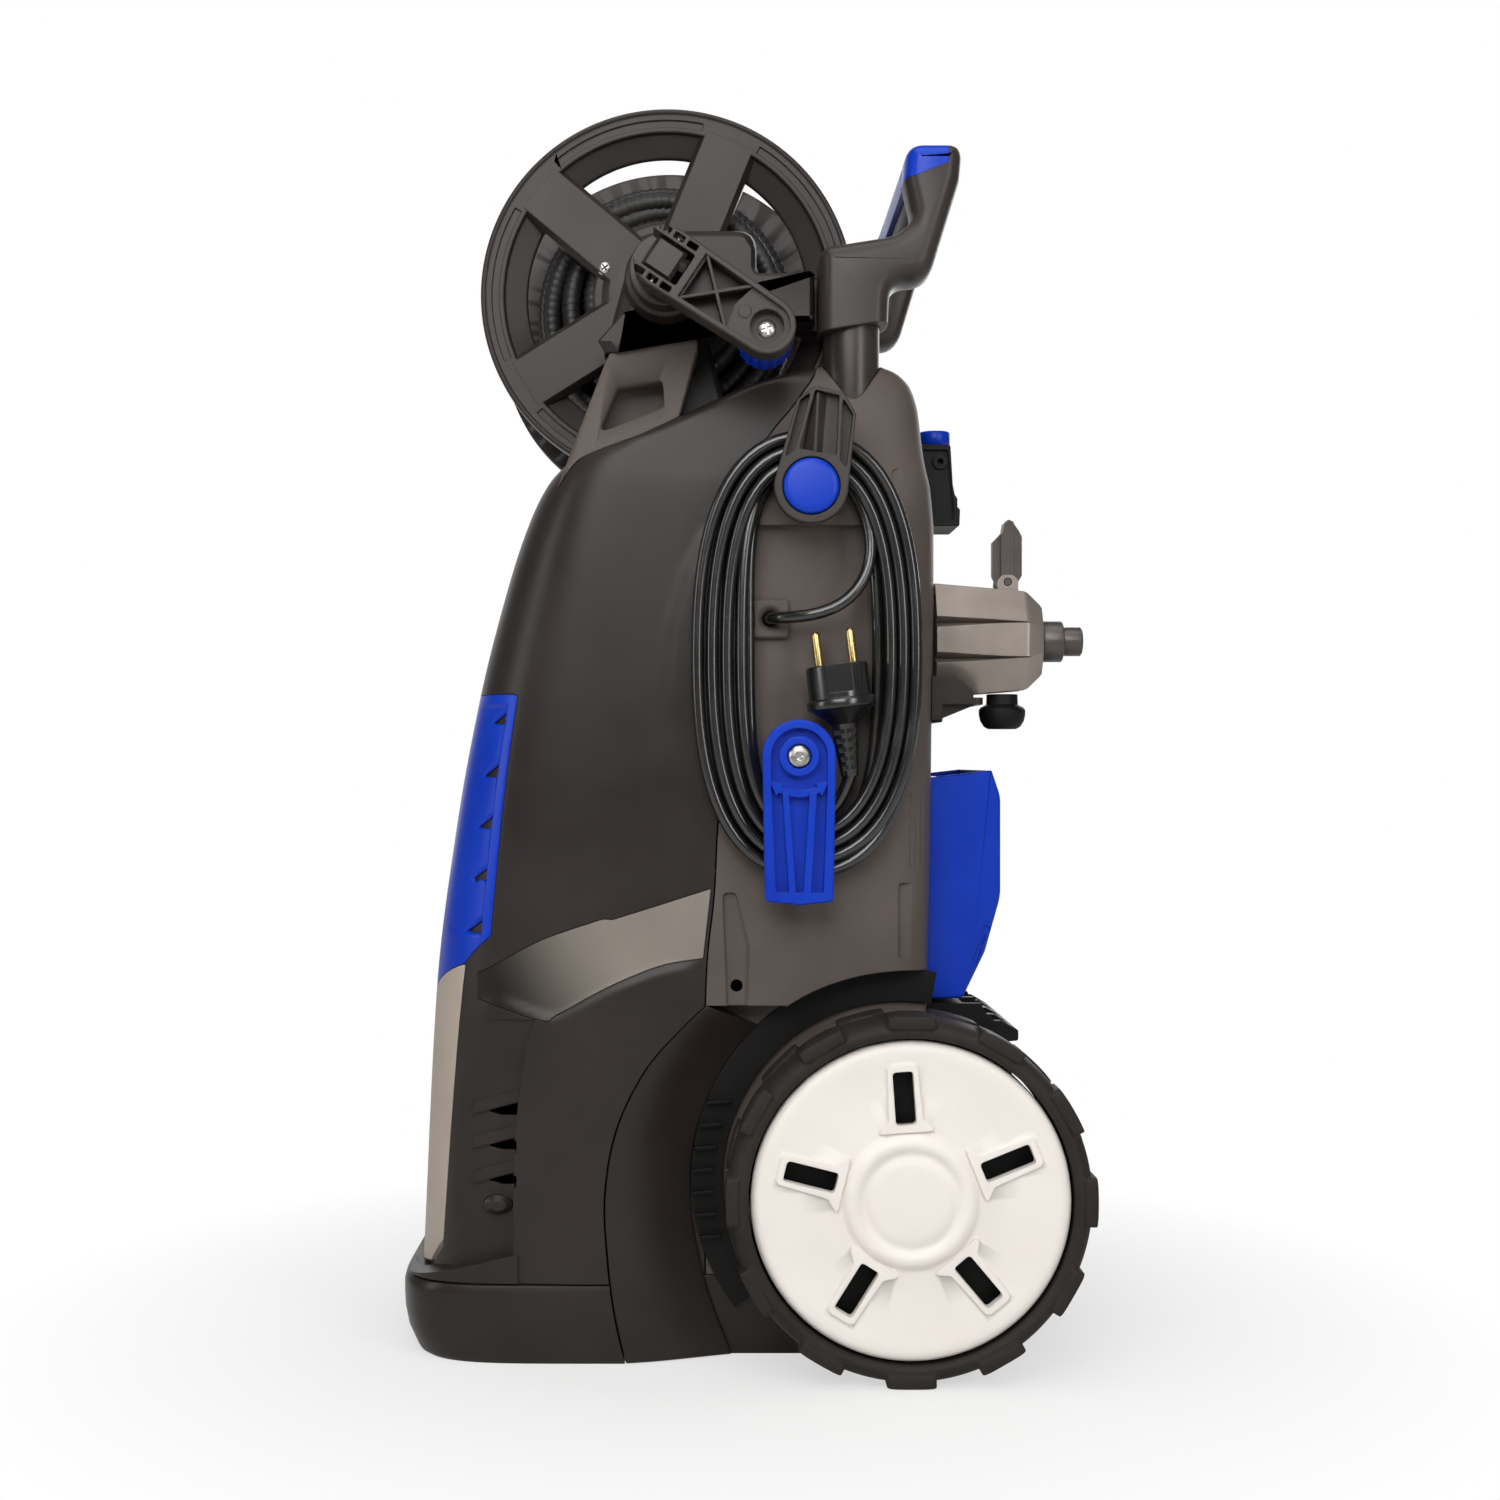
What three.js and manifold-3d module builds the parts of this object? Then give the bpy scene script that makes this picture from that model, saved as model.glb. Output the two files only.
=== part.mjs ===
// A cold-water pressure washer on two wheels: a tall moulded housing on a base tray, a hose reel on
// two posts, a telescopic push handle, a mains cord wound on two side hooks and a spray gun parked behind.
// Millimetres. X runs from the front (-) to the back (+), Y from the left side (-) to the right (+), Z is up.
// The origin is under the middle of the machine, on the floor.
import * as THREE from "three";
import { mergeVertices } from "three/addons/utils/BufferGeometryUtils.js";
import Module from "manifold-3d";

const wasm = await Module();
wasm.setup();

// ---------------------------------------------------------------- driving dimensions

const GAP = 0.4; // between pieces that touch
const HALF_LENGTH = 197; // base lip at the front, gun spigot at the back
const WALL = 3.5; // moulded housing
const TRIM = 2.4; // thickness of the trims let into the housing

const BASE_TOP = 44.5;
const HOUSING_TOP = 561;
const HALF_WIDTH = 119;
const WELL_SIDE = 97; // half width of the housing between the wheels
const WELL_RADIUS = 119;

const WHEEL = { x: 88.5, z: 100, radius: 100, rim: 87, inner: 122, outer: 168 };
const AXLE_RADIUS = 8;

const REEL = { x: -44, z: 606, radius: 108, halfWidth: 75, plate: 13, core: 38 };
const SPOKES = 5;
const SPOKE_WIDTH = 33;
const WINDOW_RADIUS = 81.5;
const FIRST_SPOKE = 68; // degrees above the horizontal, towards the back
const HOSE_DIAMETER = 12;
const HOSE_LAYERS = 3;
const CHANNEL_RADIUS = 113; // the hollow in the housing's top that the reel turns in
const CHANNEL_SIDE = 78.5;

const CRANK = { angle: -33.5, reach: 66, pinY: -157, halfWidth: 15.5, inner: -148, outer: -168 };
const KNOB = { radius: 14, inner: -116, flutes: 12 };

const HANDLE = { x: 61, y: 94, radius: 16, bottom: 330, sleeveInner: 77, sleeveOuter: 115 };

const GUN = { y: -66, z: 406, start: 110.6, end: 173 };

const CORD_DIAMETER = 6.8;
const HANK = { x: 34, halfWidth: 64, foot: 270, top: 520, near: -121, depth: 14.5 };
const HANK_HOLE = { x: 38, halfWidth: 35, foot: 296, top: 498.4 };
const GLAND = { x: 14, z: 416, half: 11, neck: 5.4 };
const HOOK_FACE = -150;
const HOOK_DEPTH = 9;
const UPPER_HOOK = { x: 35.5, z: 486, radius: 20.2, tilt: -11 };
const LOWER_HOOK = { x: 29, z: 339, radius: 20, length: 81 };

const COLOUR = {
  housing: 0x34302d,
  textured: 0x3c3733,
  deepBlack: 0x1b1a19,
  blue: 0x1440c8,
  paleGrey: 0xb9b3ac,
  trimGrey: 0x8a857d,
  tube: 0x8d8882,
  tyre: 0x3a3735,
  hubcap: 0xe8e2dc,
  steel: 0xc9c9c9,
  brass: 0xb99a54,
};

// ---------------------------------------------------------------- solids

const washer = new THREE.Group();
const radians = THREE.MathUtils.degToRad;

function finish(colour, roughness = 0.5, metalness = 0) {
  return new THREE.MeshStandardMaterial({ color: colour, roughness, metalness });
}

// A closed geometry as a manifold solid, without the zero-area faces that a pole leaves.
function solid(geometry) {
  const bare = geometry.index ? geometry.toNonIndexed() : geometry.clone();
  const points = new THREE.BufferGeometry().setAttribute("position", bare.getAttribute("position"));
  const merged = mergeVertices(points, 1e-3);
  const corners = [];
  for (let i = 0; i < merged.index.count; i += 3) {
    const [a, b, c] = [0, 1, 2].map((k) => merged.index.getX(i + k));
    if (a !== b && b !== c && c !== a) corners.push(a, b, c);
  }
  return new wasm.Manifold(
    new wasm.Mesh({
      numProp: 3,
      vertProperties: merged.attributes.position.array,
      triVerts: new Uint32Array(corners),
    }),
  );
}

function geometryOf(manifold) {
  const mesh = manifold.getMesh();
  const positions = new Float32Array(mesh.numVert * 3);
  for (let i = 0; i < mesh.numVert; i++) {
    positions.set(mesh.vertProperties.subarray(i * mesh.numProp, i * mesh.numProp + 3), i * 3);
  }
  const geometry = new THREE.BufferGeometry()
    .setAttribute("position", new THREE.BufferAttribute(positions, 3))
    .setIndex(new THREE.BufferAttribute(mesh.triVerts, 1));
  geometry.computeVertexNormals();
  return geometry;
}

const join = (first, ...rest) => rest.reduce((sum, next) => sum.add(next), first);
const cut = (first, ...rest) => rest.reduce((left, next) => left.subtract(next), first);

function add(name, body, material) {
  const geometry = body instanceof THREE.BufferGeometry ? body : geometryOf(body);
  const mesh = new THREE.Mesh(geometry, material);
  mesh.name = name;
  washer.add(mesh);
  return mesh;
}

// The same piece on the left, as modelled, and mirrored on the right.
function addPair(name, body, material) {
  add(`left_${name}`, body, material);
  add(`right_${name}`, body, material).scale.y = -1;
}

function outline(points) {
  return new THREE.Shape(points.map(([a, b]) => new THREE.Vector2(a, b)));
}

// A side-view outline (X, Z) extruded from y0 to y1.
// round softens its edges, and grow moves its outline outwards.
function sidePlate(shape, y0, y1, { round = 0, grow = 0, curveSegments = 8 } = {}) {
  const settings = { depth: y1 - y0 - 2 * round, curveSegments, bevelEnabled: round > 0 || grow > 0 };
  const bevel = {
    bevelThickness: round, bevelSize: round, bevelOffset: grow - round, bevelSegments: round > 0 ? 1 : 0,
  };
  return solid(
    new THREE.ExtrudeGeometry(shape, { ...settings, ...bevel }).rotateX(Math.PI / 2).translate(0, y1 - round, 0),
  );
}

// A back-view outline (Y, Z) extruded from x0 to x1.
function crossPlate(shape, x0, x1, { grow = 0, curveSegments = 8 } = {}) {
  const bevel = { bevelThickness: 0, bevelSize: 0, bevelOffset: grow, bevelSegments: 0 };
  const settings = { depth: x1 - x0, curveSegments, bevelEnabled: grow > 0, ...bevel };
  return solid(
    new THREE.ExtrudeGeometry(shape, settings).rotateX(Math.PI / 2).rotateZ(Math.PI / 2).translate(x0, 0, 0),
  );
}

function box(x0, x1, y0, y1, z0, z1) {
  const geometry = new THREE.BoxGeometry(x1 - x0, y1 - y0, z1 - z0);
  return solid(geometry.translate((x0 + x1) / 2, (y0 + y1) / 2, (z0 + z1) / 2));
}

// A turned body about a line along Y through (x, z); profile points are (radius, y), either way round.
function turnedY(profile, x, z, segments = 40) {
  const points = profile.map(([r, y]) => new THREE.Vector2(r, y));
  if (THREE.ShapeUtils.area(points) < 0) points.reverse();
  return solid(new THREE.LatheGeometry(points, segments).translate(x, 0, z));
}

function rodY(radius, y0, y1, x, z, segments = 20) {
  return turnedY([[0, y0], [radius, y0], [radius, y1], [0, y1]], x, z, segments);
}

// A turned body about an upright line through (x, y); profile points are (radius, z), either way round.
function turnedZ(profile, x, y, segments = 24) {
  const points = profile.map(([r, z]) => new THREE.Vector2(r, z));
  if (THREE.ShapeUtils.area(points) < 0) points.reverse();
  return solid(new THREE.LatheGeometry(points, segments).rotateX(Math.PI / 2).translate(x, y, 0));
}

function rodZ(radius, z0, z1, x, y, segments = 24) {
  return solid(new THREE.CylinderGeometry(radius, radius, z1 - z0, segments).rotateX(Math.PI / 2)
    .translate(x, y, (z0 + z1) / 2));
}

function rodX(radius, x0, x1, y, z, segments = 24, endRadius = radius) {
  return solid(new THREE.CylinderGeometry(endRadius, radius, x1 - x0, segments).rotateZ(-Math.PI / 2)
    .translate((x0 + x1) / 2, y, z));
}

// A rounded slot or bar outline between two points.
function stadium(x0, z0, x1, z1, r, arcPoints = 8) {
  const along = Math.atan2(z1 - z0, x1 - x0);
  const points = [];
  for (let i = 0; i <= arcPoints; i++) {
    const a = along - Math.PI / 2 + (Math.PI * i) / arcPoints;
    points.push([x1 + r * Math.cos(a), z1 + r * Math.sin(a)]);
  }
  for (let i = 0; i <= arcPoints; i++) {
    const a = along + Math.PI / 2 + (Math.PI * i) / arcPoints;
    points.push([x0 + r * Math.cos(a), z0 + r * Math.sin(a)]);
  }
  return outline(points);
}

function roundedRectangle(x0, x1, z0, z1, r) {
  const shape = new THREE.Shape();
  shape.moveTo(x0 + r, z0).lineTo(x1 - r, z0).quadraticCurveTo(x1, z0, x1, z0 + r);
  shape.lineTo(x1, z1 - r).quadraticCurveTo(x1, z1, x1 - r, z1);
  shape.lineTo(x0 + r, z1).quadraticCurveTo(x0, z1, x0, z1 - r);
  shape.lineTo(x0, z0 + r).quadraticCurveTo(x0, z0, x0 + r, z0);
  return shape;
}

// A closed skin through rings of points that all run the same way round, seen from the last ring.
function loft(rings) {
  const count = rings[0].length;
  const positions = rings.flat().flatMap((p) => p.toArray());
  const faces = [];
  for (let ring = 0; ring + 1 < rings.length; ring++) {
    for (let i = 0; i < count; i++) {
      const j = (i + 1) % count;
      const [a, b] = [ring * count + i, ring * count + j];
      faces.push(a, b, b + count, a, b + count, a + count);
    }
  }
  const last = (rings.length - 1) * count;
  const flat = rings[0].map((p) => new THREE.Vector2(p.x, p.y));
  for (const [a, b, c] of THREE.ShapeUtils.triangulateShape(flat, [])) faces.push(a, c, b);
  const top = rings.at(-1).map((p) => new THREE.Vector2(p.x, p.y));
  for (const face of THREE.ShapeUtils.triangulateShape(top, [])) faces.push(...face.map((i) => last + i));
  return solid(
    new THREE.BufferGeometry()
      .setAttribute("position", new THREE.Float32BufferAttribute(positions, 3))
      .setIndex(faces),
  );
}

// ---------------------------------------------------------------- housing form

// Stations up the housing: height, front, half width and back.
const HOUSING = [
  { z: 45, front: -189, half: 119, back: 100 },
  { z: 205, front: -181, half: 119.5, back: 106 },
  { z: 300, front: -169, half: 119, back: 108 },
  { z: 375, front: -155, half: 118.5, back: 109 },
  { z: 430, front: -141, half: 118, back: 110 },
  { z: 465, front: -130, half: 117.5, back: 110 },
  { z: 492, front: -118, half: 117, back: 108 },
  { z: 506, front: -106, half: 116, back: 105 },
  { z: 520, front: -66, half: 114.5, back: 103 },
  { z: 536, front: -32, half: 112, back: 101 },
  { z: 549, front: -4, half: 108, back: 97 },
  { z: 557, front: 20, half: 102, back: 90 },
  { z: HOUSING_TOP, front: 34, half: 95, back: 82 },
];
const WIDEST_X = -52; // the front corner's curve ends here
const SECTION_POINTS = 28;

function stationAt(z) {
  const above = HOUSING.findIndex((s) => s.z >= z);
  const [low, high] = above <= 0 ? [HOUSING[0], HOUSING[1]] : [HOUSING[above - 1], HOUSING[above]];
  const t = (z - low.z) / (high.z - low.z);
  const mix = (key) => THREE.MathUtils.lerp(low[key], high[key], t);
  return { front: mix("front"), half: mix("half"), back: mix("back") };
}

const HOUSING_NOSE = 4; // how square the plan's nose is: 2 is an ellipse
const TRAY_NOSE = 6;
const BACK_CORNERS = 9;

// The plan section: a full nose, long sides and tight back corners.
function section(z, front, half, back, nose = HOUSING_NOSE) {
  const ring = [];
  const middle = Math.max(WIDEST_X, front + 22);
  for (let i = 0; i < SECTION_POINTS; i++) {
    const a = (2 * Math.PI * i) / SECTION_POINTS;
    const [c, s] = [Math.cos(a), Math.sin(a)];
    const power = 2 / (c < 0 ? nose : BACK_CORNERS);
    const reach = c < 0 ? middle - front : back - middle;
    const x = middle + Math.sign(c) * reach * Math.abs(c) ** power;
    ring.push(new THREE.Vector3(x, Math.sign(s) * half * Math.abs(s) ** power, z));
  }
  return ring;
}

// The whole housing as a blank, shrunk by inset all round.
function housingBlank(inset = 0, from = HOUSING[0].z, to = HOUSING_TOP, stations = HOUSING.map((s) => s.z)) {
  const heights = [from, ...stations.filter((z) => z > from + 1 && z < to - 1), to];
  return loft(
    heights.map((z) => {
      const s = stationAt(Math.min(z, HOUSING_TOP));
      return section(z, s.front + inset, s.half - inset, s.back - inset);
    }),
  );
}

function wheelWells(grow = 0) {
  const well = (sign) => {
    const [a, b] = [sign * (WELL_SIDE - grow), sign * 150];
    return rodY(WELL_RADIUS + grow, Math.min(a, b), Math.max(a, b), WHEEL.x, WHEEL.z, 30);
  };
  return join(well(-1), well(1));
}

function reelChannel(grow = 0) {
  const side = CHANNEL_SIDE + grow;
  return rodY(CHANNEL_RADIUS + grow, -side, side, REEL.x, REEL.z, 30);
}

// The front edge of the arch panel and the edge of the wheel well, from the top down.
const ARCH_FRONT = [
  [-22, 200], [-36, 187], [-56, 164], [-72, 131], [-78.5, 94], [-77, 58], [-73, 27], [-67, 0.6],
];
const ARCH_BACK = [
  [8, 187], [-9, 168], [-21, 145], [-28.5, 121], [-30.5, 98], [-29, 74], [-21, 38], [-7, 0.6],
];

function archRegion(grow = 0) {
  const front = ARCH_FRONT.map(([x, z]) => [x - grow, z]);
  const top = ARCH_FRONT[0][1] + grow;
  const edge = [[front[0][0], top], ...front, [front.at(-1)[0], -5]];
  const shape = outline([...edge, [60, -5], [60, 190], [22, top]]);
  const side = WELL_SIDE - grow;
  return join(sidePlate(shape, -150, -side), sidePlate(shape, side, 150));
}

// The line between the two shells, from the top down.
const SEAM = [
  [40, 575], [40, 556], [29, 538], [5, 500], [-3, 420],
  [-10, 350], [-15, 300], [-17, 262], [-22, 200], [-22, 30],
];

function frontOfSeam(shift) {
  const edge = SEAM.map(([x, z]) => [x + shift, z]);
  return sidePlate(outline([[-260, 575], [-260, 30], ...edge.toReversed()]), -150, 150);
}

function behindSeam(shift) {
  const edge = SEAM.map(([x, z]) => [x + shift, z]);
  return sidePlate(outline([...edge, [160, 30], [160, 575]]), -150, 150);
}

// The shallow recess in the left side that the plug lies in.
const RECESS_FLOOR = -112.5;
const RECESS_WALL = 2;

function cordRecess(grow = 0) {
  const corners = [
    [1, 462], [1, 392], [8, 296], [14, 290], [68, 290], [76, 298], [80, 462], [74, 468], [7, 468],
  ];
  const shape = outline(corners);
  return sidePlate(shape, -150, RECESS_FLOOR + grow, { grow });
}

const blank = housingBlank();
const hollows = [reelChannel(), wheelWells(), archRegion(), cordRecess()];
const walls = [reelChannel(WALL), wheelWells(WALL), archRegion(WALL), cordRecess(RECESS_WALL)];
const cavity = cut(housingBlank(WALL, BASE_TOP + 4, 545, [205, 375, 465, 506, 536]), ...walls);
const housing = cut(blank, ...hollows, cavity);

// A piece of the housing's skin inside a region, and the pocket that it is let into.
const skinCore = housingBlank(TRIM, HOUSING[0].z - 2, HOUSING_TOP);
const pocketCore = housingBlank(TRIM + GAP, HOUSING[0].z - 2, HOUSING_TOP);
const skin = (region) => cut(blank.intersect(region), skinCore);
const pocket = (region) => cut(housingBlank(-1).intersect(region), pocketCore);

// ---------------------------------------------------------------- trims

// The grey band that sweeps back along each side, and its lower edge over the wheel arch.
function sweepShape() {
  const shape = new THREE.Shape();
  shape.moveTo(-140, 222).quadraticCurveTo(-112, 238, -84, 245);
  shape.lineTo(-74, 247).quadraticCurveTo(-44, 257, -19, 265);
  shape.lineTo(-23, 226).quadraticCurveTo(-70, 222, -108, 196);
  shape.lineTo(-140, 212);
  return shape;
}

function sideTrims() {
  const region = sidePlate(sweepShape(), -150, -90, { curveSegments: 5 });
  addPair("side_trim", skin(region), finish(COLOUR.trimGrey, 0.45));
}

// The blue panel wraps round the nose, and its foot is cut off at an angle.
const NOSE_PANEL = [[-108.5, 374], [-110, 238], [-101, 222], [-62, 205]];
// The pale strip below it runs down to the base.
const NOSE_STRIP = [[-101.5, 221.5], [-94.5, 46], [94.5, 46], [101.5, 221.5], [62, 204.3], [-62, 204.3]];

function nosePanelRegion(grow = 0) {
  const shape = outline([...NOSE_PANEL, ...NOSE_PANEL.map(([y, z]) => [-y, z]).reverse()]);
  return crossPlate(shape, -230, -90, { grow });
}

function noseTrimRegion(grow = 0) {
  return crossPlate(outline(NOSE_STRIP), -230, -90, { grow });
}

// Four long finger-shaped vents cross the blue panel.
function noseVents() {
  const vents = [0, 1, 2, 3].map((i) => {
    const z = 346 - 33 * i;
    const shape = outline([[-92, z - 6], [92, z - 6], [86, z + 6], [-86, z + 6]]);
    return crossPlate(shape, -230, -90);
  });
  return join(...vents);
}

function nosePieces() {
  add("front_grille", cut(skin(nosePanelRegion()), noseVents()), finish(COLOUR.blue, 0.35));
  add("front_trim", skin(noseTrimRegion()), finish(COLOUR.paleGrey, 0.5));
}

// ---------------------------------------------------------------- shells

// Four slanted vent slits near the foot of the front shell on each side.
function sideVents() {
  const slits = [];
  for (let i = 0; i < 4; i++) {
    const z = 100 + 15 * i;
    const shape = outline([[-160, z - 5], [-131, z], [-131, z + 3], [-160, z - 2]]);
    slits.push(sidePlate(shape, -150, -80), sidePlate(shape, 80, 150));
  }
  return join(...slits);
}

const SWITCH = { z: 428, radius: 17 };

function frontShell() {
  const trims = [nosePanelRegion(GAP), noseTrimRegion(GAP)].map(pocket);
  const grown = { grow: GAP, curveSegments: 5 };
  const sweeps = [[-150, -90], [90, 150]].map(([y0, y1]) => sidePlate(sweepShape(), y0, y1, grown));
  trims.push(pocket(join(...sweeps)));
  const dish = rodX(SWITCH.radius + 5, -160, -127, 0, SWITCH.z, 24);
  const shaftHole = rodX(4.4, -130, -110, 0, SWITCH.z, 16);
  const shell = cut(housing.intersect(frontOfSeam(-GAP / 2)), ...trims, sideVents(), dish, shaftHole);
  add("front_shell", shell, finish(COLOUR.housing, 0.42));
}

// Three shallow flutes and a square pocket run down each back corner.
function cornerDetails() {
  const details = [];
  for (const sign of [-1, 1]) {
    for (let i = 0; i < 3; i++) {
      const flute = box(88 + 6 * i, 90 + 6 * i, 116.5, 122, 285, 410);
      details.push(sign < 0 ? box(88 + 6 * i, 90 + 6 * i, -122, -116.5, 285, 410) : flute);
    }
    const [y0, y1] = sign < 0 ? [-125, -112] : [112, 125];
    details.push(box(84, 101, y0, y1, 226, 268));
  }
  return join(...details);
}

function rearShell() {
  const tubes = [-1, 1].map((sign) => rodZ(HANDLE.radius + 0.8, 470, 600, HANDLE.x, sign * HANDLE.y, 24));
  const axle = rodY(AXLE_RADIUS + 0.5, -150, 150, WHEEL.x, WHEEL.z, 20);
  const glandBore = rodY(GLAND.neck + GAP, -125, -105, GLAND.x, GLAND.z, 16);
  const screwBore = rodY(3, -125, -105, LOWER_HOOK.x, LOWER_HOOK.z, 12);
  const bores = [...tubes, axle, glandBore, screwBore];
  const shell = cut(housing.intersect(behindSeam(GAP / 2)), ...bores, cornerDetails());
  add("rear_shell", shell, finish(COLOUR.textured, 0.55));
}

function archPanels() {
  const rings = ARCH_FRONT.map(([x, z], i) => {
    const [bx, bz] = ARCH_BACK[i];
    const inner = -WELL_SIDE - 0.2;
    return [
      new THREE.Vector3(x + GAP, -HALF_WIDTH - 1.5, z),
      new THREE.Vector3(bx, -WELL_SIDE - 4, bz),
      new THREE.Vector3(bx, inner, bz),
      new THREE.Vector3(x + GAP, inner, z),
    ];
  });
  addPair("arch_panel", loft(rings.reverse()), finish(COLOUR.textured, 0.6));
}

// ---------------------------------------------------------------- base

// Stations up the base tray: the nose bulges into a bumper.
const BASE = [
  { z: 0, front: -186, half: 118 },
  { z: 4, front: -190, half: 120 },
  { z: 24, front: -HALF_LENGTH, half: 121 },
  { z: 37, front: -HALF_LENGTH, half: 121 },
  { z: BASE_TOP, front: -193, half: 120 },
];

function baseTray() {
  const tray = loft(BASE.map(({ z, front, half }) => section(z, front, half, 100, TRAY_NOSE)));
  const hollow = loft([5, BASE_TOP + 2].map((z) => section(z, -178, 112, 94)));
  const inside = cut(hollow, wheelWells(WALL), archRegion(WALL));
  const ribs = [-60, 20].map((x) => box(x, x + 4, -91, 91, 4.5, 34));
  add("base_tray", join(cut(tray, wheelWells(), archRegion(), inside), ...ribs), finish(COLOUR.housing, 0.5));
}

// ---------------------------------------------------------------- wheels

const LUGS = 16;

// The tyre is turned, and its tread blocks reach over the shoulder.
function tyre() {
  const { radius, rim, inner, outer } = WHEEL;
  const r = radius - 2.5;
  const profile = [[rim + 0.4, -outer + 2], [r - 3, -outer], [r, -outer + 8],
    [r, -inner - 8], [r - 3, -inner - 2], [rim + 0.4, -inner - 2]];
  profile.push(profile[0]);
  const carcass = turnedY(profile, WHEEL.x, WHEEL.z, 32);
  const blocks = [];
  for (let i = 0; i < LUGS; i++) {
    const wide = i % 2 ? 0 : 7;
    const block = new THREE.BoxGeometry(7, outer - inner - 14 + wide, 19);
    block.translate(radius - 3.6, -(outer + inner) / 2 - (i % 2 ? -3 : 3) / 2, 0);
    block.rotateY((2 * Math.PI * i) / LUGS).translate(WHEEL.x, 0, WHEEL.z);
    blocks.push(solid(block));
  }
  return join(carcass, ...blocks);
}

function rim() {
  const { rim: r, inner, outer } = WHEEL;
  const hubEnd = -WELL_SIDE - 1.5;
  const profile = [[AXLE_RADIUS + 0.4, hubEnd], [18, hubEnd], [22, -inner - 16], [r - 7, -inner - 22],
    [r - 4, -inner - 6], [r, -inner - 6], [r, -outer + 11], [r - 5, -outer + 11], [r - 6, -outer + 18],
    [AXLE_RADIUS + 0.4, -outer + 18]];
  profile.push(profile[0]);
  return turnedY(profile, WHEEL.x, WHEEL.z, 16);
}

const CAP_SLOTS = 5;

// The hubcap is a shallow dish with a raised centre, a bead round it and five radial slots.
function hubcap() {
  const face = -WHEEL.outer + 3;
  const dished = [
    [0, face + 2], [25, face], [37, face + 2], [41, face + 5], [70, face + 4.5], [82, face + 1.5],
  ];
  const edge = [[WHEEL.rim - 0.4, face + 4], [WHEEL.rim - 0.6, face + 7.5], [0, face + 7.5]];
  const profile = [...dished, ...edge];
  const dish = turnedY(profile, WHEEL.x, WHEEL.z, 26);
  const slots = [];
  for (let i = 0; i < CAP_SLOTS; i++) {
    const slot = new THREE.BoxGeometry(29, 30, 10.5).translate(55.5, -WHEEL.outer + 5, 0);
    slots.push(solid(slot.rotateY(-radians(94 + (360 * i) / CAP_SLOTS)).translate(WHEEL.x, 0, WHEEL.z)));
  }
  return cut(dish, ...slots);
}

function wheels() {
  addPair("wheel_tyre", tyre(), finish(COLOUR.tyre, 0.75));
  addPair("wheel_rim", rim(), finish(COLOUR.deepBlack, 0.6));
  addPair("wheel_hubcap", hubcap(), finish(COLOUR.hubcap, 0.4));
  const reach = WHEEL.outer - 14;
  add("wheel_axle", rodY(AXLE_RADIUS, -reach, reach, WHEEL.x, WHEEL.z), finish(COLOUR.steel, 0.35, 1));
}

// ---------------------------------------------------------------- reel posts and brackets

function hubBracketShape() {
  const shape = new THREE.Shape();
  const points = [[-81, 562], [-63, 582], [-56, 586.5], [-33, 593], [6, 584], [40, 584], [40, 613], [7, 613]];
  shape.moveTo(points[0][0], points[0][1]);
  for (const [x, z] of points.slice(1)) shape.lineTo(x, z);
  shape.lineTo(7, 624).quadraticCurveTo(6, 637, -10, 637);
  shape.lineTo(-48, 637).quadraticCurveTo(-60, 634, -64, 624);
  return shape;
}

const POST_SIDE = { inner: -79.5, outer: -104 };

function reelPost() {
  const side = outline([[-108, 485], [-76, 563], [-60, 600], [-30, 600], [-26, 570], [-40, 515], [-46, 485]]);
  const leg = sidePlate(side, POST_SIDE.outer, POST_SIDE.inner, { round: 2 });
  const window = sidePlate(outline([[-83, 521], [-72, 547], [-46, 551], [-45, 536]]), -120, -84);
  const barrel = rodY(24, -120, -70, REEL.x, REEL.z, 24);
  const bracketRoom = sidePlate(hubBracketShape(), -120, -70, { grow: GAP, curveSegments: 5 });
  return cut(leg, window, bracketRoom, barrel, housingBlank(-GAP));
}

function hubBracket() {
  const plate = sidePlate(hubBracketShape(), -107, -78.5, { round: 2.5, curveSegments: 5 });
  const barrel = rodY(23, -124, -100, REEL.x, REEL.z, 24);
  return cut(join(plate, barrel), rodY(8.5, -130, -70, REEL.x, REEL.z, 16));
}

// Each post stands on the housing's shoulder and holds a hub bracket, which the reel's shaft turns in.
function reelFrame() {
  addPair("reel_post", reelPost(), finish(COLOUR.housing, 0.45));
  addPair("reel_bracket", hubBracket(), finish(COLOUR.housing, 0.42));
}

// ---------------------------------------------------------------- reel

// One flange: a flat rim, a step down to a sloping ring, five broad spokes flush with the rim, and the hub.
function reelFlange() {
  const { radius, halfWidth, plate } = REEL;
  const [face, back] = [-halfWidth, -halfWidth + plate];
  const rimFace = [
    [radius, face], [94, face], [94, face + 4], [WINDOW_RADIUS, face + 9], [WINDOW_RADIUS, back],
  ];
  const ring = turnedY([...rimFace, [radius, back], [radius, face]], REEL.x, REEL.z, 30);
  const hubFace = [[8.4, face], [32, face], [42, face + 5]];
  const hub = turnedY([...hubFace, [42, back], [8.4, back], [8.4, face]], REEL.x, REEL.z, 20);
  const spokes = [];
  for (let i = 0; i < SPOKES; i++) {
    const half = SPOKE_WIDTH / 2;
    const spoke = outline([[30, -half], [96, -half], [96, half], [30, half]]);
    const bar = new THREE.ExtrudeGeometry(spoke, { depth: 10, bevelEnabled: false }).rotateX(Math.PI / 2);
    bar.translate(0, face + 11, 0);
    spokes.push(solid(bar.rotateY(-radians(FIRST_SPOKE + (360 * i) / SPOKES)).translate(REEL.x, 0, REEL.z)));
  }
  return join(ring, hub, ...spokes);
}

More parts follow.
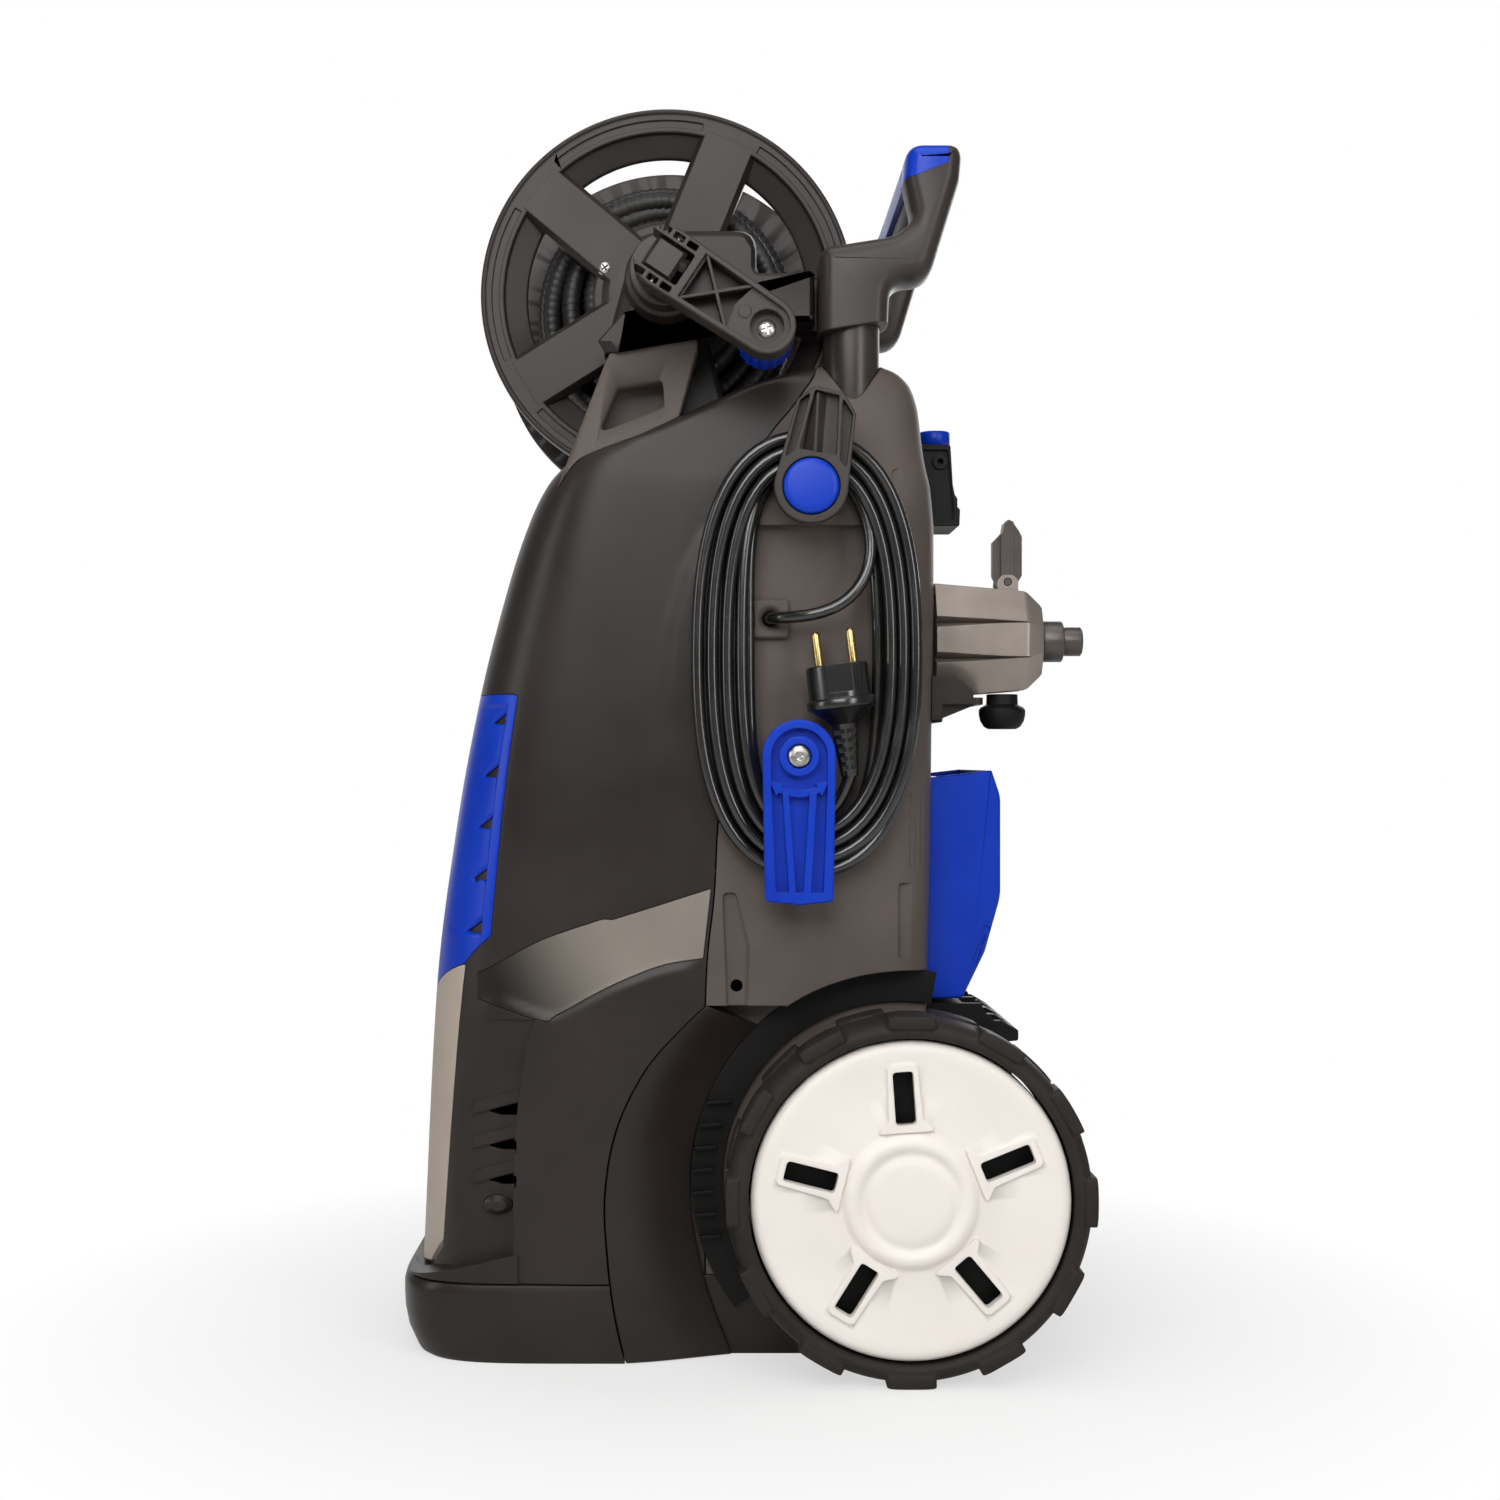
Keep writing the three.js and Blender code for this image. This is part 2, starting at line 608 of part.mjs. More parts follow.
function hoseTurns() {
  const half = REEL.halfWidth - REEL.plate - 1;
  const inside = REEL.core + 0.8;
  const outside = inside + HOSE_DIAMETER * HOSE_LAYERS;
  const turns = 6;
  const profile = [[inside, -half]];
  for (let i = 0; i < turns; i++) {
    const start = -half + (2 * half * i) / turns;
    profile.push([outside - 3, start], [outside, start + half / turns]);
  }
  profile.push([outside - 3, half], [inside, half], [inside, -half]);
  return turnedY(profile, REEL.x, REEL.z, 18);
}

function reelParts() {
  addPair("reel_flange", reelFlange(), finish(COLOUR.housing, 0.4));
  const half = REEL.halfWidth - REEL.plate - GAP;
  const sleeve = [[8.4, -half], [REEL.core, -half], [REEL.core, half], [8.4, half], [8.4, -half]];
  add("reel_drum", turnedY(sleeve, REEL.x, REEL.z, 24), finish(COLOUR.housing, 0.5));
  add("hose_winding", hoseTurns(), finish(COLOUR.deepBlack, 0.6));
  const angle = radians(216);
  const tip = rodY(3.6, 49, REEL.halfWidth - REEL.plate - GAP, 0, 0, 12);
  const fitting = join(rodY(5.2, 22, 44, 0, 0, 12), rodY(7, 40, 50, 0, 0, 6), tip)
    .translate([REEL.x + 95 * Math.cos(angle), 0, REEL.z + 95 * Math.sin(angle)]);
  add("hose_fitting", fitting, finish(COLOUR.steel, 0.3, 1));
}

// ---------------------------------------------------------------- crank

const crankDirection = [Math.cos(radians(CRANK.angle)), Math.sin(radians(CRANK.angle))];

// A point at a distance along the crank arm and across it, in the side view.
function onCrank(along, across = 0) {
  const [c, s] = crankDirection;
  return [REEL.x + along * c - across * s, REEL.z + along * s + across * c];
}

function crankPlate(points, y0, y1) {
  return sidePlate(outline(points.map(([along, across]) => onCrank(along, across))), y0, y1);
}

// The shaft ends in a disc and a square block that the arm's two ears straddle.
function reelShaft() {
  const rod = rodY(8, -127, 112, REEL.x, REEL.z);
  const disc = rodY(20, -140, -125.5, REEL.x, REEL.z, 24);
  const block = crankPlate([[-8, -9], [8, -9], [8, 9], [-8, 9]], CRANK.pinY - 9, -139);
  const pinHole = crankPin(0.4);
  add("reel_shaft", cut(join(rod, disc, block), pinHole), finish(COLOUR.steel, 0.4, 0.6));
}

function crankPin(grow = 0) {
  const pin = new THREE.CylinderGeometry(2.5 + grow, 2.5 + grow, 29 + 4 * grow, 12);
  pin.rotateX(Math.PI / 2).rotateY(-radians(CRANK.angle));
  return solid(pin.translate(REEL.x, CRANK.pinY, REEL.z));
}

// The open, ribbed arm: two ears at the hub, a ribbed pocket, and a round well for the knob's screw.
function crankArm() {
  const { reach, halfWidth, inner, outer, pinY } = CRANK;
  const [hx, hz] = onCrank(0);
  const [kx, kz] = onCrank(reach);
  const body = sidePlate(stadium(hx, hz, kx, kz, halfWidth, 10), outer, inner);
  const fork = crankPlate([[-30, -9.6], [13.5, -9.6], [13.5, 9.6], [-30, 9.6]], -200, -100);
  const tips = crankPlate([[-30, -30], [-11.5, -30], [-11.5, 30], [-30, 30]], -200, -100);
  const floor = outer + 16;
  const bay = crankPlate([[16.5, -12.5], [47, -12.5], [47, 12.5], [16.5, 12.5]], outer - 1, floor);
  const ribs = [-1, 1].map((way) => {
    const ends = [[15.7, -13 * way], [18.3, -13 * way], [47.8, 13 * way], [45.2, 13 * way]];
    return crankPlate(way > 0 ? ends : ends.toReversed(), outer + 2, floor + 1);
  });
  const well = rodY(9.5, outer - 1, floor, kx, kz, 24);
  const screwHole = rodY(3.4, -180, -140, kx, kz, 12);
  const shaped = join(cut(body, fork, tips, bay), ...ribs);
  return cut(shaped, well, screwHole, crankPin(0.4));
}

function crankKnob() {
  const [kx, kz] = onCrank(CRANK.reach);
  const points = [];
  for (let i = 0; i < KNOB.flutes * 2; i++) {
    const a = (2 * Math.PI * i) / (KNOB.flutes * 2);
    const r = KNOB.radius - (i % 2 ? 1.2 : 0);
    points.push([kx + r * Math.cos(a), kz + r * Math.sin(a)]);
  }
  const grip = sidePlate(outline(points), CRANK.inner + 1, KNOB.inner, { round: 1.5 });
  return cut(grip, rodY(3.4, -160, KNOB.inner - 6, kx, kz, 12));
}

function crank() {
  reelShaft();
  add("crank_arm", crankArm(), finish(COLOUR.housing, 0.45));
  add("crank_pin", crankPin(), finish(COLOUR.steel, 0.3, 1));
  add("crank_knob", crankKnob(), finish(COLOUR.blue, 0.4));
  const [kx, kz] = onCrank(CRANK.reach);
  const head = turnedY([[0, -158.5], [4.5, -158], [6, -156], [6, -152.5], [0, -152.5]], kx, kz, 14);
  add("knob_screw", join(head, rodY(3, -153, -122, kx, kz, 10)), finish(COLOUR.steel, 0.3, 1));
}

// ---------------------------------------------------------------- telescopic handle

function handleArmShape() {
  const shape = new THREE.Shape();
  shape.moveTo(42, 573).lineTo(42, 616).quadraticCurveTo(42, 625, 50, 627);
  shape.lineTo(82, 633).quadraticCurveTo(95, 636, 95, 650);
  shape.lineTo(90, 670).quadraticCurveTo(90, 683, 102, 684);
  shape.lineTo(114, 684).quadraticCurveTo(123, 684, 123.5, 674);
  shape.lineTo(112, 634).quadraticCurveTo(106, 609, 90, 607);
  shape.quadraticCurveTo(81, 606, 80.5, 596).lineTo(80.5, 583);
  return shape;
}

const PAD_HALF_LENGTH = 76;

function handle() {
  const soft = { round: 3, curveSegments: 3 };
  const arm = sidePlate(handleArmShape(), -HANDLE.sleeveOuter, -HANDLE.sleeveInner, soft);
  const otherArm = sidePlate(handleArmShape(), HANDLE.sleeveInner, HANDLE.sleeveOuter, soft);
  const bar = sidePlate(roundedRectangle(91.5, 122, 656, 682, 11), -90, 90, { curveSegments: 4 });
  const bores = [-1, 1].map((sign) => rodZ(HANDLE.radius + GAP, 560, 620, HANDLE.x, sign * HANDLE.y, 24));
  const reach = PAD_HALF_LENGTH + GAP;
  const padSeat = sidePlate(roundedRectangle(80, 110, 664, 690, 11), -reach, reach, { curveSegments: 4 });
  add("handle_moulding", cut(join(arm, otherArm, bar), ...bores, padSeat), finish(COLOUR.housing, 0.4));
  const padForm = roundedRectangle(90.5, 119.5, 656.5, 683.5, 11);
  const padFront = roundedRectangle(80, 110 - GAP, 664 + GAP, 690, 11);
  const [padBlank, padReach] = [padForm, padFront].map((shape) =>
    sidePlate(shape, -PAD_HALF_LENGTH, PAD_HALF_LENGTH, { curveSegments: 4 }),
  );
  add("handle_grip_pad", padBlank.intersect(padReach), finish(COLOUR.blue, 0.45));
  const tube = cut(
    rodZ(HANDLE.radius, HANDLE.bottom, 619, HANDLE.x, -HANDLE.y, 24),
    rodZ(HANDLE.radius - 1.6, HANDLE.bottom - 1, 612, HANDLE.x, -HANDLE.y, 16),
  );
  addPair("handle_tube", tube, finish(COLOUR.tube, 0.35, 0.8));
}

// ---------------------------------------------------------------- cord store

const upperHookPoint = (across, up) => {
  const { x, z, tilt } = UPPER_HOOK;
  const [c, s] = [Math.cos(radians(tilt)), Math.sin(radians(tilt))];
  return [x + across * c - up * s, z + across * s + up * c];
};

// The fixed upper hook: a ribbed paddle on a post, with a blue cap in its round end.
function upperHook() {
  const { x, z, radius } = UPPER_HOOK;
  const roundEnd = Array.from({ length: 13 }, (_, i) => {
    const a = radians(180 + 15 * i);
    return [radius * Math.cos(a), radius * Math.sin(a)];
  });
  const plate = (points, y0, y1) => sidePlate(outline(points.map(([a, b]) => upperHookPoint(a, b))), y0, y1);
  const head = [[16.5, 43], [8, 53], [-8, 54], [-16.5, 45]];
  const paddle = plate([...roundEnd, ...head], HOOK_FACE, HOOK_FACE + HOOK_DEPTH);
  const bay = (points) => plate(points, HOOK_FACE - 1, HOOK_FACE + 6);
  const bays = [
    bay([[-16, 18], [-12.5, 18], [-9.5, 46.5], [-14, 43.5]]),
    bay([[-9.5, 21], [9.5, 21], [4.5, 49.5], [-5.5, 49.5]]),
    bay([[12.5, 18], [16, 18], [14, 41.5], [9.5, 46.5]]),
  ];
  const post = rodY(12, HOOK_FACE + 8, -112, x, z, 20);
  const capSeat = rodY(15.9, HOOK_FACE - 1, HOOK_FACE + 4, x, z, 24);
  return cut(join(paddle, post), ...bays, capSeat, housingBlank(-GAP));
}

// The lower hook turns on its screw, so that the cord slips off.
function lowerHook() {
  const { x, z, radius, length } = LOWER_HOOK;
  const shape = new THREE.Shape();
  shape.absarc(x, z, radius, 0, Math.PI, false);
  shape.lineTo(x - radius + 1.5, z - length).lineTo(x + radius - 1.5, z - length);
  const paddle = sidePlate(shape, HOOK_FACE, HOOK_FACE + HOOK_DEPTH, { curveSegments: 10 });
  const [left, right, bayTop, foot] = [x - radius + 4, x + radius - 4, z - 26, z - length + 5];
  const recess = (corners) => sidePlate(outline(corners), HOOK_FACE - 1, HOOK_FACE + 6);
  const bay = recess([[left, bayTop], [left + 1, foot + 1], [right - 1, foot + 1], [right, bayTop]]);
  const dish = recess([[left, z], [left, z - 17], [right, z - 17], [right, z]]);
  const round = rodY(radius - 4, HOOK_FACE - 1, HOOK_FACE + 6, x, z, 20);
  const ribs = [-1, 1].map((way) => {
    const [near, far] = [x + 4.6 * way, x + 7 * way];
    const rib = [[far, bayTop], [near, bayTop], [near - 2.4 * way, foot], [far - 2.4 * way, foot]];
    return sidePlate(outline(way > 0 ? rib : rib.toReversed()), HOOK_FACE, HOOK_FACE + 7);
  });
  const hub = rodY(10, HOOK_FACE, HOOK_FACE + 8, x, z, 18);
  const stem = rodY(11.5, HOOK_FACE + 8, RECESS_FLOOR - GAP, x, z, 18);
  const bore = rodY(3, -160, -100, x, z, 12);
  const headSeat = rodY(6.4, HOOK_FACE - 1, HOOK_FACE + 3, x, z, 14);
  return cut(join(cut(paddle, bay, dish, round), ...ribs, hub, stem), bore, headSeat);
}

function hooks() {
  add("upper_cord_hook", upperHook(), finish(COLOUR.housing, 0.5));
  const cap = [[0, -1.8], [13.5, -1.8], [15.4, 0], [15.4, 3.6], [0, 3.6]];
  const button = cap.map(([r, y]) => [r, HOOK_FACE + y]);
  add("upper_hook_cap", turnedY(button, UPPER_HOOK.x, UPPER_HOOK.z, 24), finish(COLOUR.blue, 0.35));
  add("lower_cord_hook", lowerHook(), finish(COLOUR.blue, 0.4));
  const head = [[0, -1.4], [4, -1], [6, 0.6], [6, 2.6], [2.6, 2.6]].map(([r, y]) => [r, HOOK_FACE + y]);
  const screw = turnedY([...head, [2.6, -104], [0, -104]], LOWER_HOOK.x, LOWER_HOOK.z, 12);
  add("lower_hook_screw", screw, finish(COLOUR.steel, 0.3, 1));
}

// ---------------------------------------------------------------- mains cord

function tube(points, radius, steps) {
  const curve = new THREE.CatmullRomCurve3(points.map((p) => new THREE.Vector3(...p)));
  const section = new THREE.Shape();
  section.absarc(0, 0, radius, 0, 2 * Math.PI, false);
  const settings = { steps, extrudePath: curve, curveSegments: 4, bevelEnabled: false };
  return solid(new THREE.ExtrudeGeometry(section, settings));
}

// The lead leaves the gland, bends along the side and joins the inner turn on the right.
const LEAD = [
  [14, -113, 416], [14.3, -118.6, 416], [16.6, -124.4, 415.8], [20.8, -129.4, 415.6], [26.4, -133.4, 415.4],
  [32.4, -135.8, 415.4], [38.6, -136.9, 416], [44.6, -137, 417.2], [50.4, -136.6, 419.2], [55.6, -135.8, 422],
  [60.2, -134.8, 425.8], [63.8, -133.8, 430.2], [66.6, -133, 435.4],
];
// The tail leaves the foot of the winding and bends up into the plug.
const TAIL = [[41, -127.4, 300.9], [46, -128.6, 303.6], [50.4, -129.8, 307.8], [53.8, -130.9, 313.4],
  [56, -131.5, 320], [57, -131.9, 326.2]];
const PLUG = { x: 57.8, y: -132, z: 328, tilt: 7 };

// A tall oval, squarer than an ellipse.
function oval({ x, halfWidth, foot, top }, square) {
  const squared = (t) => Math.sign(t) * Math.abs(t) ** square;
  return Array.from({ length: 32 }, (_, i) => {
    const a = (2 * Math.PI * i) / 32;
    const across = x + halfWidth * squared(Math.cos(a));
    return new THREE.Vector2(across, (foot + top) / 2 + ((top - foot) / 2) * squared(Math.sin(a)));
  });
}

// The wound turns as one solid ring; they lie closer together on the right than on the left.
function cordHank() {
  const shape = new THREE.Shape(oval(HANK, 0.85));
  shape.holes.push(new THREE.Path(oval(HANK_HOLE, 0.72)));
  return sidePlate(shape, HANK.near - HANK.depth, HANK.near);
}

function mainsPlug() {
  const profile = [[0, 0], [4.4, 0], [8, 28], [12, 31], [16.5, 36],
    [19, 39], [19, 42], [17.5, 44], [17.5, 61], [16.5, 62], [0, 62]];
  const body = new THREE.LatheGeometry(profile.map(([r, z]) => new THREE.Vector2(r, z)), 16);
  const flats = [-1, 1].map((way) => new THREE.BoxGeometry(12, 16, 5).translate(0, 55, way * 17.5));
  const pin = (across) => new THREE.CylinderGeometry(2.4, 2.4, 19, 12).translate(across, 62 + GAP + 9.5, 0);
  const pins = [-9.5, 9.5].map(pin);
  const place = (g) =>
    solid(g.rotateX(Math.PI / 2).rotateY(-radians(PLUG.tilt)).translate(PLUG.x, PLUG.y, PLUG.z));
  return { body: cut(place(body), ...flats.map(place)), pins: pins.map(place) };
}

function mainsCord() {
  const black = finish(COLOUR.deepBlack, 0.45);
  add("mains_cord_hank", cordHank(), black);
  const { x, z, half, neck } = GLAND;
  const face = RECESS_FLOOR - 4.5;
  const plate = box(x - half, x + half, face, RECESS_FLOOR - GAP, z - half, z + half);
  const gland = join(plate, rodY(neck, RECESS_FLOOR - 1, RECESS_FLOOR + 5, x, z, 16));
  const mouth = turnedY([[0, -105], [3.9, -105], [3.9, -113], [6.4, face - 1], [0, face - 1]], x, z, 16);
  add("cable_gland", cut(gland, mouth), finish(COLOUR.textured, 0.5));
  add("mains_cord_lead", tube(LEAD, CORD_DIAMETER / 2, 12), black);
  add("mains_cord_tail", tube(TAIL, CORD_DIAMETER / 2, 4), black);
  const plug = mainsPlug();
  add("mains_plug", plug.body, black);
  add("left_plug_pin", plug.pins[0], finish(COLOUR.steel, 0.3, 1));
  add("right_plug_pin", plug.pins[1], finish(COLOUR.steel, 0.3, 1));
}

// ---------------------------------------------------------------- back of the machine

// The gun's nose: a six-sided tapering barrel with V-grooves between its side facets.
function gunBody() {
  const { y, z, start, end } = GUN;
  const hexagon = (x, high, wide) =>
    [[-1, -0.36], [-0.5, -1], [0.5, -1], [1, -0.36], [1, 0.36], [0.5, 1], [-0.5, 1], [-1, 0.36]]
      .map(([a, b]) => new THREE.Vector3(wide * a, high * b, x));
  const rings = [hexagon(0, 33, 24), hexagon(end - start - 10, 28.5, 22), hexagon(end - start, 20, 16)];
  const lie = new THREE.Matrix4().makeBasis(
    new THREE.Vector3(0, 1, 0), new THREE.Vector3(0, 0, 1), new THREE.Vector3(1, 0, 0),
  );
  const barrel = solid(geometryOf(loft(rings)).applyMatrix4(lie).translate(start, y, z));
  const grooves = [];
  for (const side of [-1, 1]) {
    for (const up of [-1, 1]) {
      const groove = outline([[start - 1, z + up * 14], [start + 54, z + up * 9.6], [start - 1, z + up * 8]]);
      const [y0, y1] = side < 0 ? [y - 30, y - 18] : [y + 18, y + 30];
      grooves.push(sidePlate(groove, y0, y1));
    }
  }
  return cut(barrel, ...grooves);
}

function sprayGun() {
  const { y, z, end } = GUN;
  const rear = finish(COLOUR.housing, 0.5);
  const lugs = [-1, 1].map((way) => box(147, 159, y + way * 8 - 2, y + way * 8 + 2, z + 22, z + 38));
  const pivotHole = rodY(2.4, y - 12, y + 12, 153, z + 34, 12);
  const slot = box(143, 163, y - 6, y + 6, z + 24, z + 40);
  add("gun_body", cut(join(gunBody(), ...lugs), slot, pivotHole), rear);
  const spigot = join(rodX(12, end + GAP, end + 12.5, y, z, 20), rodX(8.5, end + 12, HALF_LENGTH, y, z, 16));
  add("gun_spigot", cut(spigot, rodX(4, end + 6, HALF_LENGTH + 1, y, z, 10)), finish(COLOUR.trimGrey, 0.4));
  const lever = [[149, 436], [157, 436], [162, 444], [162, 470], [154, 476.5], [145, 465], [145, 444]];
  const hinge = rodY(2, y - 9.9, y + 9.9, 153, z + 34, 12);
  add("gun_trigger", join(sidePlate(outline(lever), y - 5.6, y + 5.6), hinge), rear);
  const nut = [[0, 355], [9, 355], [13, 360], [13.5, 366], [9, 370], [9, 375.2], [0, 375.2]];
  add("gun_inlet_nut", turnedZ(nut, 151, y, 16), finish(COLOUR.deepBlack, 0.5));
}

// A back plate and a shelf with two side lips carry the gun's nose.
function gunHolder() {
  const { y, z, start } = GUN;
  const shelfTop = z - 33.4;
  const back = box(start - 6, start + 2.5, y - 29, y + 29, shelfTop - 14, shelfTop);
  const shelf = box(start, start + 26, y - 29, y + 29, shelfTop - 4, shelfTop);
  const lips = [-1, 1].map((way) => {
    const [a, b] = [y + way * 25, y + way * 29];
    return box(start, start + 20, Math.min(a, b), Math.max(a, b), shelfTop - 2, shelfTop + 12);
  });
  return cut(join(back, shelf, ...lips), housingBlank(-GAP));
}

// The blue detergent bin is open at the top.
function detergentBin() {
  const shape = outline([[100, 326], [100, 199], [127, 199], [140, 226], [149, 258], [149, 316], [144, 331]]);
  const room = [[112.6, 345], [112.6, 202], [125, 202], [137, 227], [146, 258.5], [146, 316], [140, 345]];
  return cut(sidePlate(shape, -74, 74), sidePlate(outline(room), -71, 71), housingBlank(-GAP));
}

// The accessory holder is a channel with a pocket for the spare nozzle.
function nozzleHolder() {
  const shell = sidePlate(outline([[98, 528], [126, 528], [132, 484], [98, 478]]), -24, 24);
  return cut(shell, rodZ(8.8, 492, 540, 119, 0, 16), housingBlank(-GAP));
}

function spareNozzle() {
  const outside = [[0, 492.4], [5, 492.4], [8, 498], [8, 529], [9.5, 531], [9.5, 538]];
  return turnedZ([...outside, [4, 538], [3, 534], [0, 534]], 119, 0, 12);
}

function backPieces() {
  add("gun_holder", gunHolder(), finish(COLOUR.housing, 0.5));
  add("detergent_bin", detergentBin(), finish(COLOUR.blue, 0.35));
  add("accessory_holder", nozzleHolder(), finish(COLOUR.deepBlack, 0.5));
  add("spare_nozzle", spareNozzle(), finish(COLOUR.blue, 0.4));
  const ledge = outline([[98, 196], [140, 196], [150, 186], [160, 180], [160, 174], [98, 168]]);
  add("lance_rest", cut(sidePlate(ledge, -70, 70), housingBlank(-GAP)), finish(COLOUR.deepBlack, 0.55));
  const inlet = join(rodX(13, 96, 128, 0, 140, 18), rodX(10.5, 127, 150, 0, 140, 16));
  const inletBore = rodX(6, 120, 151, 0, 140, 10);
  add("water_inlet", cut(inlet, inletBore, housingBlank(-GAP)), finish(COLOUR.paleGrey, 0.5));
}

// ---------------------------------------------------------------- inside the housing

function inside() {
  const [x, y] = [-62, 0];
  const endCap = rodZ(22, 262, 282, x, y, 16);
  const coupling = rodZ(30, 140, 151, x, y, 16);
  const motor = join(rodZ(58, 150, 268, x, y, 24), endCap, coupling);
  add("motor", cut(motor, rodZ(6.5, 260, 300, x, y, 16)), finish(COLOUR.steel, 0.45, 0.8));
  const blades = [];
  for (let i = 0; i < 6; i++) {
    const blade = new THREE.BoxGeometry(38, 2.2, 16).rotateX(0.5).translate(32, 0, 298);
    blades.push(solid(blade.rotateZ((Math.PI * i) / 3).translate(x, y, 0)));
  }
  const fanHub = join(rodZ(16, 286, 310, x, y, 16), rodZ(6, 264, 290, x, y, 10));
  add("motor_fan", join(fanHub, ...blades), finish(COLOUR.blue, 0.5));
  const head = box(x - 34, x + 34, -34, 34, BASE_TOP + 4 + GAP, 104);
  const swash = rodZ(38, 103, 140 - GAP, x, y, 20);
  const ports = [-1, 1].map((way) => rodX(9, x, x + 60, way * 18, 78, 14));
  add("pump", join(head, swash, ...ports), finish(COLOUR.brass, 0.5, 0.7));
  const { z, radius } = SWITCH;
  const knob = join(rodX(4, -128, -112, 0, z, 14), rodX(radius, -137, -127.4, 0, z, 28, radius - 2));
  add("switch_knob", join(knob, box(-141, -136, -4, 4, z - 15, z + 15)), finish(COLOUR.blue, 0.45));
}

export { washer as default };

sideTrims();
nosePieces();
frontShell();
rearShell();
archPanels();
baseTray();
wheels();
reelFrame();
reelParts();
crank();
handle();
hooks();
mainsCord();
sprayGun();
backPieces();
inside();
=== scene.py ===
# %% [markdown]
# # A pressure washer, dressed around its frame
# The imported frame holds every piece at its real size. This script gives each one its finished surface.
# Lengths below are millimetres, and MM turns them into the metres that Blender works in. X runs from the
# front to the back, Y from the left side to the right, Z is up.

# %% Load the frame
import math

import bmesh
import bpy
import numpy as np
from mathutils import Matrix, Vector


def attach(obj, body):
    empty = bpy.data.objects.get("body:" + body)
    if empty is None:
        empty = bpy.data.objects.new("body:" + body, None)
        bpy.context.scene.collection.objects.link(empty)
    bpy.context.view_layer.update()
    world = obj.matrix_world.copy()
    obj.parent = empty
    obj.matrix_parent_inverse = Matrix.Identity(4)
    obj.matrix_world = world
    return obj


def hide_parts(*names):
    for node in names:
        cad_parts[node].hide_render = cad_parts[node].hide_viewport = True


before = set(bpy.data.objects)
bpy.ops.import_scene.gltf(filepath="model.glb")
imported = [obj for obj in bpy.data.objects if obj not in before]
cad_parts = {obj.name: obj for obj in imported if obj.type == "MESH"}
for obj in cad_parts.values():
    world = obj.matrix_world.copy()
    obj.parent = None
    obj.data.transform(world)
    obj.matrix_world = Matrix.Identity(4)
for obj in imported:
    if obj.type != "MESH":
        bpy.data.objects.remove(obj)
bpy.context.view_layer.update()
MM = 0.001

# %% [markdown]
# ## Camera and studio
# The machine is seen square from its left side, from 1.29 m away, a little below its middle. A shift of the
# lens keeps its uprights parallel. Six soft boxes light it, wide enough to give dark satin plastic long soft
# highlights. Background and floor are white to the camera. In mirrored light only the backdrop is white and
# the floor is darker, so that black plastic stays black.

# %% Camera
def placed(name, data):
    """A new object in the scene."""
    made = bpy.data.objects.new(name, data)
    bpy.context.scene.collection.objects.link(made)
    return made


EYE = Vector((-0.025, -1.290, 0.337))
camera_data = bpy.data.cameras.new("camera")
camera_data.sensor_width = 36.0
camera_data.lens = 50.4
camera_data.shift_x = 50 / 1500
camera_data.shift_y = 10 / 1500
camera = placed("camera", camera_data)
camera.location = EYE
camera.rotation_euler = (math.pi / 2, 0, 0)
bpy.context.scene.camera = camera
bpy.context.scene.view_settings.view_transform = "Standard"
print("camera", [round(v, 3) for v in EYE], "m,", camera_data.lens, "mm lens")


# %% Node and colour helpers
def node(tree, kind, links=None, values=None, **settings):
    """Adds a node with its settings, values and links."""
    made = tree.nodes.new(kind)
    for key, value in settings.items():
        setattr(made, key, value)
    for key, value in (values or {}).items():
        made.inputs[key].default_value = value
    for key, source in (links or {}).items():
        tree.links.new(source, made.inputs[key])
    return made


def white_rays(tree, share_link=None, share_value=None):
    """White for rays straight from the camera, a share of it for mirrored rays."""
    path = node(tree, "ShaderNodeLightPath").outputs
    straight = node(
        tree, "ShaderNodeMath", {0: path["Is Camera Ray"], 1: path["Is Transmission Ray"]},
        operation="MAXIMUM",
    )
    mirrored_ray = node(
        tree, "ShaderNodeMath", {0: path["Is Glossy Ray"], **(share_link or {})}, share_value,
        operation="MULTIPLY",
    )
    return node(
        tree, "ShaderNodeMath", {0: straight.outputs[0], 1: mirrored_ray.outputs[0]}, operation="MAXIMUM",
    ).outputs[0]


def linear(colour):
    """An sRGB hex colour as the linear RGBA that shaders take."""
    channels = [int(colour[i:i + 2], 16) / 255 for i in (0, 2, 4)]
    return (*[c / 12.92 if c <= 0.04045 else ((c + 0.055) / 1.055) ** 2.4 for c in channels], 1.0)


# %% Lamps
def soft_box(name, place, target, width, height, watts, colour="ffffff"):
    """A rectangular area lamp that faces a point."""
    lamp = bpy.data.lights.new(name, "AREA")
    lamp.shape = "RECTANGLE"
    lamp.size = width
    lamp.size_y = height
    lamp.energy = watts
    lamp.color = linear(colour)[:3]
    holder = placed(name, lamp)
    holder.location = place
    holder.rotation_euler = (Vector(target) - Vector(place)).to_track_quat("-Z", "Y").to_euler()


soft_box("key_box", (-0.3, -1.3, 1.4), (-0.05, -0.1, 0.42), 1.0, 0.6, 9.5)
soft_box("front_box", (-0.3, -1.75, 1.0), (-0.05, -0.1, 0.42), 1.2, 0.45, 11)
soft_box("side_box", (0.95, -1.35, 0.85), (0.05, 0.0, 0.4), 0.4, 0.9, 7)
soft_box("top_box", (-0.1, -0.35, 1.75), (0.0, 0.0, 0.4), 1.2, 0.9, 7.5)
soft_box("nose_box", (-1.5, -0.55, 0.7), (-0.15, 0.0, 0.35), 0.4, 0.9, 4)
soft_box("back_box", (0.6, 1.5, 1.0), (0.0, 0.0, 0.4), 1.2, 1.0, 9)
print(len(bpy.data.lights), "soft boxes,", sum(lamp.energy for lamp in bpy.data.lights), "W")

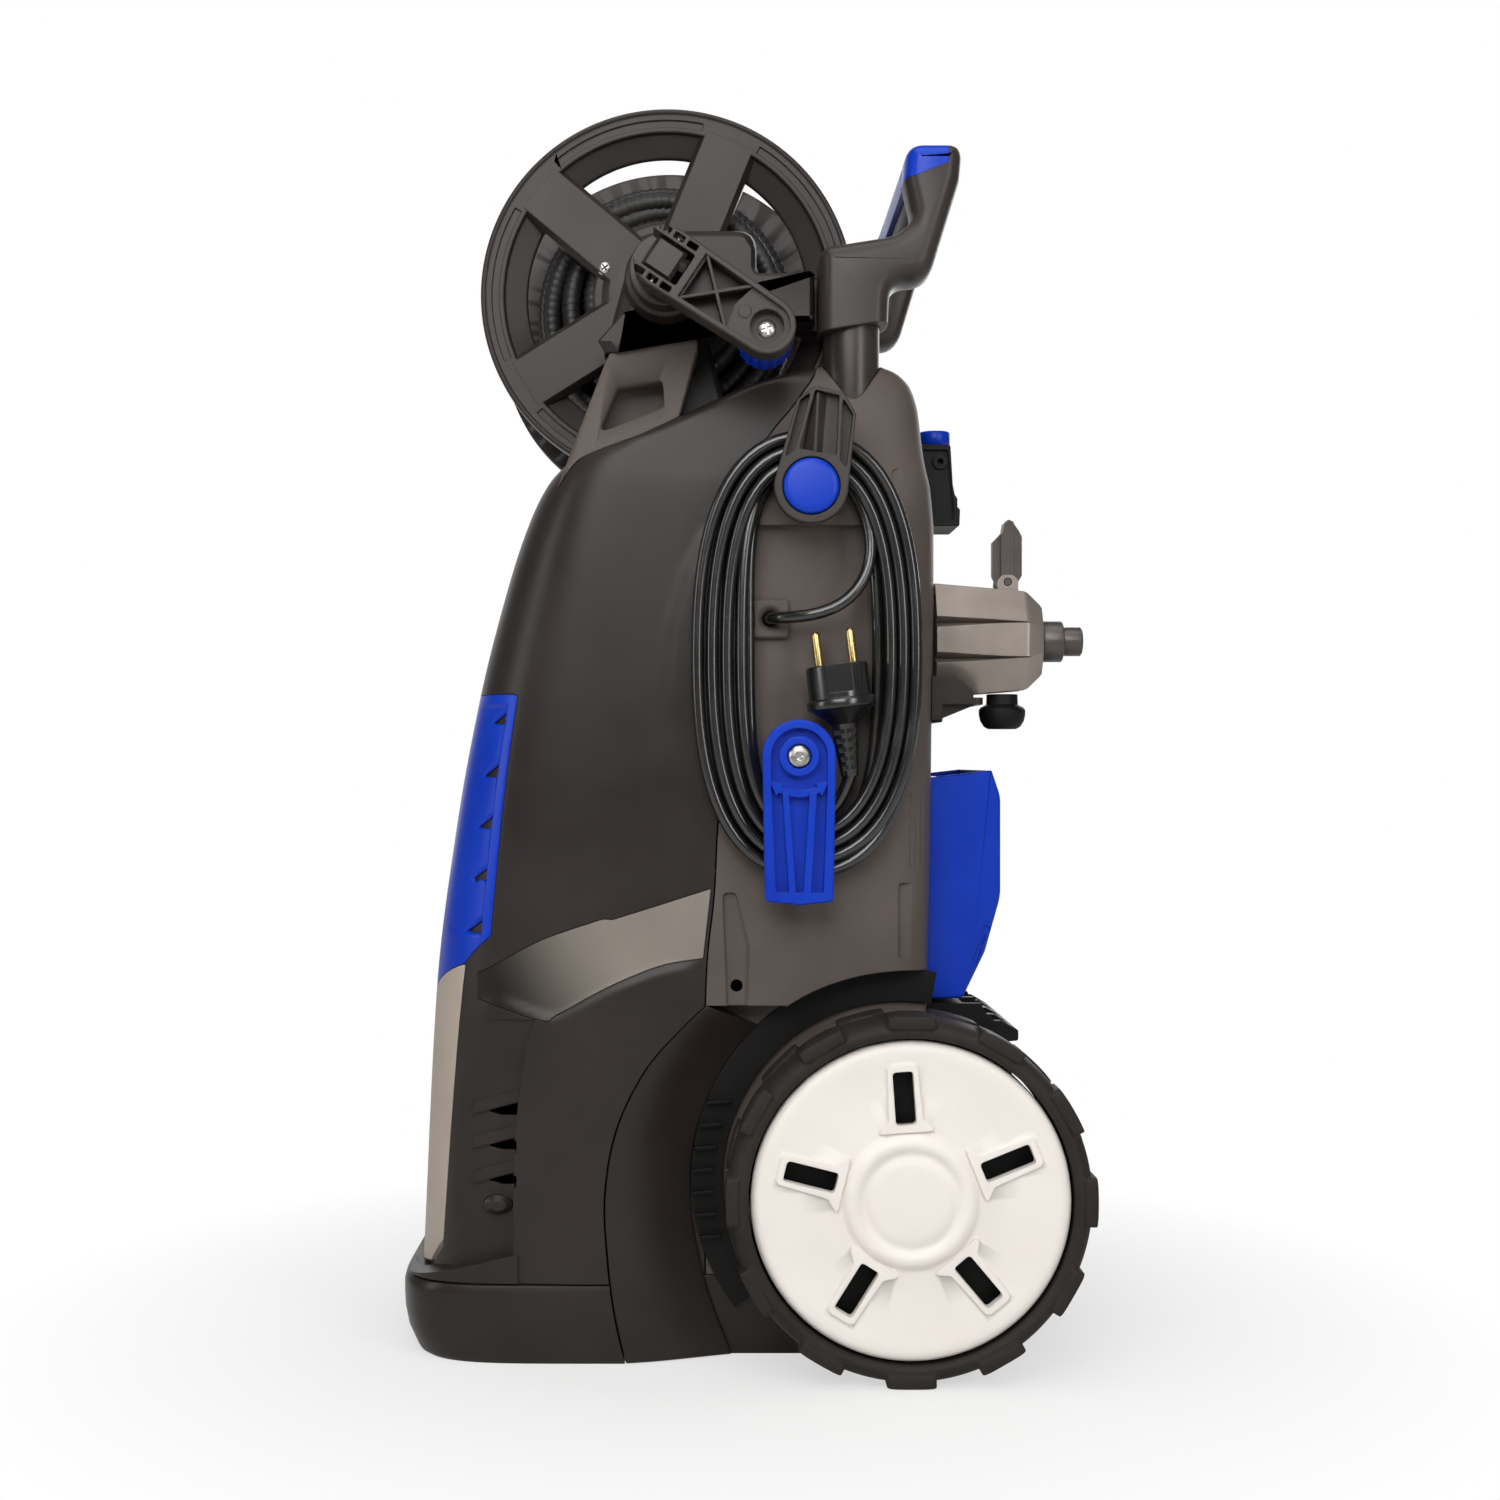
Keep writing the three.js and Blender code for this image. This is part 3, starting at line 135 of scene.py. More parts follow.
# %% World
BACKDROP = (0.75, 0.95)  # how far a ray must point backwards for white to begin and to be full
WORLD_LEVEL = 0.16

world = bpy.data.worlds.new("studio")
bpy.context.scene.world = world
world.use_nodes = True
sky_tree = world.node_tree
sky_tree.nodes.clear()
towards = node(sky_tree, "ShaderNodeTexCoord")
heading = node(sky_tree, "ShaderNodeSeparateXYZ", {0: towards.outputs["Generated"]})
backdrop = node(
    sky_tree, "ShaderNodeMapRange", {"Value": heading.outputs["Y"]},
    {"From Min": BACKDROP[0], "From Max": BACKDROP[1], "To Min": 0.0, "To Max": 1.0},
)
white_ray = white_rays(sky_tree, share_link={1: backdrop.outputs["Result"]})
lit = node(sky_tree, "ShaderNodeBackground", values={"Color": linear("f4f4f4"), "Strength": WORLD_LEVEL})
seen = node(sky_tree, "ShaderNodeBackground", values={"Color": (1, 1, 1, 1), "Strength": 1.0})
either = node(sky_tree, "ShaderNodeMixShader", {0: white_ray, 1: lit.outputs[0], 2: seen.outputs[0]})
node(sky_tree, "ShaderNodeOutputWorld", {"Surface": either.outputs[0]})
print("world", len(sky_tree.nodes), "nodes")

# %% Floor
GLOW_STARTS, GLOW_FULL = 0.18, 0.46  # metres from the middle; nearer, the floor keeps the machine's shadow
GLOW_NEAR = 0.6
GLOW_IN_MIRROR = 0.35

floor_mesh = bpy.data.meshes.new("studio_floor")
floor_mesh.from_pydata([(-6, -4, 0), (6, -4, 0), (6, 8, 0), (-6, 8, 0)], [], [(0, 1, 2, 3)])
studio_floor = placed("studio_floor", floor_mesh)
white_floor = bpy.data.materials.new("painted_white_board")
white_floor.use_nodes = True
board_tree = white_floor.node_tree
board_tree.nodes.clear()
place_on_floor = node(board_tree, "ShaderNodeTexCoord")
middle = node(board_tree, "ShaderNodeVectorMath", {0: place_on_floor.outputs["Object"]}, operation="LENGTH")
far = node(
    board_tree, "ShaderNodeMapRange", {"Value": middle.outputs["Value"]},
    {"From Min": GLOW_STARTS, "From Max": GLOW_FULL, "To Min": GLOW_NEAR, "To Max": 1.0},
)
white_ray = white_rays(board_tree, share_value={1: GLOW_IN_MIRROR})
share = node(board_tree, "ShaderNodeMath", {0: white_ray, 1: far.outputs["Result"]}, operation="MULTIPLY")
matt = node(board_tree, "ShaderNodeBsdfDiffuse", values={"Color": linear("d8d7d5")})
glow = node(board_tree, "ShaderNodeEmission", values={"Color": (1, 1, 1, 1), "Strength": 1.0})
board = node(
    board_tree, "ShaderNodeMixShader",
    {0: share.outputs[0], 1: matt.outputs[0], 2: glow.outputs[0]},
)
node(board_tree, "ShaderNodeOutputMaterial", {"Surface": board.outputs[0]})
floor_mesh.materials.append(white_floor)
print("floor", [round(v) for v in studio_floor.dimensions], "m")

# %% [markdown]
# ## Finishes
# Nearly every piece is injection-moulded plastic. A mould leaves a fine grain, the wall behind leaves a
# faint mottle in the gloss, and every outer edge has a small radius that catches the light. One base tree
# holds all three: object coordinates drive mottle and grain, and a Bevel node rounds the edges.


# %% The base tree of a moulded or drawn surface
def surface(
    name, slot, colours, gloss, mottle_mm, grain_mm, relief_mm, edge_mm, stretch=(1, 1, 1), **constants,
):
    """A material from two close colours, a range of roughness, a mottle and a grain."""
    material = bpy.data.materials.new(name)
    material.use_nodes = True
    material["slot"] = slot
    tree = material.node_tree
    tree.nodes.clear()
    where = node(tree, "ShaderNodeTexCoord").outputs["Object"]
    drawn = node(tree, "ShaderNodeMapping", {"Vector": where}, {"Scale": stretch})
    mottle = node(
        tree, "ShaderNodeTexNoise", {"Vector": where},
        {"Scale": 1000 / mottle_mm, "Detail": 3.0, "Roughness": 0.55},
    )
    tint = node(tree, "ShaderNodeValToRGB", {"Fac": mottle.outputs["Fac"]})
    for stop, position, colour in zip(tint.color_ramp.elements, (0.3, 0.7), colours):
        stop.position = position
        stop.color = linear(colour)
    sheen = node(
        tree, "ShaderNodeMapRange", {"Value": mottle.outputs["Fac"]},
        {"From Min": 0.3, "From Max": 0.7, "To Min": gloss[0], "To Max": gloss[1]},
    )
    grain = node(
        tree, "ShaderNodeTexNoise", {"Vector": drawn.outputs["Vector"]},
        {"Scale": 1000 / grain_mm, "Detail": 2.0, "Roughness": 0.5},
    )
    edge = node(tree, "ShaderNodeBevel", values={"Radius": edge_mm * MM}, samples=4)
    relief = node(
        tree, "ShaderNodeBump", {"Height": grain.outputs["Fac"], "Normal": edge.outputs["Normal"]},
        {"Strength": 1.0, "Distance": relief_mm * MM},
    )
    shader = node(
        tree, "ShaderNodeBsdfPrincipled",
        {"Base Color": tint.outputs["Color"], "Roughness": sheen.outputs["Result"],
         "Normal": relief.outputs["Normal"]},
        {key.replace("_", " "): value for key, value in constants.items()},
    )
    node(tree, "ShaderNodeOutputMaterial", {"Surface": shader.outputs["BSDF"]})
    return material


# %% Plastics
# Glass-filled polypropylene, satin: brown-black, with soft broad highlights.
SATIN_BLACK = surface(
    "satin_polypropylene", "housing_plastic", ("231d1a", "2c2623"), (0.32, 0.42), 70, 0.45, 0.010, 0.9,
    IOR=1.49, Specular_IOR_Level=0.3,
)
# A paler copy of the satin plastic for hook, crank and handle: a painted highlight that stands in for
# the light rims of those pieces.
HIGHLIT_BLACK = surface(
    "rubbed_polypropylene", "housing_plastic", ("302a27", "3a3430"), (0.34, 0.44), 45, 0.45, 0.012, 0.9,
    IOR=1.49, Specular_IOR_Level=0.32,
)
# The same plastic from a spark-eroded mould: a leather-like grain that scatters the light, so it looks paler.
GRAINED_BLACK = surface(
    "grained_polypropylene", "textured_plastic", ("4f4742", "5a514c"), (0.46, 0.56), 60, 1.5, 0.12, 0.9,
    IOR=1.49, Specular_IOR_Level=0.28,
)
# Plain black nylon for hidden and hard-worked pieces.
DEEP_BLACK = surface(
    "black_nylon", "deep_black_plastic", ("0c0b0a", "12100f"), (0.46, 0.56), 40, 0.5, 0.02, 0.7,
    IOR=1.53, Specular_IOR_Level=0.18,
)
# Blue ABS: clear and slightly glossy.
BLUE_ABS = surface(
    "blue_abs", "blue_plastic", ("0030aa", "0037b4"), (0.30, 0.38), 50, 0.4, 0.006, 0.8,
    IOR=1.54, Specular_IOR_Level=0.24,
)
# Pale grey ABS of the nose strip and the water fitting.
PALE_ABS = surface(
    "pale_grey_abs", "pale_grey_plastic", ("a79a8e", "b0a397"), (0.42, 0.5), 50, 0.5, 0.012, 0.8,
    IOR=1.54, Specular_IOR_Level=0.28,
)
# Silver-grey ABS of the sweeping side band.
GREY_ABS = surface(
    "silver_grey_abs", "trim_grey_plastic", ("7c746c", "867e75"), (0.36, 0.44), 60, 0.5, 0.010, 0.8,
    IOR=1.54, Specular_IOR_Level=0.28,
)
print(len(bpy.data.materials), "materials so far")

# %% The band's painted shade
# The band's colour runs from silver-grey at the back to a black like the housing's at the nose. That is
# painted shade, standing in for the dark where the band curves round towards the nose.
PAINTED_SHADE_WAY = (1.0, 0.0, 0.55)
PAINTED_SHADE_STARTS, PAINTED_SHADE_ENDS = -0.026, 0.062  # metres along that way

GREY_WITH_PAINTED_SHADE = GREY_ABS.copy()
GREY_WITH_PAINTED_SHADE.name = "faded_silver_abs"
shade_tree = GREY_WITH_PAINTED_SHADE.node_tree
plain_tint = next(n for n in shade_tree.nodes if n.type == "VALTORGB")
band_shader = next(n for n in shade_tree.nodes if n.type == "BSDF_PRINCIPLED")
spot = node(shade_tree, "ShaderNodeTexCoord")
slant = node(
    shade_tree, "ShaderNodeVectorMath", {0: spot.outputs["Object"]}, {1: PAINTED_SHADE_WAY}, operation="DOT_PRODUCT",
)
fade = node(
    shade_tree, "ShaderNodeMapRange", {"Value": slant.outputs["Value"]},
    {"From Min": PAINTED_SHADE_STARTS, "From Max": PAINTED_SHADE_ENDS, "To Min": 0.0, "To Max": 1.0},
    interpolation_type="SMOOTHSTEP",
)
# Painted shade: the band's grey is mixed towards near-black at the nose.
painted_shade_tint = node(
    shade_tree, "ShaderNodeMix", {0: fade.outputs["Result"], 7: plain_tint.outputs["Color"]},
    {6: linear("14100e")}, data_type="RGBA",
)
shade_tree.links.new(painted_shade_tint.outputs[2], band_shader.inputs["Base Color"])
print("band fades over", round((PAINTED_SHADE_ENDS - PAINTED_SHADE_STARTS) / MM), "mm")

# %% More plastics
# The same plastic with fine metal flakes, as on the gun's barrel, and its darker lever.
SILVER_ABS = surface(
    "flaked_silver_abs", "housing_plastic", ("8d837b", "988e86"), (0.30, 0.38), 20, 0.35, 0.02, 0.5,
    stretch=(0.06, 1, 1), IOR=1.54, Metallic=0.55,
)
LEVER_GREY = surface(
    "flaked_dark_abs", "trim_grey_plastic", ("4c4542", "554e4b"), (0.30, 0.38), 20, 0.35, 0.02, 0.5,
    IOR=1.54, Metallic=0.45,
)
# Off-white ABS of the wheel covers.
WHITE_ABS = surface(
    "off_white_abs", "hubcap_plastic", ("e6dfd9", "ebe5df"), (0.38, 0.46), 45, 0.4, 0.004, 1.4,
    IOR=1.54, Specular_IOR_Level=0.3,
)
print(SILVER_ABS.name, LEVER_GREY.name, WHITE_ABS.name)

# %% Rubber
# Tyres are moulded hard rubber: grey-black, dull, with a dusty grain.
TYRE_RUBBER = surface(
    "moulded_tyre_rubber", "tyre_rubber", ("231f1c", "2d2825"), (0.55, 0.68), 25, 0.6, 0.04, 0.8,
    IOR=1.52, Specular_IOR_Level=0.2,
)
# The hose has a ribbed rubber cover.
HOSE_RUBBER = surface(
    "ribbed_hose_rubber", "hose_rubber", ("1a1918", "242220"), (0.42, 0.52), 30, 0.5, 0.02, 0.4,
    IOR=1.52, Specular_IOR_Level=0.4,
)
# Soft PVC flex: smooth and glossy, so that each turn carries a thin bright line.
CORD_PVC = surface(
    "cord_pvc", "cord_rubber", ("151413", "1b1a19"), (0.18, 0.26), 30, 0.6, 0.006, 0.3,
    IOR=1.53, Specular_IOR_Level=0.75,
)
print(TYRE_RUBBER.name, HOSE_RUBBER.name, CORD_PVC.name)

# %% Metals
# Zinc-plated steel screws and shafts.
ZINC_STEEL = surface(
    "zinc_plated_steel", "bright_steel", ("b9b7b2", "cbc9c4"), (0.24, 0.34), 12, 0.3, 0.006, 0.3,
    Metallic=1.0,
)
# The reel's shaft end is phosphated: dark, with a soft sheen.
SHAFT_STEEL = surface(
    "phosphated_steel", "bright_steel", ("2c2825", "36312d"), (0.36, 0.46), 18, 0.4, 0.02, 0.4, Metallic=0.5,
)
# The handle tubes are drawn steel under a satin grey lacquer; the fine lines run along the tube.
LACQUERED_STEEL = surface(
    "lacquered_steel_tube", "handle_tube_steel", ("3b3633", "46413d"), (0.30, 0.38), 40, 0.5, 0.008, 0.5,
    stretch=(1, 1, 0.03), Metallic=0.5,
)
# Machined brass: the plug's pins, which are thinly plated, and the pump head.
BRASS = surface(
    "plated_brass", "pump_brass", ("b89f68", "c8b27c"), (0.22, 0.32), 10, 0.3, 0.005, 0.3, Metallic=1.0,
)
# The motor's cast aluminium housing: pale, rough and evenly grained from the mould.
CAST_ALUMINIUM = surface(
    "cast_aluminium", "motor_aluminium", ("a8a8a6", "b6b6b4"), (0.45, 0.6), 20, 0.8, 0.05, 0.6, Metallic=1.0,
)
FINISHES = [m.name for m in bpy.data.materials if "slot" in m]
print(len(FINISHES), "finishes:", ", ".join(FINISHES))

# %% [markdown]
# ## Mesh helpers
# Most mouldings here are either turned about an axis or pushed out of a flat outline, and then cut. Three
# small builders give those solids, a cutter joins or cuts them, and a softener gives the edges their moulded
# radius. Everything is written at its final place, so each object stays at the origin.


# %% Solids
def solid(name, points, faces):
    """A closed piece from points in millimetres, its faces turned outwards."""
    mesh = bpy.data.meshes.new(name)
    mesh.from_pydata([[v * MM for v in p] for p in points], [], faces)
    shell = bmesh.new()
    shell.from_mesh(mesh)
    bmesh.ops.recalc_face_normals(shell, faces=shell.faces)
    shell.to_mesh(mesh)
    shell.free()
    piece = placed(name, mesh)
    return piece


def place(axis, across, up, along):
    """A point from two numbers across an axis and one along it."""
    return {"X": (along, across, up), "Y": (across, along, up), "Z": (across, up, along)}[axis]


def turned(name, profile, axis, centre, steps=96):
    """A solid turned about an axis; the profile holds (radius, distance along the axis)."""
    points, rows = [], []
    for radius, along in profile:
        count = steps if radius > 1e-6 else 1
        rows.append([len(points) + k for k in range(count)] * (steps // count))
        for k in range(count):
            turn = 2 * math.pi * k / steps
            points.append(place(
                axis, centre[0] + radius * math.cos(turn), centre[1] + radius * math.sin(turn), along,
            ))
    pairs = list(zip(rows, rows[1:]))
    if profile[0][0] > 1e-6:
        pairs.append((rows[-1], rows[0]))
    faces = []
    for low, high in pairs:
        for k in range(steps):
            m = (k + 1) % steps
            face = list(dict.fromkeys([low[k], low[m], high[m], high[k]]))
            if len(face) > 2:
                faces.append(face)
    return solid(name, points, faces)


def rod(name, radius, low, high, axis, centre, steps=48):
    """A plain round bar."""
    return turned(name, [(0, low), (radius, low), (radius, high), (0, high)], axis, centre, steps)


def prism(name, outline, axis, low, high):
    """A flat outline pushed from one place to another along an axis."""
    count = len(outline)
    points = [place(axis, a, b, along) for along in (low, high) for a, b in outline]
    sides = [(k, (k + 1) % count, count + (k + 1) % count, count + k) for k in range(count)]
    return solid(name, points, [tuple(range(count)), tuple(range(count, 2 * count)), *sides])


def loft(name, rings):
    """A closed skin through rings of points, with a flat cap at each end."""
    count = len(rings[0])
    points = [point for ring in rings for point in ring]
    faces = [tuple(range(count)), tuple(range(len(points) - count, len(points)))]
    for row in range(len(rings) - 1):
        for k in range(count):
            a, b = row * count + k, row * count + (k + 1) % count
            faces.append((a, b, b + count, a + count))
    return solid(name, points, faces)


# %% Outlines
def rounded(corners, radius=2.0, steps=5):
    """An outline with rounded corners; a third number is a corner's own radius."""
    points = []
    for k, corner in enumerate(corners):
        here = Vector(corner[:2])
        back = Vector(corners[k - 1][:2]) - here
        ahead = Vector(corners[(k + 1) % len(corners)][:2]) - here
        bend = back.angle(ahead)
        size = corner[2] if len(corner) > 2 else radius
        if size <= 0 or bend > 3.1:
            points.append(tuple(here))
            continue
        reach = min(size / math.tan(bend / 2), back.length * 0.48, ahead.length * 0.48)
        start = here + back.normalized() * reach
        end = here + ahead.normalized() * reach
        for s in range(steps + 1):
            t = s / steps
            points.append(tuple(start * (1 - t) ** 2 + here * 2 * t * (1 - t) + end * t * t))
    return points


def box_outline(a0, a1, b0, b1, radius=1.0):
    """A rectangle with rounded corners."""
    return rounded([(a0, b0), (a1, b0), (a1, b1), (a0, b1)], radius)


def arc(centre, radius, start, end, steps=16):
    """Points on a circle between two angles in degrees."""
    turns = [math.radians(start + (end - start) * k / steps) for k in range(steps + 1)]
    return [(centre[0] + radius * math.cos(a), centre[1] + radius * math.sin(a)) for a in turns]


def hexagon(radius, centre=(0, 0)):
    """The six corners of a nut."""
    return arc(centre, radius, 0, 300, 5)


# %% Lofted mouldings with a chamfer of its own at every corner
def inset(outline, amounts):
    """An outline with its corners moved inwards."""
    area = sum(a[0] * b[1] - b[0] * a[1] for a, b in zip(outline, [*outline[1:], outline[0]]))
    moved = []
    for k, here in enumerate(outline):
        before, after = outline[k - 1], outline[(k + 1) % len(outline)]
        along = Vector((after[0] - before[0], after[1] - before[1])).normalized() * math.copysign(1, area)
        amount = amounts[k] if isinstance(amounts, (list, tuple)) else amounts
        moved.append((here[0] - along.y * amount, here[1] + along.x * amount))
    return moved


def stepped(name, axis, levels):
    """A moulding lofted through outlines with as many corners each."""
    return loft(name, [[place(axis, a, b, along) for a, b in outline] for along, outline in levels])


# %% Cutting, baking and softening
def bake(piece):
    """Turns the piece's modifiers into plain mesh."""
    graph = bpy.context.evaluated_depsgraph_get()
    mesh = bpy.data.meshes.new_from_object(piece.evaluated_get(graph))
    piece.modifiers.clear()
    piece.data = mesh
    return piece


def carve(piece, *tools, how="DIFFERENCE", keep=()):
    """Cuts tools out of a piece, joins them, or keeps what they share."""
    for tool in tools:
        step = piece.modifiers.new("carve", "BOOLEAN")
        step.operation = how
        step.solver = "MANIFOLD"
        step.object = tool
    bake(piece)
    for tool in tools:
        if tool not in keep:
            bpy.data.objects.remove(tool)
    return piece


def fuse(piece, *others):
    """Joins solids into one."""
    return carve(piece, *others, how="UNION")


def twin(piece, name):
    """A copy of a piece under another name."""
    return placed(name, piece.data.copy())


def faces(piece):
    """How many faces a piece has."""
    return f"{len(piece.data.polygons)} faces"


def mirrored(piece, name):
    """The same piece on the machine's other side."""
    copy = twin(piece, name)
    copy.data.transform(Matrix.Scale(-1, 4, (0, 1, 0)))
    copy.data.flip_normals()
    return copy


# %% Soft edges
def shade(piece):
    """Shades every face smooth."""
    for polygon in piece.data.polygons:
        polygon.use_smooth = True


def soften(piece, width=0.6, segments=2, angle=30, flat=True):
    """Gives sharp edges a small radius and shades the rest smooth."""
    if width:
        shade(piece)
        weld = piece.modifiers.new("weld", "WELD")
        weld.merge_threshold = 0.02 * MM
        edges = piece.modifiers.new("edges", "BEVEL")
        edges.width = width * MM
        edges.segments = segments
        edges.limit_method = "ANGLE"
        edges.angle_limit = math.radians(angle)
        edges.use_clamp_overlap = True
        if flat:
            piece.modifiers.new("flats", "WEIGHTED_NORMAL").keep_sharp = True
        bake(piece)
    piece.data.set_sharp_from_angle(angle=math.radians(angle + 8))
    return piece


def smoothed(piece, angle):
    """Shades a piece smooth and keeps the edges sharper than an angle."""
    soften(piece, 0, angle=angle)
    shade(piece)
    return piece


# %% Dressing
def paint(piece, material):
    """Gives the whole piece one finish."""
    if piece.type == "MESH":
        for polygon in piece.data.polygons:
            polygon.material_index = 0
    piece.data.materials.clear()
    piece.data.materials.append(material)
    return piece


def dress(piece, material, body, *replaced):
    """Paints a piece, puts it on its body and hides the nodes that it stands for."""
    paint(piece, material)
    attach(piece, body)
    if replaced:
        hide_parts(*replaced)
    return piece


def finish_node(name, material):
    """Gives a carried-over frame node its finish."""
    holder = bpy.data.objects[name]
    if not holder.material_slots:
        holder.data.materials.append(material)
    for slot in holder.material_slots:
        slot.material = material

# %% [markdown]
# ## Mains cord
# More than four metres of round PVC flex are wound on the two side hooks as an upright oval hank. The cord
# starts at its gland, joins the inner turn on the right, fills a front layer outwards and then a back layer
# inwards, and ends in its plug. Over the upper hook the turns stack three deep. The route is worked out turn
# by turn from those slots.

# %% The slots of the hank
FLEX = 6.8  # the cord's thickness
HANK_X = 34.0
HANK_HALF_WIDTH = 64.0
HANK_FOOT = 270.0
HANK_TOP = 520.0
BACK_LAYER = -124.8
FRONT_LAYER = -131.8
TOP_LAYERS = (-136.2, -129.2, -122.2)
RIGHT_SLOTS = [(3 - k, FRONT_LAYER) for k in range(4)] + [(k, BACK_LAYER) for k in range(4)]
LEFT_PITCH = 8.2
RIGHT_PITCH = 6.9
TOP_SLOTS = [(2, 1), (2, 0), (1, 0), (0, 0), (0, 1), (0, 2), (1, 2), (2, 2)]
TURNS = len(RIGHT_SLOTS)


def hank_slot(turn, quarter):
    """How far inside the oval a turn lies at one of four places, and its depth."""
    turn = min(turn, TURNS - 1)
    column, layer = RIGHT_SLOTS[turn]
    half = FLEX / 2
    if quarter == "top":
        column, depth = TOP_SLOTS[turn]
        return half + column * RIGHT_PITCH, TOP_LAYERS[depth]
    if quarter == "left":
        offset = LEFT_PITCH / 2 if layer == BACK_LAYER else 0
        return half + column * LEFT_PITCH + offset, layer
    return half + column * RIGHT_PITCH, layer


print(TURNS, "turns of cord")

# %% The route
SQUARE = 0.80  # below 1 the oval is fuller at its corners than an ellipse


def hank_point(turns):
    """The cord's centre after a number of turns, counted from the right side up."""
    turn, phase = int(turns), 2 * math.pi * (turns % 1.0)
    c, s = math.cos(phase), math.sin(phase)
    nearest = {
        "right": hank_slot(turn + (1 if phase > math.pi else 0), "right"),
        "top": hank_slot(turn, "top"), "left": hank_slot(turn, "left"), "foot": hank_slot(turn, "foot"),
    }
    shares = {
        "right": max(c, 0) ** 2, "left": max(-c, 0) ** 2, "top": max(s, 0) ** 2, "foot": max(-s, 0) ** 2,
    }
    inwards = sum(shares[q] * nearest[q][0] for q in shares)
    depth = sum(shares[q] * nearest[q][1] for q in shares)
    half_height = (HANK_TOP - HANK_FOOT) / 2
    x = HANK_X + (HANK_HALF_WIDTH - inwards) * math.copysign(abs(c) ** SQUARE, c)
    z = HANK_FOOT + half_height + (half_height - inwards) * math.copysign(abs(s) ** SQUARE, s)
    return Vector((x, depth, z))


def smooth_route(points, steps):
    """A Catmull-Rom curve through points."""
    ends = [points[0] * 2 - points[1], *points, points[-1] * 2 - points[-2]]
    route = []
    for a, b, c, d in zip(ends, ends[1:], ends[2:], ends[3:]):
        for k in range(steps):
            t = k / steps
            route.append(0.5 * (
                2 * b + (c - a) * t + (2 * a - 5 * b + 4 * c - d) * t * t + (3 * b - a - 3 * c + d) * t ** 3
            ))
    return [*route, points[-1]]


def evened(points, step):
    """The same route with its points one step apart."""
    route = np.array([tuple(p) for p in points])
    travelled = np.concatenate([[0], np.cumsum(np.linalg.norm(np.diff(route, axis=0), axis=1))])
    stops = np.linspace(0, travelled[-1], int(travelled[-1] / step) + 1)
    return [Vector([np.interp(stop, travelled, route[:, k]) for k in range(3)]) for stop in stops]


# %% Lay the cord
LEAD = [
    (14, -113, 416), (14.3, -118.6, 416), (16.6, -124.4, 415.8), (20.8, -129.4, 415.6), (26.4, -133.4, 415.4),
    (32.4, -135.8, 415.4), (38.6, -136.9, 416), (44.6, -137, 417.2), (50.4, -136.6, 419.2),
    (55.6, -135.8, 422), (60.2, -134.8, 425.8), (63.8, -133.8, 430.2), (66.6, -133, 435.4),
]
TAIL = [
    (41, -127.4, 300.9), (46, -128.6, 303.6), (50.4, -129.8, 307.8), (53.8, -130.9, 313.4), (56, -131.5, 320),
    (57.9, -132, 329),
]
FIRST_TURN, LAST_TURN = 0.075, 7.715
STOPS = 60  # in one turn
ROUTE_STEP = 6.0
SMOOTHINGS = 10
wound = [hank_point(FIRST_TURN + k / STOPS) for k in range(int((LAST_TURN - FIRST_TURN) * STOPS) + 1)]
lead, tail = [Vector(p) for p in LEAD], [Vector(p) for p in TAIL]
route = evened(smooth_route([*lead, *wound, *tail], 6), ROUTE_STEP)
for _ in range(SMOOTHINGS):
    inner = [(a + 2 * b + c) / 4 for a, b, c in zip(route[2:], route[3:], route[4:])]
    route = [*route[:3], *inner, route[-1]]

cord_curve = bpy.data.curves.new("mains_cord", "CURVE")
cord_curve.dimensions = "3D"
cord_curve.bevel_depth = FLEX / 2 * MM
cord_curve.bevel_resolution = 4
cord_curve.use_fill_caps = True
spline = cord_curve.splines.new("POLY")
spline.points.add(len(route) - 1)
for point, stop in zip(spline.points, route):
    point.co = (*(stop * MM), 1)
mains_cord = placed("mains_cord", cord_curve)

# %% [markdown]
# ## Housing form
# The tall housing is two injection-moulded shells. Its plan is a full nose that runs into long, nearly flat
# sides and tight back corners, and it narrows towards a sloping shoulder. A loft through many thin rings
# follows that rule smoothly. The rings are solved from a few stations, and each point of the skin may be
# pushed in or out: behind a soft crease the side stands proud, and below the grey band it swells again.

# %% Stations up the housing: height, front, half width and back
HOUSING = np.array([
    (45, -189, 119, 100), (205, -181, 119.5, 106), (300, -169, 119, 108), (375, -155, 118.5, 109),
    (430, -141, 118, 110), (465, -130, 117.5, 110), (492, -118, 117, 108), (506, -106, 116, 105),
    (520, -66, 114.5, 103), (536, -32, 112, 101), (549, -4, 108, 97), (557, 20, 102, 90), (561, 34, 95, 82),
], dtype=float)
WIDEST_X = -52.0
HOUSING_NOSE = 4.0  # how square the plan's nose is: 2 is an ellipse
TRAY_NOSE = 6.0
BACK_CORNERS = 9.0


def eased_slopes(heights, values):
    """Slopes of a curve that never overshoots its stations."""
    steps = np.diff(values) / np.diff(heights)
    slopes = np.concatenate([[steps[0]], np.zeros(len(steps) - 1), [steps[-1]]])
    for k in range(1, len(steps)):
        a, b = steps[k - 1], steps[k]
        slopes[k] = 2 * a * b / (a + b) if a * b > 0 else 0.0
    return slopes


SLOPES = [eased_slopes(HOUSING[:, 0], HOUSING[:, k]) for k in (1, 2, 3)]


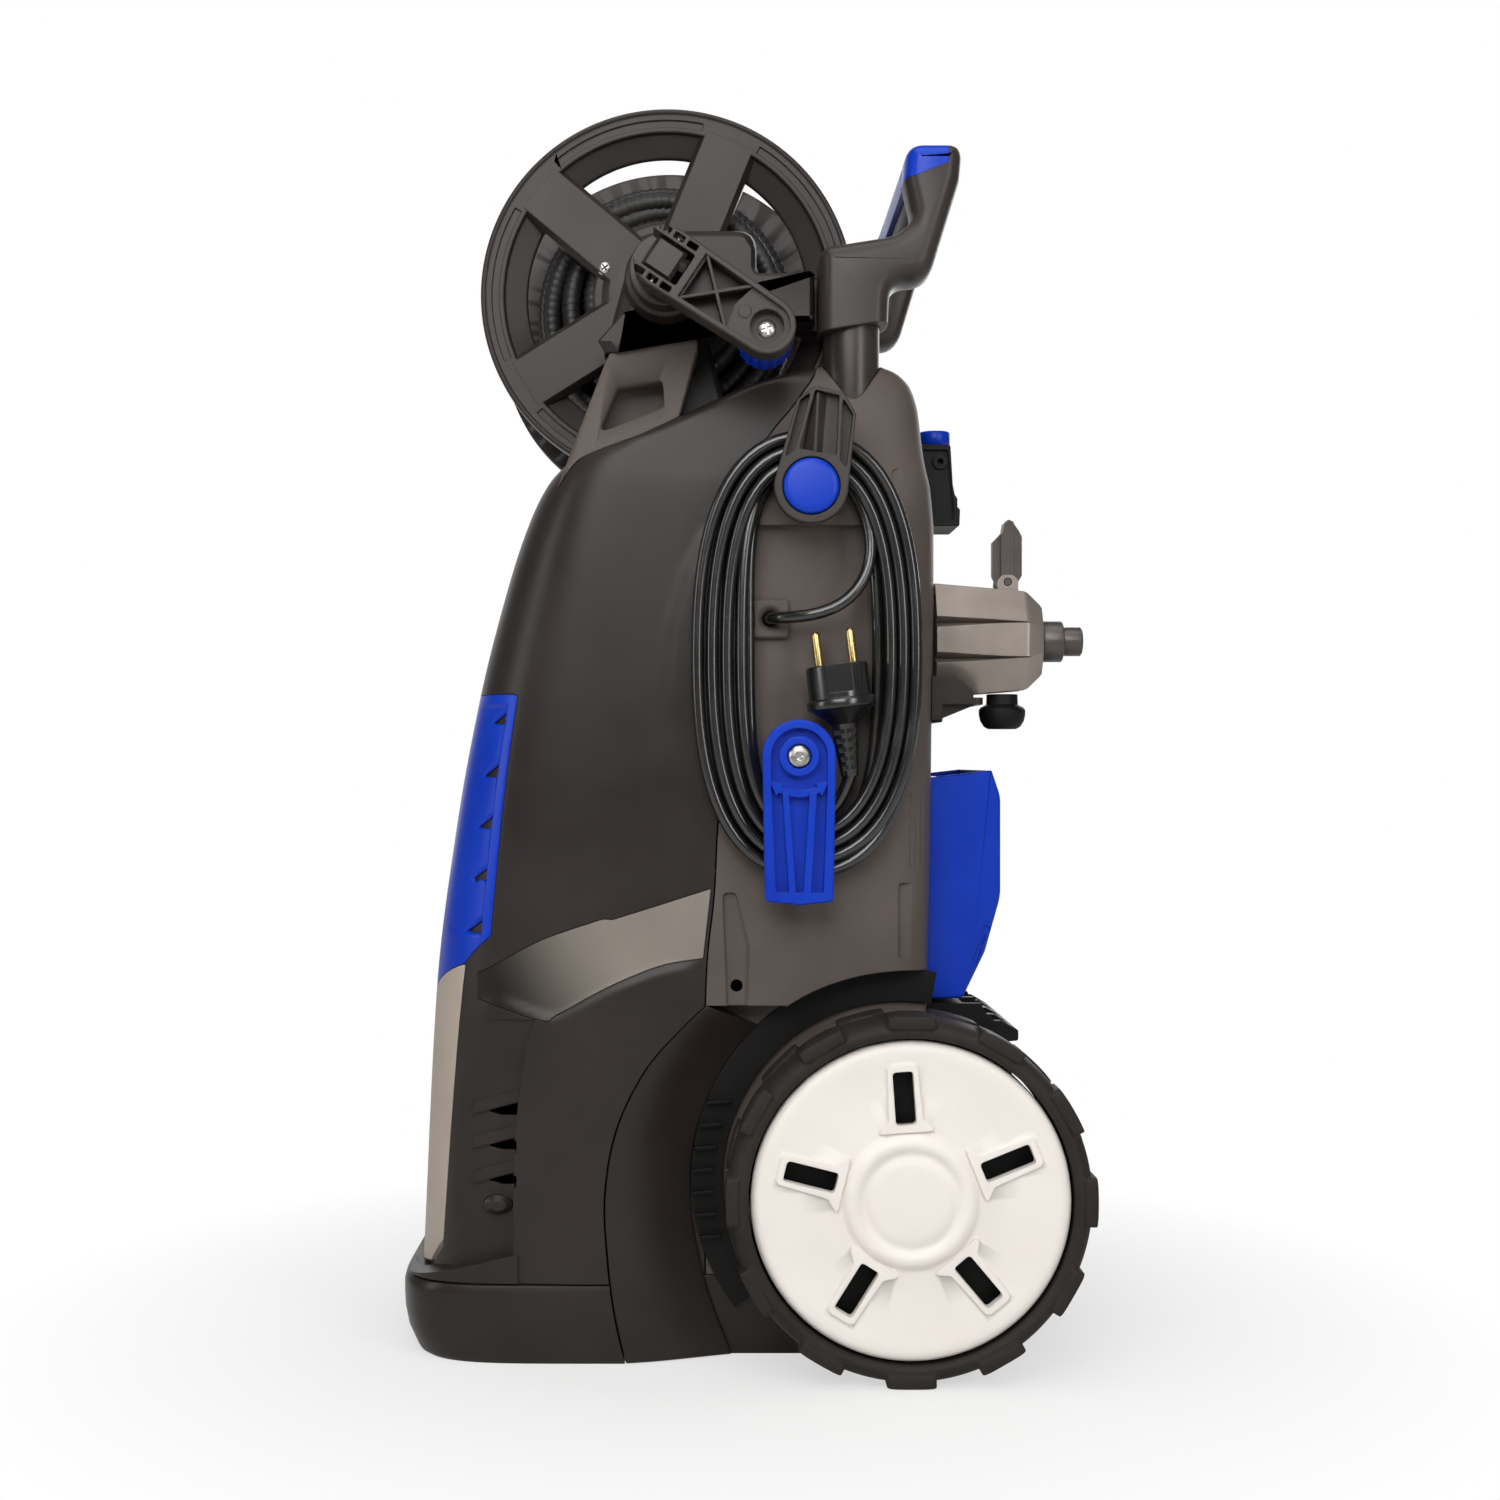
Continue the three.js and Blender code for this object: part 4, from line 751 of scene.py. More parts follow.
def station(z):
    """Front, half width and back of the housing at a height."""
    k = int(np.clip(np.searchsorted(HOUSING[:, 0], z) - 1, 0, len(HOUSING) - 2))
    low, high = HOUSING[k], HOUSING[k + 1]
    span = high[0] - low[0]
    t = min(max((z - low[0]) / span, 0.0), 1.0)
    answer = []
    for column, slopes in zip((1, 2, 3), SLOPES):
        p, q, m, n = low[column], high[column], slopes[k] * span, slopes[k + 1] * span
        answer.append(
            (2 * t ** 3 - 3 * t * t + 1) * p + (t ** 3 - 2 * t * t + t) * m
            + (-2 * t ** 3 + 3 * t * t) * q + (t ** 3 - t * t) * n
        )
    return answer


print("at 300 mm", [round(v) for v in station(300)])

# %% One ring of the plan
RING_POINTS = 264
TURN_STEPS = np.linspace(0, 2 * math.pi, 1441)


def plan_ring(front, half, back, nose=HOUSING_NOSE):
    """Even points of the plan, from the middle of the back round by the right side."""
    middle = max(WIDEST_X, front + 22)
    c, s = np.cos(TURN_STEPS), np.sin(TURN_STEPS)
    power = np.where(c < 0, 2 / nose, 2 / BACK_CORNERS)
    reach = np.where(c < 0, middle - front, back - middle)
    x = middle + np.sign(c) * reach * np.abs(c) ** power
    y = np.sign(s) * half * np.abs(s) ** power
    travelled = np.concatenate([[0], np.cumsum(np.hypot(np.diff(x), np.diff(y)))])
    stops = np.linspace(0, travelled[-1], RING_POINTS, endpoint=False)
    return np.interp(stops, travelled, x), np.interp(stops, travelled, y)


# %% The relief of the sides
CREASE = np.array([
    (8, 490), (1.8, 477.6), (-20.5, 463.7), (-32.3, 441.9), (-40.6, 414), (-46.2, 373.8), (-52.3, 325.8),
    (-56, 290), (-58, 240),
], dtype=float)
SWEEP_FOOT = np.array([
    (-150, 203), (-140, 207), (-108, 196), (-103.9, 197), (-75.3, 212), (-46.8, 223), (-23, 227), (10, 230),
], dtype=float)

# The back edge of the scoop, as height and X.
SCOOP_EDGE = np.array([(45, -129.6), (100, -129.2), (127, -128.4), (152, -125.8), (180, -121.6), (210, -110)])


def step_up(value, low, high):
    """Rises smoothly from 0 at low to 1 at high."""
    t = np.clip((value - low) / (high - low), 0, 1)
    return t * t * (3 - 2 * t)


def relief(x, z):
    """How far the side stands proud of the plain form."""
    edge = np.interp(z, CREASE[::-1, 1], CREASE[::-1, 0])
    fade = step_up(z, 268, 400) * (1 - step_up(z, 478, 492))
    proud = 2.0 * fade * step_up(x - edge, -5.5, 4.5)
    foot = np.interp(x, SWEEP_FOOT[:, 0], SWEEP_FOOT[:, 1])
    start = np.interp(z, SCOOP_EDGE[:, 0], SCOOP_EDGE[:, 1]) - 8 - 30 * step_up(z, 165, 195)
    swell = 2.2 * (1 - step_up(z - foot, -5, 1)) * step_up(x, start, start + 6) * (1 - step_up(x, -36, -20))
    return proud + swell


# %% Blanks
ROUGH_HEIGHTS = (120, 205, 300, 375, 430, 465, 492, 506, 520, 536)


def blank_rings(inset=0.0, low=45.0, high=561.0, fine=True, raised=True):
    """Rings of the housing's form, moved inwards by inset."""
    if fine:
        heights = np.concatenate([np.arange(low, 480, 3.0), np.arange(480, high, 1.25), [high]])
    else:
        heights = np.array([low, *[z for z in ROUGH_HEIGHTS if low < z < high], high])
    rings = []
    for z in heights:
        front, half, back = station(z)
        x, y = plan_ring(front + inset, half - inset, back - inset)
        if raised:
            y = y + np.sign(y) * relief(x, z) * step_up(np.abs(y), half - inset - 14, half - inset - 2)
        rings.append([(a, b, z) for a, b in zip(x, y)])
    return rings


WALL = 3.5
TRIM = 2.4  # how thick the bands and panels let into the skin are
GAP = 0.4  # between neighbouring pieces
BASE_TOP = 44.5
WELL_SIDE = 97.0
WELL_RADIUS = 119.0
CHANNEL_RADIUS, CHANNEL_SIDE = 113.0, 78.5
WHEEL_X, WHEEL_Z = 88.5, 100.0
REEL_X, REEL_Z = -44.0, 606.0
REEL_CENTRE = (REEL_X, REEL_Z)
WHEEL_CENTRE = (WHEEL_X, WHEEL_Z)
print("housing", HOUSING[-1][0] - HOUSING[0][0], "mm tall")


# %% Hollows that the housing is cut by
def both_sides(name, outline, near, far):
    """The same side outline cut into the left and the right."""
    left = prism(name, outline, "Y", -far, -near)
    return fuse(left, prism("right", outline, "Y", near, far))


def wheel_wells(grow=0.0):
    """The round rooms of the wheels."""
    near, radius = WELL_SIDE - grow, WELL_RADIUS + grow
    left = rod("wells", radius, -150, -near, "Y", WHEEL_CENTRE, 128)
    return fuse(left, rod("right", radius, near, 150, "Y", WHEEL_CENTRE, 128))


def reel_channel(grow=0.0):
    """The round hollow in the top that the reel turns in."""
    side = CHANNEL_SIDE + grow
    return rod("channel", CHANNEL_RADIUS + grow, -side, side, "Y", REEL_CENTRE, 144)


# %% The rooms of the arch panels
ARCH_FRONT = [(-22, 200), (-36, 187), (-56, 164), (-72, 131), (-78.5, 94), (-77, 58), (-73, 27), (-67, 0.6)]
ARCH_BACK = [(8, 187), (-9, 168), (-21, 145), (-28.5, 121), (-30.5, 98), (-29, 74), (-21, 38), (-7, 0.6)]


def smooth_line(points, count):
    """A smooth line through side-view points."""
    stops = smooth_route([Vector((a, b, 0)) for a, b in points], 24)
    chosen = np.linspace(0, len(stops) - 1, count).round().astype(int)
    return [(stops[k].x, stops[k].y) for k in chosen]


ARCH_FRONT_LINE = smooth_line(ARCH_FRONT, 40)
ARCH_BACK_LINE = smooth_line(ARCH_BACK, 40)


def arch_region(grow=0.0):
    """The room in front of each wheel that its arch panel fills."""
    front = [(x - grow, z) for x, z in ARCH_FRONT_LINE]
    top = ARCH_FRONT[0][1] + grow
    outline = [(front[0][0], top), *front, (front[-1][0], -5), (60, -5), (60, 190), (22, top)]
    return both_sides("arches", outline, WELL_SIDE - grow, 150)


print("arch lines", len(ARCH_FRONT_LINE), "and", len(ARCH_BACK_LINE), "points")

# %% Recess and seam
SEAM = smooth_line([
    (40, 575), (40, 556), (29, 538), (5, 500), (-3, 420), (-10, 350), (-15, 300), (-17, 262), (-22, 200),
    (-22, 30),
], 70)
RECESS_FLOOR = -112.5


def cord_recess(grow=0.0):
    """The flat recess in the left side, behind the hank."""
    outline = rounded([
        (1 - grow, 468 + grow), (1 - grow, 392), (8 - grow, 290 - grow), (76 + grow, 290 - grow),
        (80 + grow, 468 + grow),
    ], 7)
    return prism("recess", outline, "Y", -150, RECESS_FLOOR + grow)


def before_seam(shift):
    """Everything in front of the seam between the two shells."""
    outline = [(-260, 575), (-260, 30), *[(x + shift, z) for x, z in SEAM[::-1]]]
    return prism("before", outline, "Y", -150, 150)


def behind_seam(shift):
    """Everything behind the seam."""
    outline = [(160, 575), *[(x + shift, z) for x, z in SEAM], (160, 30)]
    return prism("behind", outline, "Y", -150, 150)


def housing_form(low, high):
    """The form with a gap all round, which cuts off what would stand inside."""
    return loft("form", blank_rings(-GAP, low, high, raised=False))


print("seam", len(SEAM), "points")

# %% The scoop at the foot of the nose
def plain_side(x, z):
    """Half the housing's width at a place on its nose or side."""
    front, half, _ = station(z)
    middle = max(WIDEST_X, front + 22)
    ahead = np.clip((middle - x) / (middle - front), 0, 1)
    return half * (1 - ahead ** HOUSING_NOSE) ** (1 / HOUSING_NOSE)


SCOOP_FRONT = -170.0
SCOOP_DEPTH = 7.5
SCOOP_START = 0.6  # the scoop's floor starts this far outside the skin


def scoop_floor(x, z):
    """Half the width of the machine at the floor of the scoop."""
    edge = float(np.interp(z, SCOOP_EDGE[:, 0], SCOOP_EDGE[:, 1]))
    sunk = (SCOOP_DEPTH + SCOOP_START) * step_up(x, SCOOP_FRONT, edge - 6) * (1 - step_up(z, 150, 192))
    return plain_side(x, z) + SCOOP_START - sunk


def scoops(grow=0.0):
    """The room of the scoop on both sides, or a larger one."""
    rings = []
    for z in np.linspace(44, 192 + grow, 46):
        edge = float(np.interp(z, SCOOP_EDGE[:, 0], SCOOP_EDGE[:, 1])) + grow
        along = np.linspace(SCOOP_FRONT - grow, edge, 30)
        floor = [(x, -(scoop_floor(x, z) - grow), z) for x in along]
        rings.append([*floor, (edge, -150, z), (SCOOP_FRONT - grow, -150, z)])
    left = loft("scoops", rings)
    return fuse(left, mirrored(left, "right"))


print("scoop edge", len(SCOOP_EDGE), "points")

# %% The hollow housing
housing = loft("housing", blank_rings())
cavity = loft("cavity", blank_rings(WALL, BASE_TOP + 4, 545, fine=False, raised=False))
cavity = carve(cavity, reel_channel(WALL), wheel_wells(WALL), arch_region(WALL), cord_recess(2), scoops(WALL))
skin_blank = twin(housing, "skin_blank")
skin_core = loft("skin_core", blank_rings(TRIM, 43, 561, raised=False))
pocket_blank = loft("pocket_blank", blank_rings(-4, 43, 561, fine=False, raised=False))
pocket_core = loft("pocket_core", blank_rings(TRIM + GAP, 43, 561, raised=False))
housing = carve(housing, reel_channel(), wheel_wells(), arch_region(), cord_recess(), cavity)
print("housing", faces(housing))


# %% [markdown]
# ## Bands and panels let into the skin
# A silver-grey band sweeps back along each side, a blue louvred panel covers the air inlet on the nose and a
# pale strip runs down below it. Each is cut from the skin itself, so it follows the housing, and sits in a
# pocket with a fine shadow gap round it.

# %% Skin pieces and their pockets
def skin(name, region):
    """The outer layer of the housing inside a region."""
    piece = carve(twin(skin_blank, name), region, how="INTERSECT")
    return carve(piece, skin_core, keep=[skin_core])


def pocket(region):
    """The room that a skin piece is let into."""
    room = carve(twin(pocket_blank, "pocket"), region, how="INTERSECT")
    return carve(room, pocket_core, keep=[pocket_core])


SWEEP_TOP = smooth_line([(-150, 217), (-140, 222), (-114, 236), (-84, 246.5), (-78, 248)], 24)
SWEEP_STEP = [(-74, 247.6), (-44, 257), (-19, 265)]
SWEEP_UNDER = smooth_line([
    (-23.3, 226.6), (-46.8, 222.5), (-75.3, 211), (-103.9, 195.5), (-114, 192), (-150, 203),
], 30)


def sweep(grow=0.0):
    """The band's outline, or a little larger for its pocket."""
    top = [(x, z + grow) for x, z in [*SWEEP_TOP, *SWEEP_STEP]]
    under = [(x, z - grow) for x, z in SWEEP_UNDER]
    top[-1] = (top[-1][0] + grow, top[-1][1])
    under[0] = (under[0][0] + grow, under[0][1])
    return [*top, *under]


def nose_region(corners, grow=0.0, radius=3.0):
    """A panel region seen from the front, mirrored about the middle."""
    outline = rounded([*corners, *[(-y, z) for y, z in corners[::-1]]], radius)
    return prism("nose", inset(outline, -grow), "X", -230, -90)


PANEL = [(62, 205), (101, 222), (110, 238), (108.5, 374)]
STRIP = [(60, 46), (84, 50), (95, 64), (101.5, 221.5), (62, 204.3)]
STRIP_POCKET = [(60, 40), (84, 44), (95, 60), (101.5, 221.5), (62, 204.3)]
print("panel", PANEL[-1][1] - PANEL[0][1], "mm tall")

# %% The louvred panel
PANEL_RIM = 5.2
LOUVRES = 5
LOUVRE_PITCH = 29.4
LOWEST_LOUVRE = 239.6
LOUVRE_REACH = 17.0
LOUVRE_HEIGHT = 10.5
LOUVRE_DEPTH = 6.5
FIELD_DEPTH = 1.5


def pressed(inwards, z):
    """How deep the panel's face lies at a distance in from its side edge."""
    field = step_up(inwards, PANEL_RIM, PANEL_RIM + 1.4) * (1 - step_up(inwards, 14, 44))
    depth = FIELD_DEPTH * field * step_up(z, 237.5, 240.5) * (1 - step_up(z, 366, 369))
    share = np.clip(1 - (inwards - PANEL_RIM - 0.4) / LOUVRE_REACH, 0, 1) * (inwards > PANEL_RIM + 0.4)
    for k in range(LOUVRES):
        height = np.maximum(LOUVRE_HEIGHT * share, 0.01)
        fallen = (LOWEST_LOUVRE + LOUVRE_PITCH * k + height - z) / height
        sunk = LOUVRE_DEPTH * share * np.abs(fallen) ** 1.3
        depth = depth + np.where((fallen > 0) & (fallen < 1), sunk, 0)
    return depth


INWARDS = np.concatenate([
    [-6, -3, 0], np.arange(0.8, 5, 0.8), np.arange(5, 7.2, 0.3), np.arange(7.5, 24, 0.9),
])


def panel_ring(z):
    """The nose at a height, pressed in, its points in line with the panel's edge."""
    front, half, _ = station(z)
    middle = max(WIDEST_X, front + 22)
    t = np.linspace(0, math.pi / 2, 900)
    x = middle - (middle - front) * np.cos(t) ** (2 / HOUSING_NOSE)
    y = half * np.sin(t) ** (2 / HOUSING_NOSE)
    travelled = np.concatenate([[0], np.cumsum(np.hypot(np.diff(x), np.diff(y)))])
    edge = np.interp(np.interp(z, (205, 222, 238, 374), (62, 101, 110, 108.5)), y, travelled)
    reach = np.interp(110, y, travelled)
    inwards = np.concatenate([INWARDS, np.linspace(24.5, reach, 20)])
    stops = reach - inwards
    px, py = np.interp(stops, travelled, x), np.interp(stops, travelled, y)
    run_x, run_y = np.gradient(px), np.gradient(py)
    length = np.hypot(run_x, run_y)
    depth = pressed(inwards - (reach - edge), z)
    px, py = px - run_y / length * depth, py + run_x / length * depth
    half_ring = [(a, b, z) for a, b in zip(px, py)]
    return [(-80, 116, z), *half_ring, *[(a, -b, z) for a, b, _ in half_ring[-2::-1]], (-80, -116, z)]


print(len(panel_ring(300)), "points in one ring of the panel")

# %% Make the bands and panels
side_trim = skin("left_side_trim_skin", prism("band", sweep(), "Y", -150, -90))
right_side_trim = mirrored(side_trim, "right_side_trim_skin")
grille = loft("front_grille_skin", [panel_ring(z) for z in np.arange(203, 377, 1.0)])
grille = carve(carve(grille, nose_region(PANEL, radius=2.5), how="INTERSECT"), skin_core, keep=[skin_core])
strip = skin("front_trim_skin", nose_region(STRIP, radius=1.0))
trim_pockets = [
    pocket(both_sides("band", sweep(GAP), 90, 150)),
    pocket(nose_region(PANEL, GAP, 2.5)), pocket(nose_region(STRIP_POCKET, GAP, 1.0)),
]
print("trims", *[faces(p) for p in (side_trim, grille, strip)])

# %% [markdown]
# ## Openings and ledges of the shells
# A scoop runs in at the foot of the nose, with three rising air slats over dark openings, and a round boss
# below them. In front, a ledge steps out to the bumper. Each is a small solid joined to the shell or cut out
# of it, because a cut keeps a crisp edge on a curved skin.

# %% Ledge and air slats
SLATS = 3
SLAT_PITCH = 19.5
LOWEST_SLAT = 98.6
SLAT_FRONT, SLAT_BACK = -153.0, -126.6
SLAT_PROUD = 2.1
SLAT_HEIGHT = 6.6
bumper = loft("bumper", [
    [(x, y, z) for x, y in zip(*plan_ring(-195, 120.4, 100, TRAY_NOSE))] for z in (45, 64)
])
ledge = prism("ledge", [(-200, 40), (-200, 43), (-126.5, 61.3), (-126.5, 40)], "Y", -150, 150)
bumper = carve(bumper, ledge, how="INTERSECT")


def slat(lowest):
    """A slat across the scoop: its two long edges rise towards the back."""
    levels = []
    for x in np.linspace(SLAT_FRONT, SLAT_BACK, 8):
        rise = (x - SLAT_FRONT) * 0.29
        out, base = scoop_floor(x, lowest) + SLAT_PROUD, scoop_floor(x, lowest) - 3
        low, high = lowest + rise, lowest + rise + SLAT_HEIGHT
        levels.append((x, [(-base, low), (-out, low), (-out + 0.8, high), (-base, high)]))
    return stepped("slat", "X", levels)


def opening(lowest):
    """The air opening below a slat."""
    return prism("opening", rounded([
        (-145, lowest + 1.6), (-127.4, lowest + 6.6), (-127.4, lowest - 0.4), (-137, lowest - 0.6),
    ], 0.8), "Y", -130, -90)


# %% Shell cuts
SWITCH_CENTRE = (0, 428)
front_shell = carve(twin(housing, "front_shell_skin"), before_seam(-GAP), how="INTERSECT")
front_shell = carve(front_shell, scoops())
for lowest in [LOWEST_SLAT + SLAT_PITCH * k for k in range(SLATS)]:
    for make, how in ((slat, "UNION"), (opening, "DIFFERENCE")):
        tool = make(lowest)
        front_shell = carve(front_shell, tool, mirrored(tool, "right"), how=how)
boss = turned("boss", [(0, -112.5), (3, -112), (5.4, -109.5), (6, -104), (0, -104)], "Y", (0, 0), 48)
boss.data.transform(Matrix.Translation((-138.5 * MM, 0, 87 * MM)) @ Matrix.Diagonal((1.5, 1, 1, 1)))
front_shell = fuse(front_shell, mirrored(boss, "right"), boss, bumper)
front_shell = carve(front_shell, *trim_pockets)
rear_shell = carve(housing, behind_seam(GAP), how="INTERSECT")
rear_shell.name = "rear_shell_skin"
dish = rod("dish", 22, -160, -127, "X", SWITCH_CENTRE, 64)
shaft_hole = rod("hole", 4.4, -130, -110, "X", SWITCH_CENTRE, 32)
front_shell = carve(front_shell, dish, shaft_hole)
print("front shell", faces(front_shell))

# %% Rear shell bores
HANDLE_X, HANDLE_Y = 61, 94
GLAND_CENTRE = (14, 416)
LOWER_CENTRE = (29, 339)  # the lower cord hook's screw
tools = [rod("tube", 16.8, 470, 600, "Z", (HANDLE_X, side * HANDLE_Y), 64) for side in (-1, 1)]
tools.append(rod("axle", 8.5, -150, 150, "Y", WHEEL_CENTRE, 48))
tools.append(rod("gland", 5.8, -125, -105, "Y", GLAND_CENTRE, 32))
tools.append(rod("screw", 3, -125, -105, "Y", LOWER_CENTRE, 24))
wedge = prism("wedge", rounded([
    (-12.4, 263), (-5, 263), (2.6, 232), (1.6, 200), (-5.6, 171), (-9.4, 181),
], 3), "Y", -130, -116.9)
tools += [wedge, mirrored(wedge, "right"), rod("seat", 3.4, -120, -112, "Y", (-4.6, 211), 32)]
tools.append(rod("seat", 3.4, -120, -112, "Y", (85.6, 497), 32))
rear_shell = carve(rear_shell, *tools)
print("rear shell", faces(rear_shell))

# %% [markdown]
# ### Flutes and a pocket at the back corners
# Three thin upright flutes and a small bevelled pocket sit low on each back corner. The skin leans there, so
# a ray is cast onto it at both ends of a flute, and the cutter is a thin loft between the two spots that it
# hits. That keeps the flute equally deep. The pocket gets a block behind it, so it can't break through the
# wall.

# %% Corner flutes and pocket
FLUTE_RADIUS = 0.8
FLUTE_PROUD = 0.25  # how far the middle of a flute lies outside the skin
for side in (-1, 1):
    backing = prism("backing", box_outline(84, 104, 224, 272, 1), "Y", *sorted((side * 116, side * 104)))
    backing = carve(backing, loft("form", blank_rings(0.8, 200, 300)), how="INTERSECT")
    hollow = prism("hollow", rounded([
        (86, 226, 1.5), (108, 226, 1.5), (108, 258, 1.5), (97, 268, 1.5), (86, 268, 1.5),
    ]), "Y", *sorted((side * 130, side * 111.5)))
    rear_shell = carve(fuse(rear_shell, backing), hollow)
    flutes = []
    for x in (93.4, 97.0, 100.4):
        ends = []
        for z in (277.0, 318.0):
            _, spot, _, _ = rear_shell.ray_cast(Vector((x, side * 200, z)) * MM, Vector((0, -side, 0)))
            y = spot.y / MM + side * FLUTE_PROUD
            turns = [2 * math.pi * k / 12 for k in range(12)]
            ends.append([(x + FLUTE_RADIUS * math.cos(t), y + FLUTE_RADIUS * math.sin(t), z) for t in turns])
        flutes.append(loft("flute", ends))
    rear_shell = carve(rear_shell, *flutes)
for leftover in (skin_blank, skin_core, pocket_blank, pocket_core):
    bpy.data.objects.remove(leftover)
print("rear shell with flutes", faces(rear_shell))

# %% Finish the shells
for shell in (front_shell, rear_shell, side_trim, right_side_trim, grille, strip):
    smoothed(shell, 22)
dress(front_shell, SATIN_BLACK, "machine", "front_shell")
dress(rear_shell, GRAINED_BLACK, "machine", "rear_shell")
dress(side_trim, GREY_WITH_PAINTED_SHADE, "machine", "left_side_trim")
dress(right_side_trim, GREY_WITH_PAINTED_SHADE, "machine", "right_side_trim")
dress(grille, BLUE_ABS, "machine", "front_grille")
dress(strip, PALE_ABS, "machine", "front_trim")
print("shells", faces(front_shell), faces(rear_shell))

# %% [markdown]
# ### Comb ribs in the wheel wells
# Behind each tyre a dark plate closes the mouth of the well, and a comb of thin slanting ribs stands on it
# in front of the wheel. Above the ribs the plate is a sheet of painted shade: it reaches up to the top of
# the well, where the well's wall lies deep in shadow. The plate is a ring sector pushed sideways, and the
# ribs are plain bars cut back to a narrower sector.

# %% Comb plate and ribs
RIBS = 7
RIB_PITCH = 12.6
LOWEST_RIB = 66
# The plate spans 80 to 218 degrees. Its part above the ribs is a dark sheet of painted shade over the well's
# wall.
mouth = [*arc(WHEEL_CENTRE, 118.6, 80, 218, 48), *arc(WHEEL_CENTRE, 100.4, 218, 80, 48)]
comb_and_shade_plate = prism("left_well_comb", mouth, "Y", -100.4, -97.2)
bars = [
    prism("bar", rounded([
        (-34, low), (-6, low + 2.4), (-6, low + 4.2), (-34, low + 1.8),
    ], 0.4), "Y", -106, -99)
    for low in [LOWEST_RIB + RIB_PITCH * k for k in range(RIBS)]
]
sector = [*arc(WHEEL_CENTRE, 118.2, 148, 212, 24), *arc(WHEEL_CENTRE, 106, 212, 148, 24)]
bars = carve(fuse(*bars), prism("sector", sector, "Y", -108, -98), how="INTERSECT")
comb_and_shade_plate = soften(fuse(comb_and_shade_plate, bars), 0.3, 2, 32)
dress(comb_and_shade_plate, DEEP_BLACK, "machine")
dress(mirrored(comb_and_shade_plate, "right_well_comb"), DEEP_BLACK, "machine")
print("comb_and_shade_plate", faces(comb_and_shade_plate))

# %% [markdown]
# ## Arch panels and base tray
# A smooth chamfer leads from the side of the housing into each wheel well. A loft between its two edges
# gives it one continuous curve. The base tray is a second loft whose nose swells into a bumper.

# %% Arch panels
HALF_WIDTH = 119.0
rows = []
for (fx, fz), (bx, bz) in zip(ARCH_FRONT_LINE, ARCH_BACK_LINE):
    outer = []
    for t in np.linspace(0, 1, 9):
        bulge = 2.6 * math.sin(math.pi * t)
        outer.append((
            (fx + 0.7) * (1 - t) + bx * t,
            (-HALF_WIDTH - 1.2) * (1 - t) + (-WELL_SIDE - 4) * t - bulge * (1 - t),
            fz * (1 - t) + bz * t,
        ))
    rows.append([*outer, (bx, -WELL_SIDE - 0.2, bz), (fx + 0.7, -WELL_SIDE - 0.2, fz)])
left_arch = soften(loft("left_arch_skin", rows), 0.8, angle=40)
dress(left_arch, SATIN_BLACK, "machine", "left_arch_panel")
right_arch = mirrored(left_arch, "right_arch_skin")
dress(right_arch, SATIN_BLACK, "machine", "right_arch_panel")
print("arch", faces(left_arch))

# %% Base tray
TRAY = [
    (0, -186, 118), (1.5, -188.6, 119.2), (4, -190, 120), (14, -194.6, 120.8), (24, -196.6, 121),
    (32, -197, 121), (38, -197, 121), (41.5, -196, 120.6), (43.6, -194.4, 120), (44.5, -191, 118.6),
]
tray = loft("tray", [
    [(x, y, z) for x, y in zip(*plan_ring(front, half, 100, TRAY_NOSE))] for z, front, half in TRAY
])
well = loft("well", [[(x, y, z) for x, y in zip(*plan_ring(-178, 112, 94))] for z in (5, 47)])
well = carve(well, wheel_wells(WALL), arch_region(WALL))
tray = carve(tray, wheel_wells(), arch_region(), well)
for x in (-60, 20):
    fuse(tray, prism("rib", box_outline(-91, 91, 4.5, 34), "X", x, x + 4))
soften(tray, 0, angle=30)
dress(tray, SATIN_BLACK, "machine", "base_tray")
print("tray", faces(tray))

# %% [markdown]
# ## Repeats with Geometry Nodes
# Tyre lugs, knob flutes, cap slots, spokes and hose ribs are one small shape set round an axis or along a
# path. Two node trees do that. Each ends in real, painted mesh, a plain solid that can be joined to its
# piece or ride on its own.


# %% A ring of copies
def ring_tree():
    """Copies of an object turned about an axis through a centre."""
    tree = bpy.data.node_groups.new("ring_of_copies", "GeometryNodeTree")
    face = tree.interface
    face.new_socket("Geometry", in_out="OUTPUT", socket_type="NodeSocketGeometry")
    for title, kind in (
        ("Shape", "NodeSocketObject"), ("Count", "NodeSocketInt"), ("Centre", "NodeSocketVector"),
        ("Turn", "NodeSocketVector"), ("First", "NodeSocketVector"), ("Finish", "NodeSocketMaterial"),
    ):
        face.new_socket(title, in_out="INPUT", socket_type=kind)
    given = node(tree, "NodeGroupInput").outputs
    shape = node(tree, "GeometryNodeObjectInfo", {"Object": given["Shape"]})
    marks = node(tree, "GeometryNodePoints", {"Count": given["Count"]})
    which = node(tree, "GeometryNodeInputIndex")
    share = node(tree, "ShaderNodeMath", {0: which.outputs[0], 1: given["Count"]}, operation="DIVIDE")
    turn = node(
        tree, "ShaderNodeVectorMath", {0: given["Turn"], "Scale": share.outputs[0]}, operation="SCALE",
    )
    angle = node(tree, "ShaderNodeVectorMath", {0: turn.outputs[0], 1: given["First"]}, operation="ADD")
    put = node(tree, "GeometryNodeSetPosition", {"Geometry": marks.outputs[0], "Position": given["Centre"]})
    copies = node(
        tree, "GeometryNodeInstanceOnPoints",
        {"Points": put.outputs[0], "Instance": shape.outputs["Geometry"], "Rotation": angle.outputs[0]},
    )
    real = node(tree, "GeometryNodeRealizeInstances", {"Geometry": copies.outputs[0]})
    painted = node(
        tree, "GeometryNodeSetMaterial", {"Geometry": real.outputs[0], "Material": given["Finish"]},
    )
    node(tree, "NodeGroupOutput", {"Geometry": painted.outputs[0]})
    return tree


RING = ring_tree()
print(RING.name, len(RING.nodes), "nodes")


